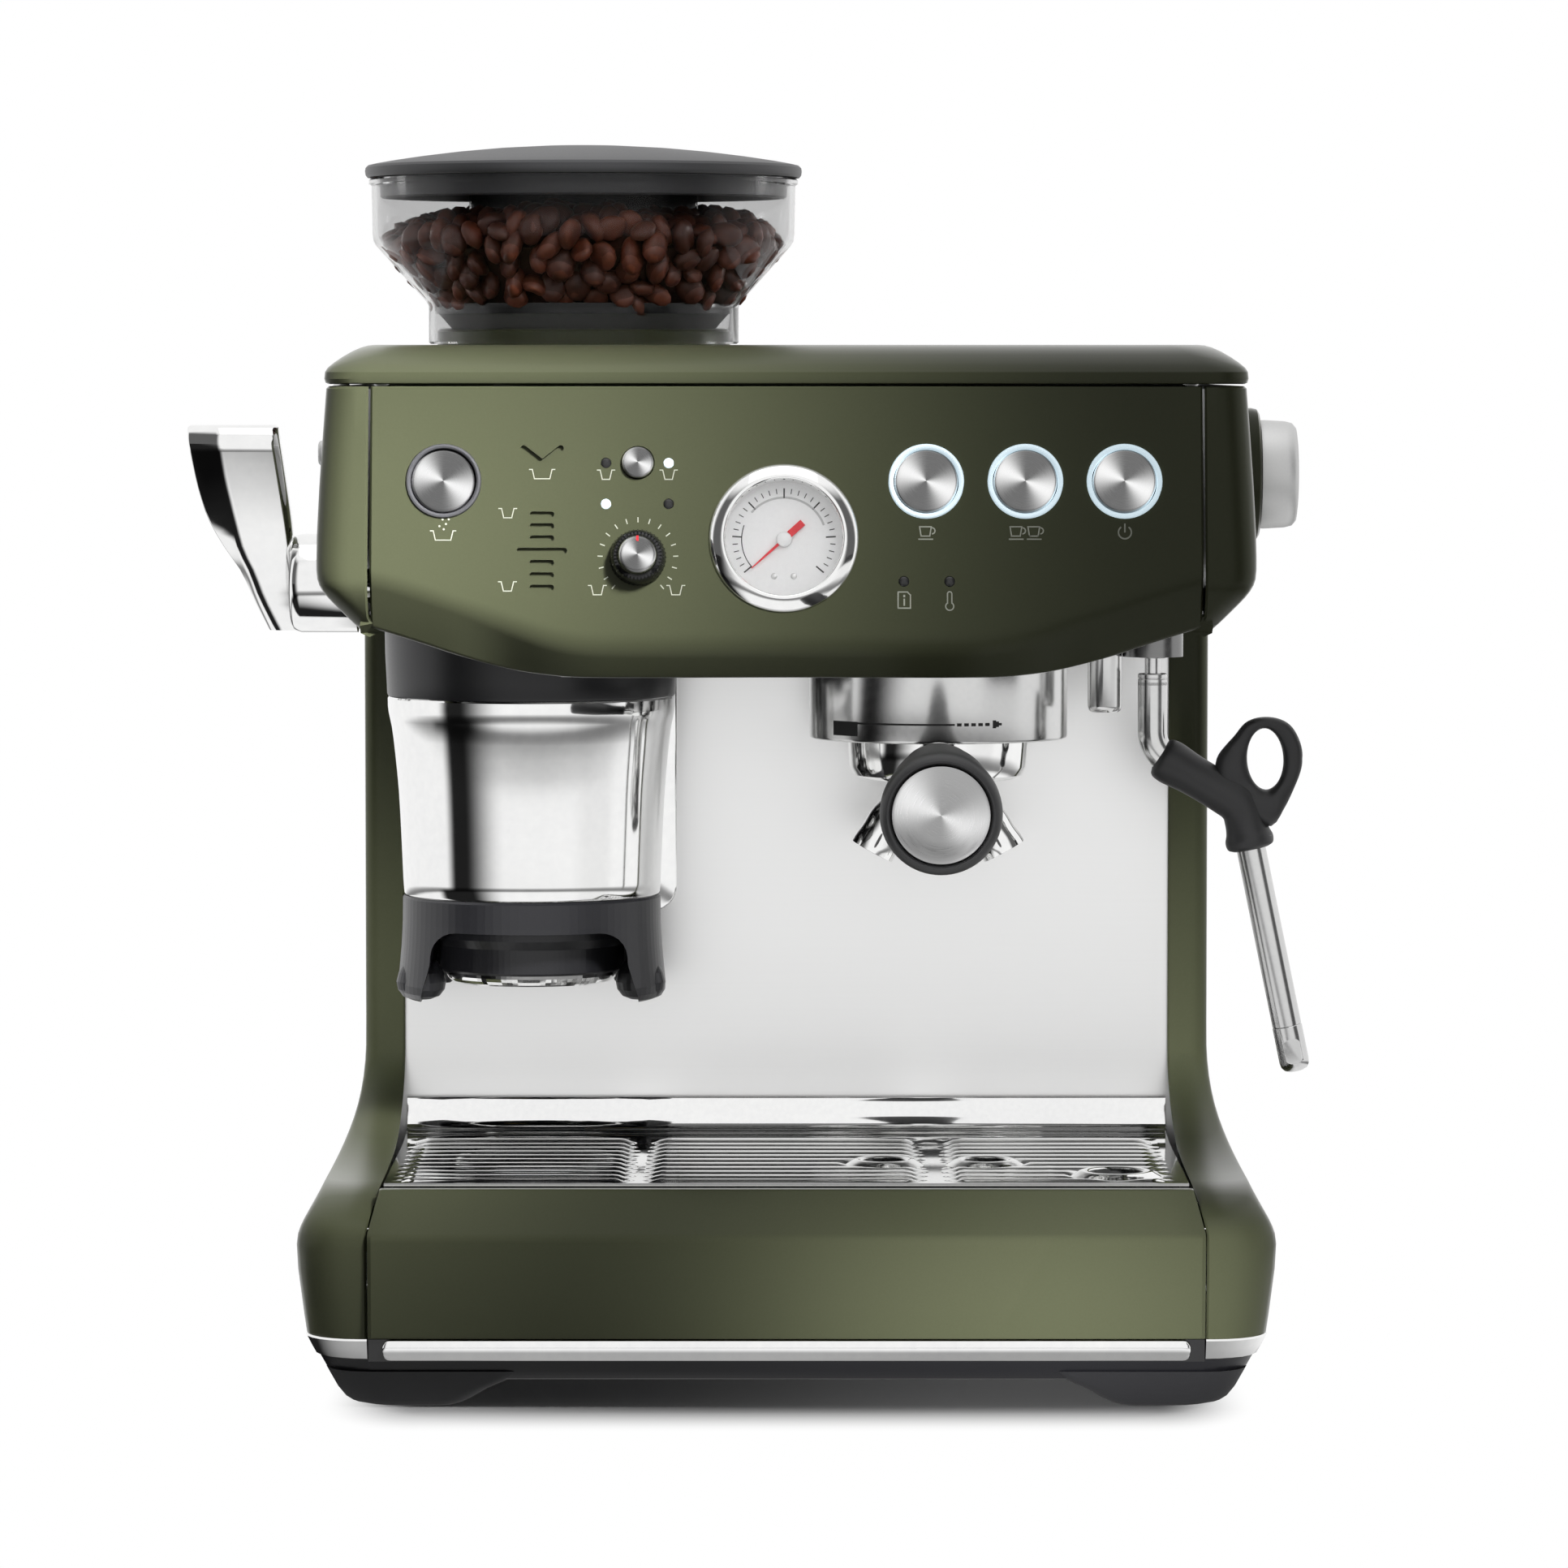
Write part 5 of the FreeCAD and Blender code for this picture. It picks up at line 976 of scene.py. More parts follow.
LEVEL_SLOTS = ((42.6, 3), (38.8, 3), (34.9, 3), (27, 3), (23, 3), (19, 3), (30.9, 7.2))
CHEVRON = ((-85.2, 64), (-79.2, 59.4), (-73.2, 64))
COVER_ROWS = (
    (333.3, 149.6, -124.6), (333.7, 150.5, -125.4), (335, 150.9, -125.7), (337.2, 150.7, -125.2),
    (338.6, 149.9, -123.6), (340.3, 148, -120.6), (342.1, 145.6, -116.4), (343.9, 142.8, -111),
    (345.2, 140.2, -105.8), (345.9, 138, -101.4), (346.1, 136, -98), (345.8, 133.8, -94.6),
    (345.3, 132, -92),
)


def stroke(mesh, points, width, low, high, ends=0):
    """Bars along a line on the fascia, with corners rounded by a share of half the width."""
    half = width / 2
    for (x0, row0), (x1, row1) in zip(points, points[1:]):
        run = Vector((x1 - x0, (row1 - row0) / math.cos(FACE_LEAN)))
        outline = block(-half, run.length + half, -half, half, half * ends, 4)
        turn = Matrix.Rotation(math.atan2(run.y, run.x), 4, "Z")
        prism(outline, low, high, face_at(x0, row0) @ turn, mesh=mesh)


def grooves(*runs):
    """Closed cutters with round ends, along runs of points on the fascia."""
    mesh = bmesh.new()
    for points in runs:
        stroke(mesh, points, 1.9, -1.3, 2, 0.98)
    return mesh


def fascia():
    edge, count = FACE_HALF - 1, 90
    xs = [-edge + edge * 2 * step / count for step in range(count + 1)]
    xs = [-FACE_HALF + FACE_GAP] + xs + [FACE_HALF - FACE_GAP]
    top = HEAD_TOP - 0.4
    rings = []
    for index, x in enumerate(xs):
        back = 0.8 if index in (0, len(xs) - 1) else 0
        crease, low = eased(CREASE_LINE, abs(x)), eased(LIP_LINE, abs(x))
        crease_y, top_y = face_y(crease), face_y(top)
        lip_y = crease_y + (crease - low) * (0.85 - 0.33 * eased_step((abs(x) - 84) / 26))
        corners = [(lip_y + 5, low + 1.2, 0), (lip_y, low, 2.2), (crease_y, crease, 11)]
        corners += [(top_y, top, 0.7), (top_y + 1.2, top + 0.05, 0)]
        rings.append([Vector((x, p.x + back, p.y)) for p in rounded(corners, 8, False)])
    skin = loft(rings, closed=False)
    bmesh.ops.recalc_face_normals(skin, faces=skin.faces)
    if sum(side.normal.y * side.calc_area() for side in skin.faces) > 0:
        bmesh.ops.reverse_faces(skin, faces=skin.faces)
    face = shape_object("fascia_skin", skin)
    thicken(face, 3)
    bores = [(12.3, 48, x, BUTTON_ROW) for _, x in BUTTONS]
    bores += [(5.5, 32, *FILTER_SPOT), (21.5, 64, *GAUGE_SPOT), (4, 32, *DOSE_SPOT)]
    bores += [(1.75, 20, x, row) for x, row, _ in LAMPS]
    holes = bmesh.new()
    for radius, steps, x, row in bores:
        lathe(band(0, radius, -12, 6), steps, face_at(x, row), mesh=holes)
    slots = grooves(*(((SLOT_X - far, row), (SLOT_X + far, row)) for row, far in LEVEL_SLOTS))
    for cutter in (holes, slots, grooves(CHEVRON[:2]), grooves(CHEVRON[1:])):
        carve(face, cutter)
    dress(face, [PAINT], "housing", ["front_fascia"], "paint", crisp=30)


def cover():
    rings = []
    for height, half, front in COVER_ROWS + ((345.2, 131, -90),):
        rings.append(level(block(-half, half, front, 74, (13, 13, 0, 0), 8), height))
    top = shape_object("top_cover_skin", mended(loft(rings)))
    carve(top, lathe(band(0, 50.4, 320, 360), 96, AT_HOPPER))
    dress(top, [PAINT], "housing", ["top_cover"], "paint", crisp=30)

    outline = block(12.6, 131.4, -85.5, 65.5, 9)
    levels = ((343.6, 0), (345.4, 0), (345.75, 0.5), (345.75, 2.4), (345.3, 3.6), (345.3, 6))
    plate = loft([level(shrunk(outline, inset), height) for height, inset in levels])
    section = [(x, 0.7 * (1 - (x / 2) ** 2) ** 0.5) for x in (-2, -1.6, -0.8, 0, 0.8, 1.6, 2)]
    ends = ((-66, 0.1), (-63, 1), (63, 1), (66, 0.1))
    rib = loft([[Vector((x, y, z * share)) for x, z in section] for y, share in ends])
    ribs = line_of(rib, 12, (9.4, 0, 0), BRUSHED)
    ribs.transform(upright(20.3, -10, 345.2))
    parts = [(plate, 0), (ribs, 0)]
    show("cup_tray_plate", parts, [BRUSHED], "housing", ["cup_tray"], "steel")

    rings = []
    for height, half, _ in COVER_ROWS:
        back = BACK - 0.2 - (height - HEAD_TOP) * 0.5
        rings.append(level(block(-half, half, TANK_FRONT, back, (0, 0, 9, 9)), height))
    show("tank_lid_shell", loft(rings), [BLACK], "tank_lid", ["tank_lid"], "black", crisp=30)


# Hopper, beans, lid

BOWL = [
    (52.4, 346.6), (53, 347.2), (53, 358.6), (53.3, 360), (54.2, 361.4), (70.9, 380), (71.8, 381.6),
    (72.1, 384), (72.4, 400.4), (73.3, 401), (73.3, 402.3), (72.6, 402.8), (70.6, 402.8),
    (70.3, 384.2), (70, 382.4), (69.2, 381), (53, 362.6), (51.9, 361), (51.2, 359.4), (51, 346.6),
]
HOPPER_DOME = [
    (0, 414.2), (15, 413.95), (30, 413.1), (44, 411.8), (56, 410.3), (66, 408.8), (71.5, 407.8),
    (73.6, 407.3), (74.4, 406.5), (74.6, 405.4), (74.4, 404), (73.8, 403.2), (69.6, 403.1),
    (69.4, 396.6), (68.6, 396), (67.6, 396), (67.4, 403.6), (0, 405.6),
]
HEAP_SKIN = [
    (0, 388.4), (14, 388.6), (28, 388.2), (42, 388), (54, 386.8), (62, 384.6), (65, 382.4),
    (63.4, 378.8), (50.6, 364.4), (47.6, 360.8),
]
HEAP_CORE = [
    (0, 384), (40, 384), (58, 381.4), (61, 378.6), (47.8, 363.4), (46.4, 360.5), (46, 355),
    (0, 355),
]


def hopper():
    funnel = [(30, 350.2), (44, 350.2), (49.8, 356.7), (30, 356.7)]
    sections = (BOWL, band(30, 50.7, 356.8, 360.4), funnel)
    parts = [(lathe(part, 96, AT_HOPPER, closed=True), k) for k, part in enumerate(sections)]
    finishes = [SMOKY, GLOSS_BLACK, GREY_PLASTIC]
    show("hopper_bowl", parts, finishes, "hopper", ["bean_hopper"], "clear", crisp=30)

    ring = [(36, 343.6), (50, 343.6), (50, 350.6), (49.2, 351.4), (38, 351.4), (36, 350.2)]
    seat = lathe(ring, 96, AT_HOPPER, closed=True)
    show("hopper_seat", seat, [PAINT], "housing", ["hopper_collar"], "paint", crisp=30)

    beans()

    lid = lathe(HOPPER_DOME, 96, AT_HOPPER)
    show("hopper_lid_dome", lid, [LID_GREY], "hopper_lid", ["hopper_lid"], "grey", crisp=30)

    bar = prism(block(-39, 39, -6, 6, 4), 391, 403, AT_HOPPER, soft=1.2)
    lathe(band(0, 4, 352.5, 392), 32, AT_HOPPER, mesh=bar)
    show("hopper_lock_bar", bar, [GLOSS_BLACK], "hopper_bar", ["hopper_bar"], "black")


def beans():
    bean = bmesh.new()
    bmesh.ops.create_icosphere(bean, subdivisions=2, radius=1.0)
    for vert in bean.verts:
        x, y, z = vert.co
        seam = math.exp(-((y / 0.16) ** 2)) * 0.34 if z > 0 else 0
        vert.co = (x * 6, y * 4.9, (z * 4 if z < 0 else z * 2.7) - seam * 2)
    item = item_of(bean)

    skin = lathe(HEAP_SKIN, 64, AT_HOPPER)
    for vert in skin.verts:
        around = math.atan2(vert.co.y - HOPPER[1], vert.co.x - HOPPER[0])
        if vert.co.z > 380:
            wave = 1.5 * math.sin(3 * around + 0.6)
            vert.co.z += wave + 1.2 * math.sin(5 * around + vert.co.x / 11)
    skin.transform(SEAT)
    values = {"Item": item, "Spacing": 0.0063, "Seed": 7, "Finish": BEAN}
    whole = mesh_of(grown(BEAN_HEAP, values, data_of("heap_skin", skin)), Matrix())
    core = lathe(HEAP_CORE, 48, AT_HOPPER)
    bmesh.ops.recalc_face_normals(core, faces=core.faces)
    core.transform(SEAT)
    core_size = len(core.verts)
    whole.from_mesh(data_of("heap_core", core))
    data = data_of("bean_heap", whole)
    tones = data.attributes["bean_tone"].data
    # Painted shade: the core under the beans takes the darkest bean colour, standing in for the
    # shade between the beans.
    for index in range(len(data.vertices) - core_size, len(data.vertices)):
        tones[index].value = 2
    thing = placed("bean_heap", data)
    dress(thing, [BEAN], "hopper", ["coffee_beans"], "beans", crisp=60)


# Lever of the tamper, side dials

LEVER_LEFT = (
    (249.2, -176.4), (250, -176.9), (259.7, -181.5), (269.3, -185.6), (277.6, -191.1),
    (287.2, -196.3), (296.8, -199.3), (303.7, -200.8), (313.3, -202.4), (317.4, -202.8),
)
LEVER_RIGHT = (
    (249.2, -157), (256, -157.6), (257.4, -159), (259, -161.8), (262.4, -164.4), (267, -166),
    (273.4, -167.1), (287.2, -168.2), (300.9, -169.8), (312.5, -171.3), (317.4, -172),
)
LEVER_BEVEL = ((249.2, 0.05), (259, 0.08), (273, 0.20), (286, 0.33), (305, 0.35), (317.4, 0.36))
LEVER_LEVELS = (249.2, 250, 251.2, 254, *range(258, 311, 4))
LEVER_ROUND = 312
LEVER_TIP = 7.2
LEVER_DEPTH = 7.4


def lever():
    rings = []
    tips = [math.sin(math.radians(turn)) for turn in range(0, 91, 10)]
    for height in (*LEVER_LEVELS, *(LEVER_ROUND + LEVER_TIP * tip for tip in tips)):
        left, right = eased(LEVER_LEFT, height), eased(LEVER_RIGHT, height)
        bevel = left + (right - left) * eased(LEVER_BEVEL, height)
        rise = max(0, min(1, (height - LEVER_ROUND) / LEVER_TIP))
        back = 5.6 * (1 - math.sqrt(1 - rise * rise))
        pinch = max(0, height - 318.2) ** 2 * 1.2
        y = LEVER_PIVOT[1]
        y -= (min(height, LEVER_ROUND) - LEVER_PIVOT[2]) * math.tan(math.radians(15))
        corners = [
            (left + pinch, y - LEVER_DEPTH * 0.35 + back, 0.9),
            (bevel, y - LEVER_DEPTH + back, 5),
            (right - pinch, y - LEVER_DEPTH * 0.8 + back, 3),
            (right - pinch, y + LEVER_DEPTH, 3),
            (left + pinch, y + LEVER_DEPTH, 3),
        ]
        rings.append(level(rounded(corners), height))
    outline = rounded([(249.2, -22, 2), (257.4, -22.6, 2), (257.4, -15, 2), (249.2, -15, 2)])
    ends = ((-166, 0.6), (-165, 0), (-147, 0), (-146, 0.6))
    foot = loft([[Vector((x, p.y, p.x)) for p in shrunk(outline, inset)] for x, inset in ends])
    knob = [(0, -4), (16.8, -4), (16.8, 15), (16.2, 17.4), (14.4, 18.6), (6, 18.8), (0, 18.8)]
    hub = lathe(knob, 64, side_at(*LEVER_PIVOT, -1))
    parts = [(loft(rings), 0), (foot, 0), (hub, 0)]
    show("tamp_lever_arm", parts, [CHROME], "lever", ["tamp_lever"], "aluminium", crisp=45)


def side_dials():
    place = side_at(-151.4, -40, 310, -1)
    disc = [(0, -4), (23, -4), (23, 1), (22.4, 1.7), (20, 1.9), (0, 1.9)]
    grind = lathe(disc, 72, place)
    prism(block(-4.2, 4.2, -19, 19, 3.6), 0, 5.4, place, soft=1.2, mesh=grind)
    tick = brick((-0.5, 0.5), (-0.25, 0.25), (0, 0.3))
    ticks = ring_of(tick, 25, 21.4, 0, 14.4, DIAL_INK)
    ticks.transform(place @ upright(0, 0, 1.7))
    parts = [(grind, 0), (ticks, 1)]
    finishes = [KNOB_ALLOY, DIAL_INK]
    show("grind_size_dial", parts, finishes, "grind_dial", ["grind_dial"], "black")

    place = side_at(159, *STEAM_DIAL, 1)
    knob = [
        (0, -9), (5, -9), (5, 0.6), (18.2, 0.6), (18.3, 2), (17.9, 9), (17.3, 11.4), (15.8, 12.7),
        (13.6, 13), (0, 13),
    ]
    mark = prism(block(-0.9, 0.9, 4, 13, 0.8, 3), 12.6, 13.15, place)
    parts = [(lathe(knob, 64, place), 0), (mark, 1)]
    show("steam_knob", parts, finishes, "steam_dial", ["steam_dial"], "aluminium")


# Controls on the fascia

BUTTON = [
    (0, -8), (10.2, -8), (10.3, 0), (10, 0.5), (9.5, 0.72), (8, 0.80), (4, 0.86), (0, 0.88),
]
BUTTON_RIM = [
    (10.6, -4), (12.2, -4), (12.2, 0.3), (11.9, 0.75), (11.4, 0.9), (10.9, 0.7), (10.6, 0.2),
]
FILTER_BUTTON = [(0, -8), (5.1, -8), (5.2, 1), (4.9, 1.5), (4.4, 1.75), (2, 1.9), (0, 1.95)]
DIAL_SKIRT = [
    (6.2, 7.2), (6.6, 6.2), (7.4, 5.6), (8.2, 4.8), (8.8, 2.6), (9.1, 0.5), (3.6, 0.4), (3.6, -8),
    (0, -8),
]


def button(name, profile, steps, radius, place):
    disc = disc_map(lathe(profile, steps), radius)
    disc.transform(place)
    show(name + "_disc", disc, [SPUN_STEEL], name, [name], "steel", crisp=50)


def controls():
    rings_lit, ring_dark, lit, dark = (bmesh.new() for _ in range(4))
    for name, x in BUTTONS:
        button(name + "_button", BUTTON, 64, 10.4, face_at(x, BUTTON_ROW, 0.1))
        ring = ring_dark if name == "dose" else rings_lit
        lathe(BUTTON_RIM, 72, face_at(x, BUTTON_ROW), closed=True, mesh=ring)
    lamp_dome = [(0, -6), (1.6, -6), (1.6, -0.1), (1.1, 0.25), (0, 0.4)]
    for x, row, on in LAMPS:
        lathe(lamp_dome, 20, face_at(x, row), mesh=lit if on else dark)
    parts = [(rings_lit, 0), (lit, 0), (ring_dark, 1), (dark, 2)]
    finishes = [LAMP_LIT, RING_GREY, LAMP_OFF]
    show("button_rings_and_lamps", parts, finishes, "housing", ["light_pipes"], "white")

    button("filter_button", FILTER_BUTTON, 40, 5.2, face_at(*FILTER_SPOT))

    dial = disc_map(lathe([(0, 8.9), (4.6, 9), (5.6, 8.8), (6.1, 8.2), (6.2, 7)], 48), 6.2)
    rings = []
    for a, low, b, high in ((-1.5, 5.5, -1.2, 5.9), (-0.3, 1, 0.25, 1)):
        corners = ((a, -0.22, low), (b, -0.22, high), (b, 0.22, high), (a, 0.22, low))
        rings.append([Vector(corner) for corner in corners])
    knurl = ring_of(loft(rings), 40, 9, 0, 9, BLACK)
    mark = brick((-0.4, 0.4), (4.2, 6), (8.7, 9.1))
    parts = [(dial, 0), (lathe(DIAL_SKIRT, 60), 1), (knurl, 1), (mark, 2)]
    for mesh, _ in parts:
        mesh.transform(face_at(*DOSE_SPOT))
    finishes = [SPUN_STEEL, GLOSS_BLACK, NEEDLE_RED]
    nodes = ["manual_dose_dial"]
    show("manual_dose_knob", parts, finishes, "manual_dose_dial", nodes, "black", crisp=50)


GAUGE_BEZEL = [
    (21, -10), (21.2, 0), (23.9, 0), (24.3, 0.35), (24, 0.9), (22.9, 1.75), (21.5, 2.6),
    (20.4, 3.12), (19.8, 3.3), (19.3, 3.1), (19, 2.4), (18.9, -3.4), (19, -10),
]
GAUGE_TICKS = ((31, 15.9, 1.7, 0.28, 8.67), (7, 15.2, 3.2, 0.46, 43.3))
GAUGE_LENS = [
    (0, 2.2), (10, 2), (17, 1.4), (19, 1), (19, 0.2), (17, 0.6), (10, 1.2), (0, 1.4),
]
HALF_HAND = [(-8.2, -1.15), (-2.6, -1.15), (-1, -0.55), (14.2, -0.16)]


def gauge():
    place = face_at(*GAUGE_SPOT)
    parts = [(lathe(GAUGE_BEZEL, 96, place, closed=True), 0)]
    parts.append((lathe(band(0, 19.1, -3.6, -4.6), 64, place), 1))
    for count, radius, length, width, step in GAUGE_TICKS:
        tick = brick((-length / 2, length / 2), (-width / 2, width / 2), (0, 0.12))
        ticks = ring_of(tick, count, radius, -40, step, DIAL_INK)
        ticks.transform(place @ upright(0, 0, -3.62))
        parts.append((ticks, 2))
    arcs = ((13.4, 14.1, 40, 20, 120, 3), (13.6, 13.9, 30, 160, 60, 2))
    for inner, outer, steps, start, sweep, number in arcs:
        section = band(inner, outer, -3.58, -3.5)
        parts.append((lathe(section, steps, place, start, sweep, closed=True), number))
    screw = [(0, -3), (0.7, -3.05), (1, -3.3), (1.05, -3.7), (0, -3.7)]
    for x in (-3.2, 3.2):
        parts.append((lathe(screw, 20, place @ upright(x, -12)), 4))
    finishes = [CHROME, DIAL_WHITE, DIAL_INK, DIAL_BAND, SATIN_ALLOY]
    show("gauge_case", parts, finishes, "housing", ["pressure_gauge"], "chrome", crisp=50)

    show("gauge_glass", lathe(GAUGE_LENS, 64, place), [LENS], "housing", [], "clear", crisp=60)

    turn = place @ Matrix.Rotation(math.radians(222), 4, "Z")
    outline = [Vector(p) for p in HALF_HAND] + [Vector((x, -y)) for x, y in HALF_HAND[::-1]]
    knob = [(0, -1.5), (1.6, -1.6), (2.3, -2), (2.5, -2.6), (2.5, -3.4), (0, -3.4)]
    parts = [(prism(outline, -3, -2.55, turn), 0), (lathe(knob, 32, turn), 1)]
    finishes = [NEEDLE_RED, DIAL_WHITE]
    show("gauge_hand", parts, finishes, "gauge_needle", ["gauge_needle"], "red")


# Grinding cradle

CRADLE_NECK = [
    (43, 228.2), (48.4, 228.2), (48.7, 229), (48.9, 234), (49.3, 242), (49.6, 258), (42, 258),
]
SHIELD = [
    (48.2, 228), (48.6, 227.4), (48.55, 224.6), (48.3, 222.4), (47.85, 220.2), (47.3, 217.6),
    (46.75, 213.5), (46.2, 208.5), (45.6, 202.5), (45.05, 196), (44.6, 188), (44.15, 178),
    (43.65, 166), (43.45, 161.8), (43.1, 161.2),
]
FORK = [
    (33.5, 160.8), (43, 160.8), (43.6, 160), (43.7, 152), (44.1, 144), (44.8, 136), (45.3, 131),
    (45.1, 128.4), (44, 126.6), (42, 125.8), (38, 125.8), (35.4, 126.6), (34, 128.4), (33.5, 131),
]
HALF_ARCH = [(36.5, 100, 0), (36.5, 128, 3), (33.2, 139, 8), (32.5, 150.2, 9)]
FORK_SEAT = [
    (28.4, 135.2), (30.6, 135.2), (31.2, 136), (31.2, 144), (33.6, 147), (33.6, 152), (28.4, 152),
]
FORK_RIM = [
    (25.4, 131.6), (26.6, 131.4), (27.6, 131.9), (28.6, 132.9), (29.2, 134), (29.3, 135.4),
    (25.4, 135.4),
]
FORK_TOE = [
    (0, 125.7), (3.4, 125.9), (6.2, 127), (7.9, 129.2), (8.4, 131.8), (7.6, 135), (5.6, 138.6),
    (0, 140.4),
]
FORK_PEG = [(0, 129), (2.4, 129.1), (3.3, 129.9), (3.5, 131), (3.5, 152), (0, 152)]


def cradle():
    neck = lathe(CRADLE_NECK, 96, AT_CRADLE, closed=True)
    show("cradle_neck", neck, [COLLAR_BLACK], "housing", ["cradle_collar"], "black", crisp=30)

    wall = SHIELD + [(radius - 1.3, z) for radius, z in reversed(SHIELD)]
    shield = lathe(wall, 96, AT_CRADLE, 175, 190, closed=True)
    show("cradle_shield_skin", shield, [CHROME], "housing", ["cradle_shield"], "chrome", crisp=30)

    standing = Matrix.Rotation(QUARTER, 4, "X")
    outline = block(-131.6, -37.8, 150.4, 238, (9, 9, 0, 0))
    plate = prism(outline, 0, 1.6, upright(0, 12.6) @ standing, soft=0.7)
    show("cradle_rear_plate", plate, [CHROME], "housing", ["cradle_back_plate"], "steel")

    legs = shape_object("cradle_legs", mended(lathe(FORK, 96, AT_CRADLE, closed=True)))
    outline = rounded(HALF_ARCH + [(-x, z, radius) for x, z, radius in reversed(HALF_ARCH)])
    carve(legs, prism(outline, -80, 80, AT_CRADLE @ standing))
    soften(legs, 1.4, 3, 50)
    arm = prism(block(-14, 14, -6, 51, (4, 4, 0, 0)), 150.2, 160.6, AT_CRADLE, soft=1)
    bridge = shape_object("cradle_bridge", mended(arm))
    carve(bridge, lathe(band(0, 33.6, 100, 170), 64, AT_CRADLE))
    ring, rim = (lathe(part, 96, AT_CRADLE, closed=True) for part in (FORK_SEAT, FORK_RIM))
    pegs = bmesh.new()
    for profile, steps, spots, y in (
        (FORK_TOE, 32, (-123.2, -49.2), -50),
        (FORK_PEG, 28, (-117, -55.4), -24),
    ):
        for x in spots:
            lathe(profile, steps, upright(x, y), mesh=pegs)
    parts = [(taken(legs), 0), (taken(bridge), 0), (ring, 0), (pegs, 0), (rim, 1)]
    finishes = [COLLAR_BLACK, CHROME]
    show("cradle_fork_band", parts, finishes, "housing", ["cradle_fork"], "black", crisp=50)


# Group head and portafilter

GROUP_RING = [
    (37, 214), (42.6, 214), (43.3, 214.4), (43.5, 215), (43.5, 256), (43, 258), (0, 258),
    (0, 229.4), (37, 229.4),
]
BASIN = [
    (0, 199.8), (20, 199.8), (25.6, 200.2), (28.6, 201.6), (29.9, 204.4), (30.3, 212),
    (30.4, 215.2), (36.2, 215.6), (36.6, 217), (36.6, 220.6), (35.8, 221.2), (29, 221.2),
    (28.6, 203.4), (0, 202.2),
]
HANDLE_FALL = math.radians(2.2)
HANDLE_ROWS = (
    (44, 9, 6.4), (44.6, 10.6, 7.6), (46, 11.6, 8.1), (60, 12, 8.4), (75, 12.3, 9.6),
    (92, 13.2, 11.6), (116, 14.8, 14.4), (140, 16.6, 16.5),
)
HANDLE_END = (
    (24, 18.2), (12, 19), (5, 19.1), (2.2, 18.7), (0.7, 17.8), (0.1, 16.9), (0.2, 16.3),
    (0.9, 15.8), (3.2, 15.7),
)
HANDLE_CAP = [
    (0, 0.05), (8, 0), (14.2, -0.25), (15.2, -0.7), (15.5, -1.4), (15.5, -3), (0, -3),
]
SPOUT_HUB = [
    (0, 199.6), (9.5, 199.6), (10, 197), (10, 188), (8.6, 184.6), (5, 183.2), (0, 183),
]


def group():
    # The locking mark: a bar, a line, dots and the point of an arrow, as (start, end, low, high).
    wraps = [(215.5, 230.6, 216.2, 221), (230.6, 276, 220.2, 220.8)]
    wraps += [(277 + step * 3.2, 279 + step * 3.2, 220, 221) for step in range(5)]
    for k, (low, high) in enumerate(((219.2, 221.8), (219.6, 221.4), (220.1, 220.9))):
        wraps.append((293.4 + k * 1.4, 294.9 + k * 1.4, low, high))
    mark = bmesh.new()
    for first, last, low, high in wraps:
        section, steps = band(43.45, 43.62, low, high), max(2, int(abs(last - first) / 3))
        lathe(section, steps, AT_GROUP, first, last - first, closed=True, mesh=mark)
    parts = [(lathe(GROUP_RING, 96, AT_GROUP), 0), (mark, 1)]
    finishes = [TURNED, BLACK_PRINT]
    show("group_ring", parts, finishes, "housing", ["group_head"], "aluminium", crisp=40)

    place, reach = handle_place()
    stem = [(0, 24), (8.6, 24), (8, 34), (7.4, 48), (7.4, 60), (0, 60)]
    parts = [(lathe(BASIN, 96, AT_GROUP), 0), (lathe(stem, 32, place), 0)]
    nodes = ["portafilter_body"]
    show("portafilter_basin", parts, [CHROME], "portafilter", nodes, "chrome", crisp=40)

    rings = []
    rows = HANDLE_ROWS + tuple((reach - ahead, size, size) for ahead, size in HANDLE_END)
    turns = [2 * math.pi * k / 72 for k in range(72)]
    for far, wide, tall in rows:
        ring = [Vector((wide * math.cos(turn), tall * math.sin(turn), far)) for turn in turns]
        rings.append([place @ point for point in ring])
    nodes = ["portafilter_handle"]
    show("handle_grip", loft(rings), [BLACK], "portafilter", nodes, "black", crisp=40)
    cap = disc_map(lathe(HANDLE_CAP, 72), 15.6)
    cap.transform(place @ upright(0, 0, reach))
    show("handle_end_cap", cap, [SPUN_CAP], "portafilter", ["handle_cap"], "steel", crisp=40)

    spouts()


def handle_place():
    """Axis of the handle, its z axis towards the user, and how far it reaches."""
    low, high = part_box("handle_cap")
    end = (low + high) / 2 * 1000 - SHIFT
    end.y = low.y * 1000 - SHIFT.y
    ahead = Vector((0, -math.cos(HANDLE_FALL), -math.sin(HANDLE_FALL)))
    reach = (GROUP[1] - end.y) / math.cos(HANDLE_FALL)
    seat = Matrix.Translation(end - ahead * reach) @ Matrix.Rotation(math.radians(-1), 4, "Z")
    return seat @ Matrix.Rotation(QUARTER + HANDLE_FALL, 4, "X"), reach


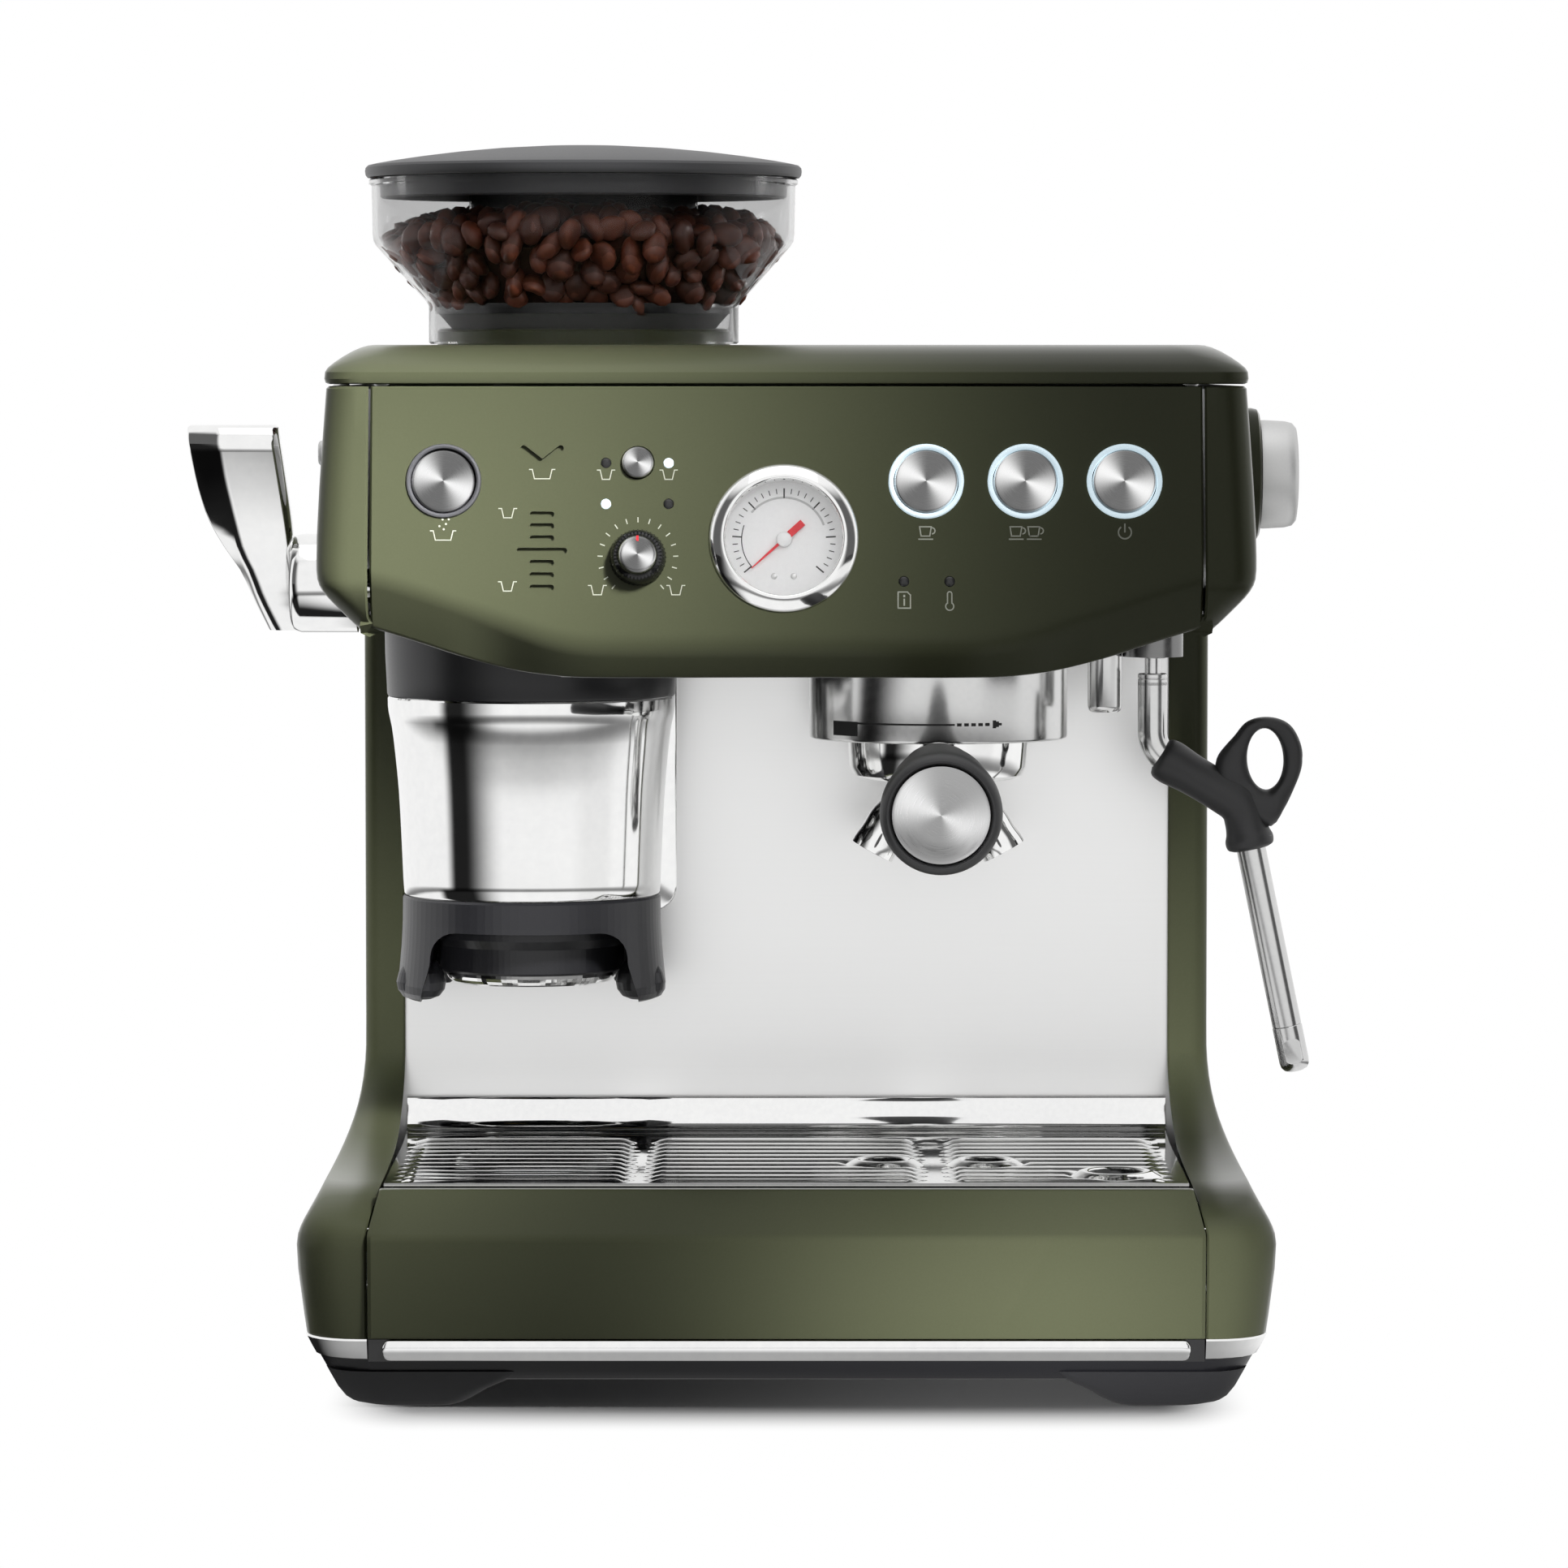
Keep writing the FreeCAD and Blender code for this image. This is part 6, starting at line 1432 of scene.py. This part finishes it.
def spouts():
    parts = [(lathe(SPOUT_HUB, 48, AT_GROUP), 0)]
    mouth = [(0, -0.5), (6.6, -0.5), (6.8, 0.1), (0, 0.12)]
    for side in (-1, 1):
        corners = ((0, 194), (16, 187), (22.3, 175.6))
        path = bent([Vector((GROUP[0] + x * side, GROUP[1], z)) for x, z in corners], 9)
        path = finer(path, 1.2)
        radii = [7 + 0.7 * eased_step((k - len(path) + 7) / 5) for k in range(len(path))]
        parts.append((tube(path, radii), 0))
        turn = pointing((path[-1] - path[-2]).normalized())
        parts.append((lathe(mouth, 32, Matrix.Translation(path[-1]) @ turn), 1))
    finishes = [CHROME, GLOSS_BLACK]
    nodes = ["portafilter_spouts"]
    show("twin_spouts", parts, finishes, "portafilter", nodes, "chrome", crisp=40)


# Steam wand and hot water

LOOP_WIDTHS = (
    (0, 12.4), (30, 13.1), (58, 14.2), (89, 14.1), (116, 13.9), (141, 12.9), (160, 13.9),
    (182, 16.5), (205, 17.5), (225, 16.5), (242, 16.5), (258, 20), (270, 22.5), (277, 22.4),
    (290, 18), (309, 14.4), (330, 12.8), (360, 12.4),
)
BALL_RADIUS = 7.5
BALL_FOOT = [(7.2, -0.7), (6.2, -1.4), (5.6, -2.3), (4.4, -2.9), (0, -3)]
WAND_NECK = [
    (0, 2.4), (2.6, 2.4), (2.6, 8), (4.4, 8), (4.9, 8.4), (4.9, 9.5), (4.6, 9.7), (4.6, 9.9),
    (4.9, 10.1), (4.9, 12), (0, 12),
]
WAND_RADIUS = 4.9
NOZZLE = [
    (0, -16.4), (4.7, -16.4), (4.7, -15.8), (5, -15.5), (5, -3.6), (4.7, -2), (3.8, -0.8),
    (2.4, -0.2), (0, 0),
]
SLEEVE_START = ((0, 4.6), (0.5, 6.2), (1.2, 6.9), (2.4, 7.3), (5, 7.5), (12, 6.9), (20, 6.8))
SLEEVE_END = ((17, 7.2), (9, 7), (6, 7.3), (3.6, 8.1), (1.6, 8), (0.6, 7.4), (0, 6))
WATER_SPOUT = [
    (0, 258), (5.7, 258), (5.7, 225.4), (5.3, 224), (4.6, 223.4), (3.4, 223.4), (3.2, 230),
    (0, 230),
]


def swollen(value):
    """A part of a round section, drawn out towards a square."""
    return math.copysign(abs(value) ** 0.66, value)


def finger_loop():
    middle = BALL + Vector((37.9, 0, -36.8))
    rings = []
    for step in range(72):
        angle = 2 * math.pi * step / 72
        out = Vector((math.cos(angle), 0, math.sin(angle)))
        inner = 1 / math.hypot(math.cos(angle - 0.06) / 6.1, math.sin(angle - 0.06) / 10.3)
        outer = eased(LOOP_WIDTHS, step * 5)
        thick = 4 + 1.6 * eased_step((outer - 13.5) / 6)
        ring = []
        for k in range(24):
            turn = 2 * math.pi * k / 24
            far = (inner + outer) / 2 + swollen(math.cos(turn)) * (outer - inner) / 2
            ring.append(middle + out * far + Vector((0, thick * swollen(math.sin(turn)), 0)))
        rings.append(ring)
    return loft(rings, around=True)


def wand():
    dome = [(0, BALL_RADIUS)]
    for turn in map(math.radians, range(85, -1, -5)):
        dome.append((BALL_RADIUS * math.cos(turn), BALL_RADIUS * math.sin(turn)))
    pivot = lathe(dome + BALL_FOOT, 48, Matrix.Translation(BALL))
    show("wand_pivot_ball", pivot, [SATIN_ALLOY], "wand_ball", ["wand_ball"], "steel", crisp=40)

    corner = BALL + Vector((0, 0, -34.4))
    elbow = BALL + Vector((30.2, 0, -51.9))
    tip = BALL + Vector((48.8, 0, -142))
    along = (tip - elbow).normalized()
    run = (elbow - corner).normalized()
    neck = lathe(WAND_NECK, 40, Matrix.Translation(BALL) @ Matrix.Rotation(math.pi, 4, "X"))
    path = bent([BALL + Vector((0, 0, -11)), corner, elbow, tip - along * 16], 12, 10)
    pipe = tube(path, [WAND_RADIUS] * len(path))
    nozzle = mended(lathe(NOZZLE, 40, Matrix.Translation(tip) @ pointing(along)))
    end = shape_object("wand_nozzle", nozzle)
    lean = Matrix.Rotation(-math.atan2(along.x, -along.z), 4, "Y")
    place = Matrix.Translation(tip - along * 7.2) @ lean @ Matrix.Rotation(QUARTER, 4, "X")
    carve(end, prism(block(-3.1, 3.1, -4.2, 4.2, 2.4, 5), 4.1, 12, place))
    parts = [(neck, 0), (pipe, 0), (taken(end), 0)]
    show("wand_pipe", parts, [TURNED], "wand", ["wand_tube"], "steel", crisp=40)

    path = finer(bent([corner + run * 2.6, elbow, elbow + along * 15.4], 9, 10), 0.6)
    reach = [0]
    for before, here in zip(path, path[1:]):
        reach.append(reach[-1] + (here - before).length)
    widths = SLEEVE_START + tuple((reach[-1] - left, width) for left, width in SLEEVE_END)
    sleeve = tube(path, [eased(widths, place) for place in reach])
    parts = [(sleeve, 0), (finger_loop(), 0)]
    show("wand_grip_sleeve", parts, [BLACK], "wand", ["wand_grip"], "black", crisp=60)

    water = lathe(WATER_SPOUT, 40, upright(106.7, -60))
    show("water_outlet", water, [TURNED], "housing", ["hot_water_spout"], "black", crisp=40)


# Drip tray and grille

TRAY_FRONT = [
    (-140, 24.3, 0), (-148.4, 24.3, 0.8), (-150, 57.6, 4), (-136.2, 71.7, 1.6), (-131.4, 71.7, 0.6),
    (-131.4, 68, 0), (-140, 60, 0),
]
TRAY_REACH = (
    (24, TRAY_HALF), (55, TRAY_HALF), (59, TRAY_HALF - 0.1), (71.7, TRAY_HALF - 3.2),
)
STRIP_END = ((1, 2.6), (0.9985, 1.5), (0.9945, 0.6), (0.988, 0.1), (0.98, 0))
STRIP_SECTION = (
    (-143, 17.2), (-146.6, 17), (-147.8, 17.4), (-148.5, 18.4), (-148.6, 19), (-149, 19.4),
    (-149.3, 20.4), (-149.3, 22.8), (-148.8, 23.8), (-147.6, 24), (-143, 24),
)
STRIP_MIDDLE = 20.6


def tray():
    path = rounded(TRAY_FRONT, closed=False)
    shares = [0, 0.0045, *(step / 24 for step in range(1, 24)), 0.9955, 1]
    rings = []
    for share in shares:
        back = 0.8 if share in (0, 1) else 0
        ring = []
        for p in path:
            drop = 0.3 if back and p.y > 71 else 0
            x = (2 * share - 1) * eased(TRAY_REACH, p.y)
            ring.append(Vector((x, p.x + back, p.y - drop)))
        rings.append(ring)
    show("tray_fascia", loft(rings), [PAINT], "tray", ["tray_front"], "paint", crisp=30)

    rings = []
    for reach, shrink in [(-reach, shrink) for reach, shrink in STRIP_END] + [*STRIP_END[::-1]]:
        ring = []
        for depth, height in STRIP_SECTION:
            z = STRIP_MIDDLE + (height - STRIP_MIDDLE) * (1 - shrink / 3.6)
            ring.append(Vector((131 * reach, depth + shrink * 0.2, z)))
        rings.append(ring)
    seat = brick((-TRAY_HALF + 0.1, TRAY_HALF - 0.1), (-146.4, -140.2), (16.8, 24))
    parts = [(loft(rings), 0), (seat, 1)]
    show("tray_trim_strip", parts, [CHROME, GLOSS_BLACK], "tray", ["tray_trim"], "chrome")


RIB_BLOCKS = ((-127, -52), (-45.5, 44), (54, 125))
RIB_PITCH = 11.3
RIB_FLAT = 1.7
FIRST_RIB = -126.6
RIB_COUNT = 11
LIPPED_HOLES = ((32.6, -80, 9.4), (66.3, -80, 9.4), (108.3, -112, 11.2))
HOLE_LIP = (
    (-2, 1.5), (-1.2, 2.1), (-0.2, 2.2), (0.9, 1.9), (2.2, 1), (3.8, 0.1), (3.8, -0.5),
    (-1.4, -0.5),
)
HOLE_THROAT = (
    (-4.8, -3.2), (-4.5, -1.6), (-3.6, 0), (-2, 1.5), (-1.5, 1.2), (-3.2, -1.2), (-4.2, -3.2),
)
GRILLE_HALF = 131.4
GRILLE_FRONT = -130
GRILLE_FOLD = 2
GRILLE_LEVEL = 73
GRILLE_RISE = 1.2


def pressing(x, y):
    """How far the pressed ribs lift the sheet of the grille, which stays flat round the holes."""
    lift = 0
    for left, right in RIB_BLOCKS:
        fade = eased_step(min(x - left, right - x) / 4)
        reach = eased_step((FIRST_RIB + RIB_PITCH * (RIB_COUNT - 0.5) - y) / 3)
        off = abs((y - FIRST_RIB + RIB_PITCH / 2) % RIB_PITCH - RIB_PITCH / 2)
        fall = eased_step((off - RIB_FLAT) / (RIB_PITCH / 2 - RIB_FLAT))
        lift += fade * reach * (1.1 - min(off, RIB_FLAT) ** 2 / 20 - 2.1 * fall)
    near = min(math.hypot(x - at, y - row) - radius for at, row, radius in LIPPED_HOLES)
    lift *= 1 - eased_step((6 - near) / 4)
    edge = min(x + GRILLE_HALF, GRILLE_HALF - x, y - GRILLE_FRONT)
    return lift * eased_step(edge / 3) + GRILLE_RISE * eased_step((y + 20) / 22)


def at_holes(section, steps, closed):
    """A section turned about each hole of the grille."""
    rings = bmesh.new()
    for x, y, radius in LIPPED_HOLES:
        profile = [(max(0, radius + out), GRILLE_LEVEL + up) for out, up in section]
        lathe(profile, steps, upright(x, y), closed=closed, mesh=rings)
    return rings


def grille():
    xs = even_steps(-GRILLE_HALF, GRILLE_HALF, 2)
    ys = even_steps(GRILLE_FRONT, GRILLE_FOLD, RIB_PITCH / 12)
    sheet = loft([[Vector((x, y, GRILLE_LEVEL)) for x in xs] for y in ys], closed=False)
    pressed = shape_object("grille_pressing", sheet)
    thicken(pressed, 1)
    carve(pressed, at_holes([(-99, -13), (-1, -13), (-1, 7), (-99, 7)], 40, False))
    for vert in pressed.data.vertices:
        spot = vert.co * 1000 - SHIFT
        vert.co.z += pressing(spot.x, spot.y) * 0.001
    fold = GRILLE_LEVEL + GRILLE_RISE
    section = [(0, fold - 1), (0, fold), (1.2, fold + 0.7), (2.4, fold + 0.5)]
    for turn in even_steps(0, QUARTER, QUARTER / 8):
        section.append((2.6 + 4.4 * math.sin(turn), fold + 0.4 + 8.6 * (1 - math.cos(turn))))
    section += [(7.2, 85.4), (7.6, 86), (7.6, fold - 1)]
    ends = (-GRILLE_HALF, GRILLE_HALF)
    cove = loft([[Vector((x, GRILLE_FOLD + y, z)) for y, z in section] for x in ends])
    lips, throats = (at_holes(part, 48, True) for part in (HOLE_LIP, HOLE_THROAT))
    parts = [(taken(pressed), 0), (cove, 0), (lips, 0), (throats, 1)]
    finishes = [GRILLE_STEEL, GLOSS_BLACK]
    show("drip_grille_sheet", parts, finishes, "grille", ["drip_grille"], "steel", crisp=50)


def tank():
    outer = block(-TANK_HALF, TANK_HALF, TANK_FRONT, 137.6, (6, 6, 8, 8))
    walls = ((1.2, 24.5), (0, 26), (0, 332.6), (2.5, 332.6), (2.5, 27.5))
    shell = loft([level(shrunk(outer, inset), height) for inset, height in walls])
    show("tank_shell", shell, [TANK_CLEAR], "tank", ["water_tank"], "clear", crisp=30)


# Printed marks: plain lines, no words

INK = (-0.05, 0.07)
BASKETS = (
    (-111.2, 35.6, 3.2), (-79.2, 55.4, 3.2), (-58.5, 55.2, 1.9), (-38.2, 55.2, 1.9),
    (-90.3, 42.8, 2), (-90.3, 19.2, 2), (-61.2, 18, 2), (-35.8, 18, 2),
)
GROUNDS = ((-1.2, 3.2), (0.9, 3.9), (-0.2, 5.4), (1.8, 5.4), (0.2, 2.2))
CUPS = ((45.3, 36.8), (74.6, 36.8), (80.4, 36.8))
INK_ARCS = (
    (109.6, 36.8, 2.1, 125, 415, 0.5), (52.8, 17, 0.7, 0, 180, 0.4), (52.8, 13, 1.3, -235, 55, 0.4),
)
INK_LINES = (
    (0.5, (109.6, 37), (109.6, 39.4)),
    (0.4, (36.1, 17.6), (39.1, 17.6), (40.1, 16.6), (40.1, 12.4), (36.1, 12.4), (36.1, 17.6)),
    (0.5, (38.1, 13.4), (38.1, 15.2)),
    (0.6, (38.1, 16.2), (38.1, 16.4)),
    (0.4, (52.1, 17), (52.1, 14)),
    (0.4, (53.5, 17), (53.5, 14)),
)


def marks():
    ink = bmesh.new()
    arcs, lines = list(INK_ARCS), list(INK_LINES)
    for x, row, half in BASKETS:
        side = [(half + 0.9, 1.7), (half, 1.7), (half - 0.7, -1.3)]
        outline = [(-far, up) for far, up in side] + side[::-1]
        lines.append((0.3, *((x + far, row + up) for far, up in outline)))
    for x, row in CUPS:
        bowl = ((-2.2, 1.8), (-1.7, -1.2), (1.1, -1.2), (1.6, 1.8), (-2.2, 1.8))
        for points in (bowl, ((-2.4, -2.2), (2, -2.2))):
            lines.append((0.4, *((x + far, row + up) for far, up in points)))
        arcs.append((x + 1.8, row + 0.5, 1, -90, 90, 0.4))
    for step in range(17):
        turn = math.radians(-50 + 280 * step / 16)
        tick = [(far * math.cos(turn), far * math.sin(turn)) for far in (11.6, 12.9)]
        lines.append((0.35, *((DOSE_SPOT[0] + x, DOSE_SPOT[1] + row) for x, row in tick)))
    for width, *points in lines:
        stroke(ink, points, width, *INK)
    for x, row, radius, first, last, width in arcs:
        section = band(radius - width / 2, radius + width / 2, *INK)
        steps = max(6, int(abs(last - first) / 15))
        lathe(section, steps, face_at(x, row), first, last - first, closed=True, mesh=ink)
    for x, row in GROUNDS:
        place = face_at(BASKETS[0][0] + x, BASKETS[0][1] + row)
        lathe(band(0, 0.35, *INK), 8, place, mesh=ink)
    show("fascia_marks", ink, [PRINT], "housing", [], "white")


# Solids that stay, with their finishes

KEPT = {
    "splash_panel": SPLASH_STEEL,
    # The underside of the head takes the darkened steel as painted shade.
    "head_underside": UNDERSIDE_SHADE_STEEL,
    "rear_bulkhead": GREY_PLASTIC,
    "grinder_housing": BLACK,
    "upper_burr": IRON,
    "lower_burr": IRON,
    "grinder_motor": IRON,
    "burr_gear": BRASS,
    "motor_pinion": BRASS,
    "tamp_shaft": POLISHED,
    "tamp_plunger": POLISHED,
    "shower_screen": POLISHED,
    "heater": SATIN_ALLOY,
    "pump": BLACK,
    "control_board": BOARD,
    "filter_basket": POLISHED,
    "drip_tray": PAN_BLACK,
}


def kept_solids():
    for name, finish in KEPT.items():
        data = frame["nodes"][name].data
        if not data.materials:
            data.materials.append(finish)
        for index in range(len(data.materials)):
            data.materials[index] = finish


# Floor, light and camera. Metal mirrors only the floor and the sky, and the floor it mirrors holds
# a painted shadow next to the machine and a painted ring of shade further out. Dark cloths stand in
# them between turns from straight ahead, in degrees: start, full, fade, end.

LEFT_TURNS = (20, 57, 68, 79)
NEAR_LEFT_TURNS = (20, 52, 80, 90)
RIGHT_TURNS = (34, 52, 68, 80)
CLOTH_DARK = 0.015
FLOOR_HALF = 30
FLOOR_DROP = 0.0002
WHITE = (1, 1, 1, 1)
SOFTBOXES = (
    ("key", (0.33, -0.73, 0.83), (-0.16, -0.09, 0.25), (0.20, 0.20), 0.74, 21),
    ("low", (0.02, -0.80, 0.032), (0.10, -0.10, 0.03), (0.16, 0.05), 0.12, 15),
    ("right_column", (-0.10, -0.95, 0.24), (0.155, 0.05, 0.13), (0.08, 0.08), 0.034, 9),
    ("left_column", (-0.17, -0.95, 0.24), (-0.138, 0.05, 0.13), (0.08, 0.08), 0.026, 9),
    ("left_side", (-1.1, 0.60, 0.45), (-0.14, 0.12, 0.20), (0.3, 0.3), 0.36, 30),
    ("right_side", (1.12, 0.60, 0.45), (0.17, 0.12, 0.20), (0.3, 0.3), 0.36, 30),
    ("top", (0, -0.15, 1.3), (0, -0.05, 0.2), (0.9, 0.9), 0.6, 120),
)


def lamp(name, spot, target, size, power, beam):
    light = bpy.data.lights.new(name + "_softbox", "AREA")
    light.shape = "RECTANGLE"
    light.size, light.size_y = size
    light.energy = power
    light.spread = math.radians(beam)
    thing = placed(name + "_softbox", light)
    thing.location = spot
    thing.rotation_euler = (Vector(target) - Vector(spot)).to_track_quat("-Z", "Y").to_euler()
    thing.visible_camera = False
    thing.visible_glossy = name == "top"


def seen_ways(wires):
    """Whether a ray is seen straight or through clear pieces, and whether it is mirrored."""
    path = wires.add("ShaderNodeLightPath")
    shown = wires.maths("MAXIMUM", path["Is Camera Ray"], path["Is Transmission Ray"])
    return shown, path["Is Glossy Ray"]


def floor():
    corners = level(block(-FLOOR_HALF, FLOOR_HALF, -FLOOR_HALF, FLOOR_HALF, 0), 0)
    data = bpy.data.meshes.new("floor")
    data.from_pydata(corners, [], [(0, 1, 2, 3)])
    thing = placed("floor", data)
    thing.location.z = -FLOOR_DROP
    finish, wires, bsdf = new_finish("studio_floor")
    matt = {"Base Color": even(0.86), "Roughness": 0.6, "Specular IOR Level": 0.1}
    for label, value in matt.items():
        wires.feed(bsdf.inputs[label], value)
    maths, vector, ramp = wires.maths, wires.vector, wires.ramp
    place = wires.add("ShaderNodeTexCoord")["Object"]
    centred = vector("ABSOLUTE", vector("SUBTRACT", place, (0.013, 0.047, 0)))
    outside = vector("MAXIMUM", vector("SUBTRACT", centred, (0.12, 0.125, 0)), (0, 0, 0))
    away = vector("LENGTH", vector("MULTIPLY", outside, (1.7, 1, 1)))
    from_cradle = vector("SUBTRACT", place, (-0.073, 0.01, 0))
    around = wires.parts(from_cradle)
    reach = vector("LENGTH", from_cradle)
    near = ramp(reach, 0.55, 0.80, 1, 0)
    # Painted shade: a darker ring on the floor as metal sees it, from 0.47 to 1.05 m from the
    # cradle.
    painted_floor_shade_ring = maths("MAXIMUM", ramp(reach, 0.47, 0.60, 1, 0.24), ramp(reach, 0.62, 1.05, 0.24, 1))
    # Painted shadow: the floor as metal sees it is darker next to the machine's footprint.
    painted_floor_shadow = maths("MULTIPLY", ramp(away, 0.03, 0.12, 0.42, 1), painted_floor_shade_ring)
    right_dark = ramp(reach, 2.2, 3.2, 0.9, 0.05)
    mirrored = maths("MULTIPLY", wires.studio(around["X"], around["Y"], right_dark, near), painted_floor_shadow)
    shown, glossy = seen_ways(wires)
    share = maths("MAXIMUM", maths("MULTIPLY", ramp(away, 0, 0.056, 0, 1), shown), glossy)
    strength = maths("MULTIPLY_ADD", maths("SUBTRACT", mirrored, 1), glossy, 1)
    glow = wires.add("ShaderNodeEmission", {"Color": WHITE, "Strength": strength})[0]
    mix = wires.add("ShaderNodeMixShader", {0: share, 1: bsdf.outputs[0], 2: glow})[0]
    wires.feed(finish.node_tree.nodes["Material Output"].inputs["Surface"], mix)
    data.materials.append(finish)


def sky():
    world = bpy.data.worlds.new("studio")
    bpy.context.scene.world = world
    world.use_nodes = True
    glow = world.node_tree.nodes["Background"].inputs
    wires = Wires(world.node_tree)
    maths = wires.maths
    way = wires.parts(wires.add("ShaderNodeTexCoord")["Generated"])
    cloths = wires.studio(way["X"], way["Y"], CLOTH_DARK)
    cloths = maths("MAXIMUM", cloths, wires.ramp(way["Z"], 0.6, 0.85, 0, 1))
    shown, glossy = seen_ways(wires)
    strength = maths("MAXIMUM", maths("MAXIMUM", shown, 0.12), maths("MULTIPLY", cloths, glossy))
    wires.feed(glow["Color"], WHITE)
    wires.feed(glow["Strength"], strength)


def camera():
    data = bpy.data.cameras.new("view")
    data.sensor_fit = "HORIZONTAL"
    data.sensor_width = 36
    data.lens = 155.8
    data.clip_end = 100
    thing = placed("view", data)
    thing.location = (0.0121, -2.281, 0.3413)
    thing.rotation_euler = (math.radians(90 - 3.58), 0, 0)
    bpy.context.scene.camera = thing


camera()
base()
side_panels()
fascia()
cover()
hopper()
lever()
side_dials()
controls()
gauge()
cradle()
group()
wand()
tray()
grille()
tank()
marks()
kept_solids()
floor()
sky()
for softbox in SOFTBOXES:
    lamp(*softbox)

bpy.context.scene.view_settings.view_transform = "Standard"
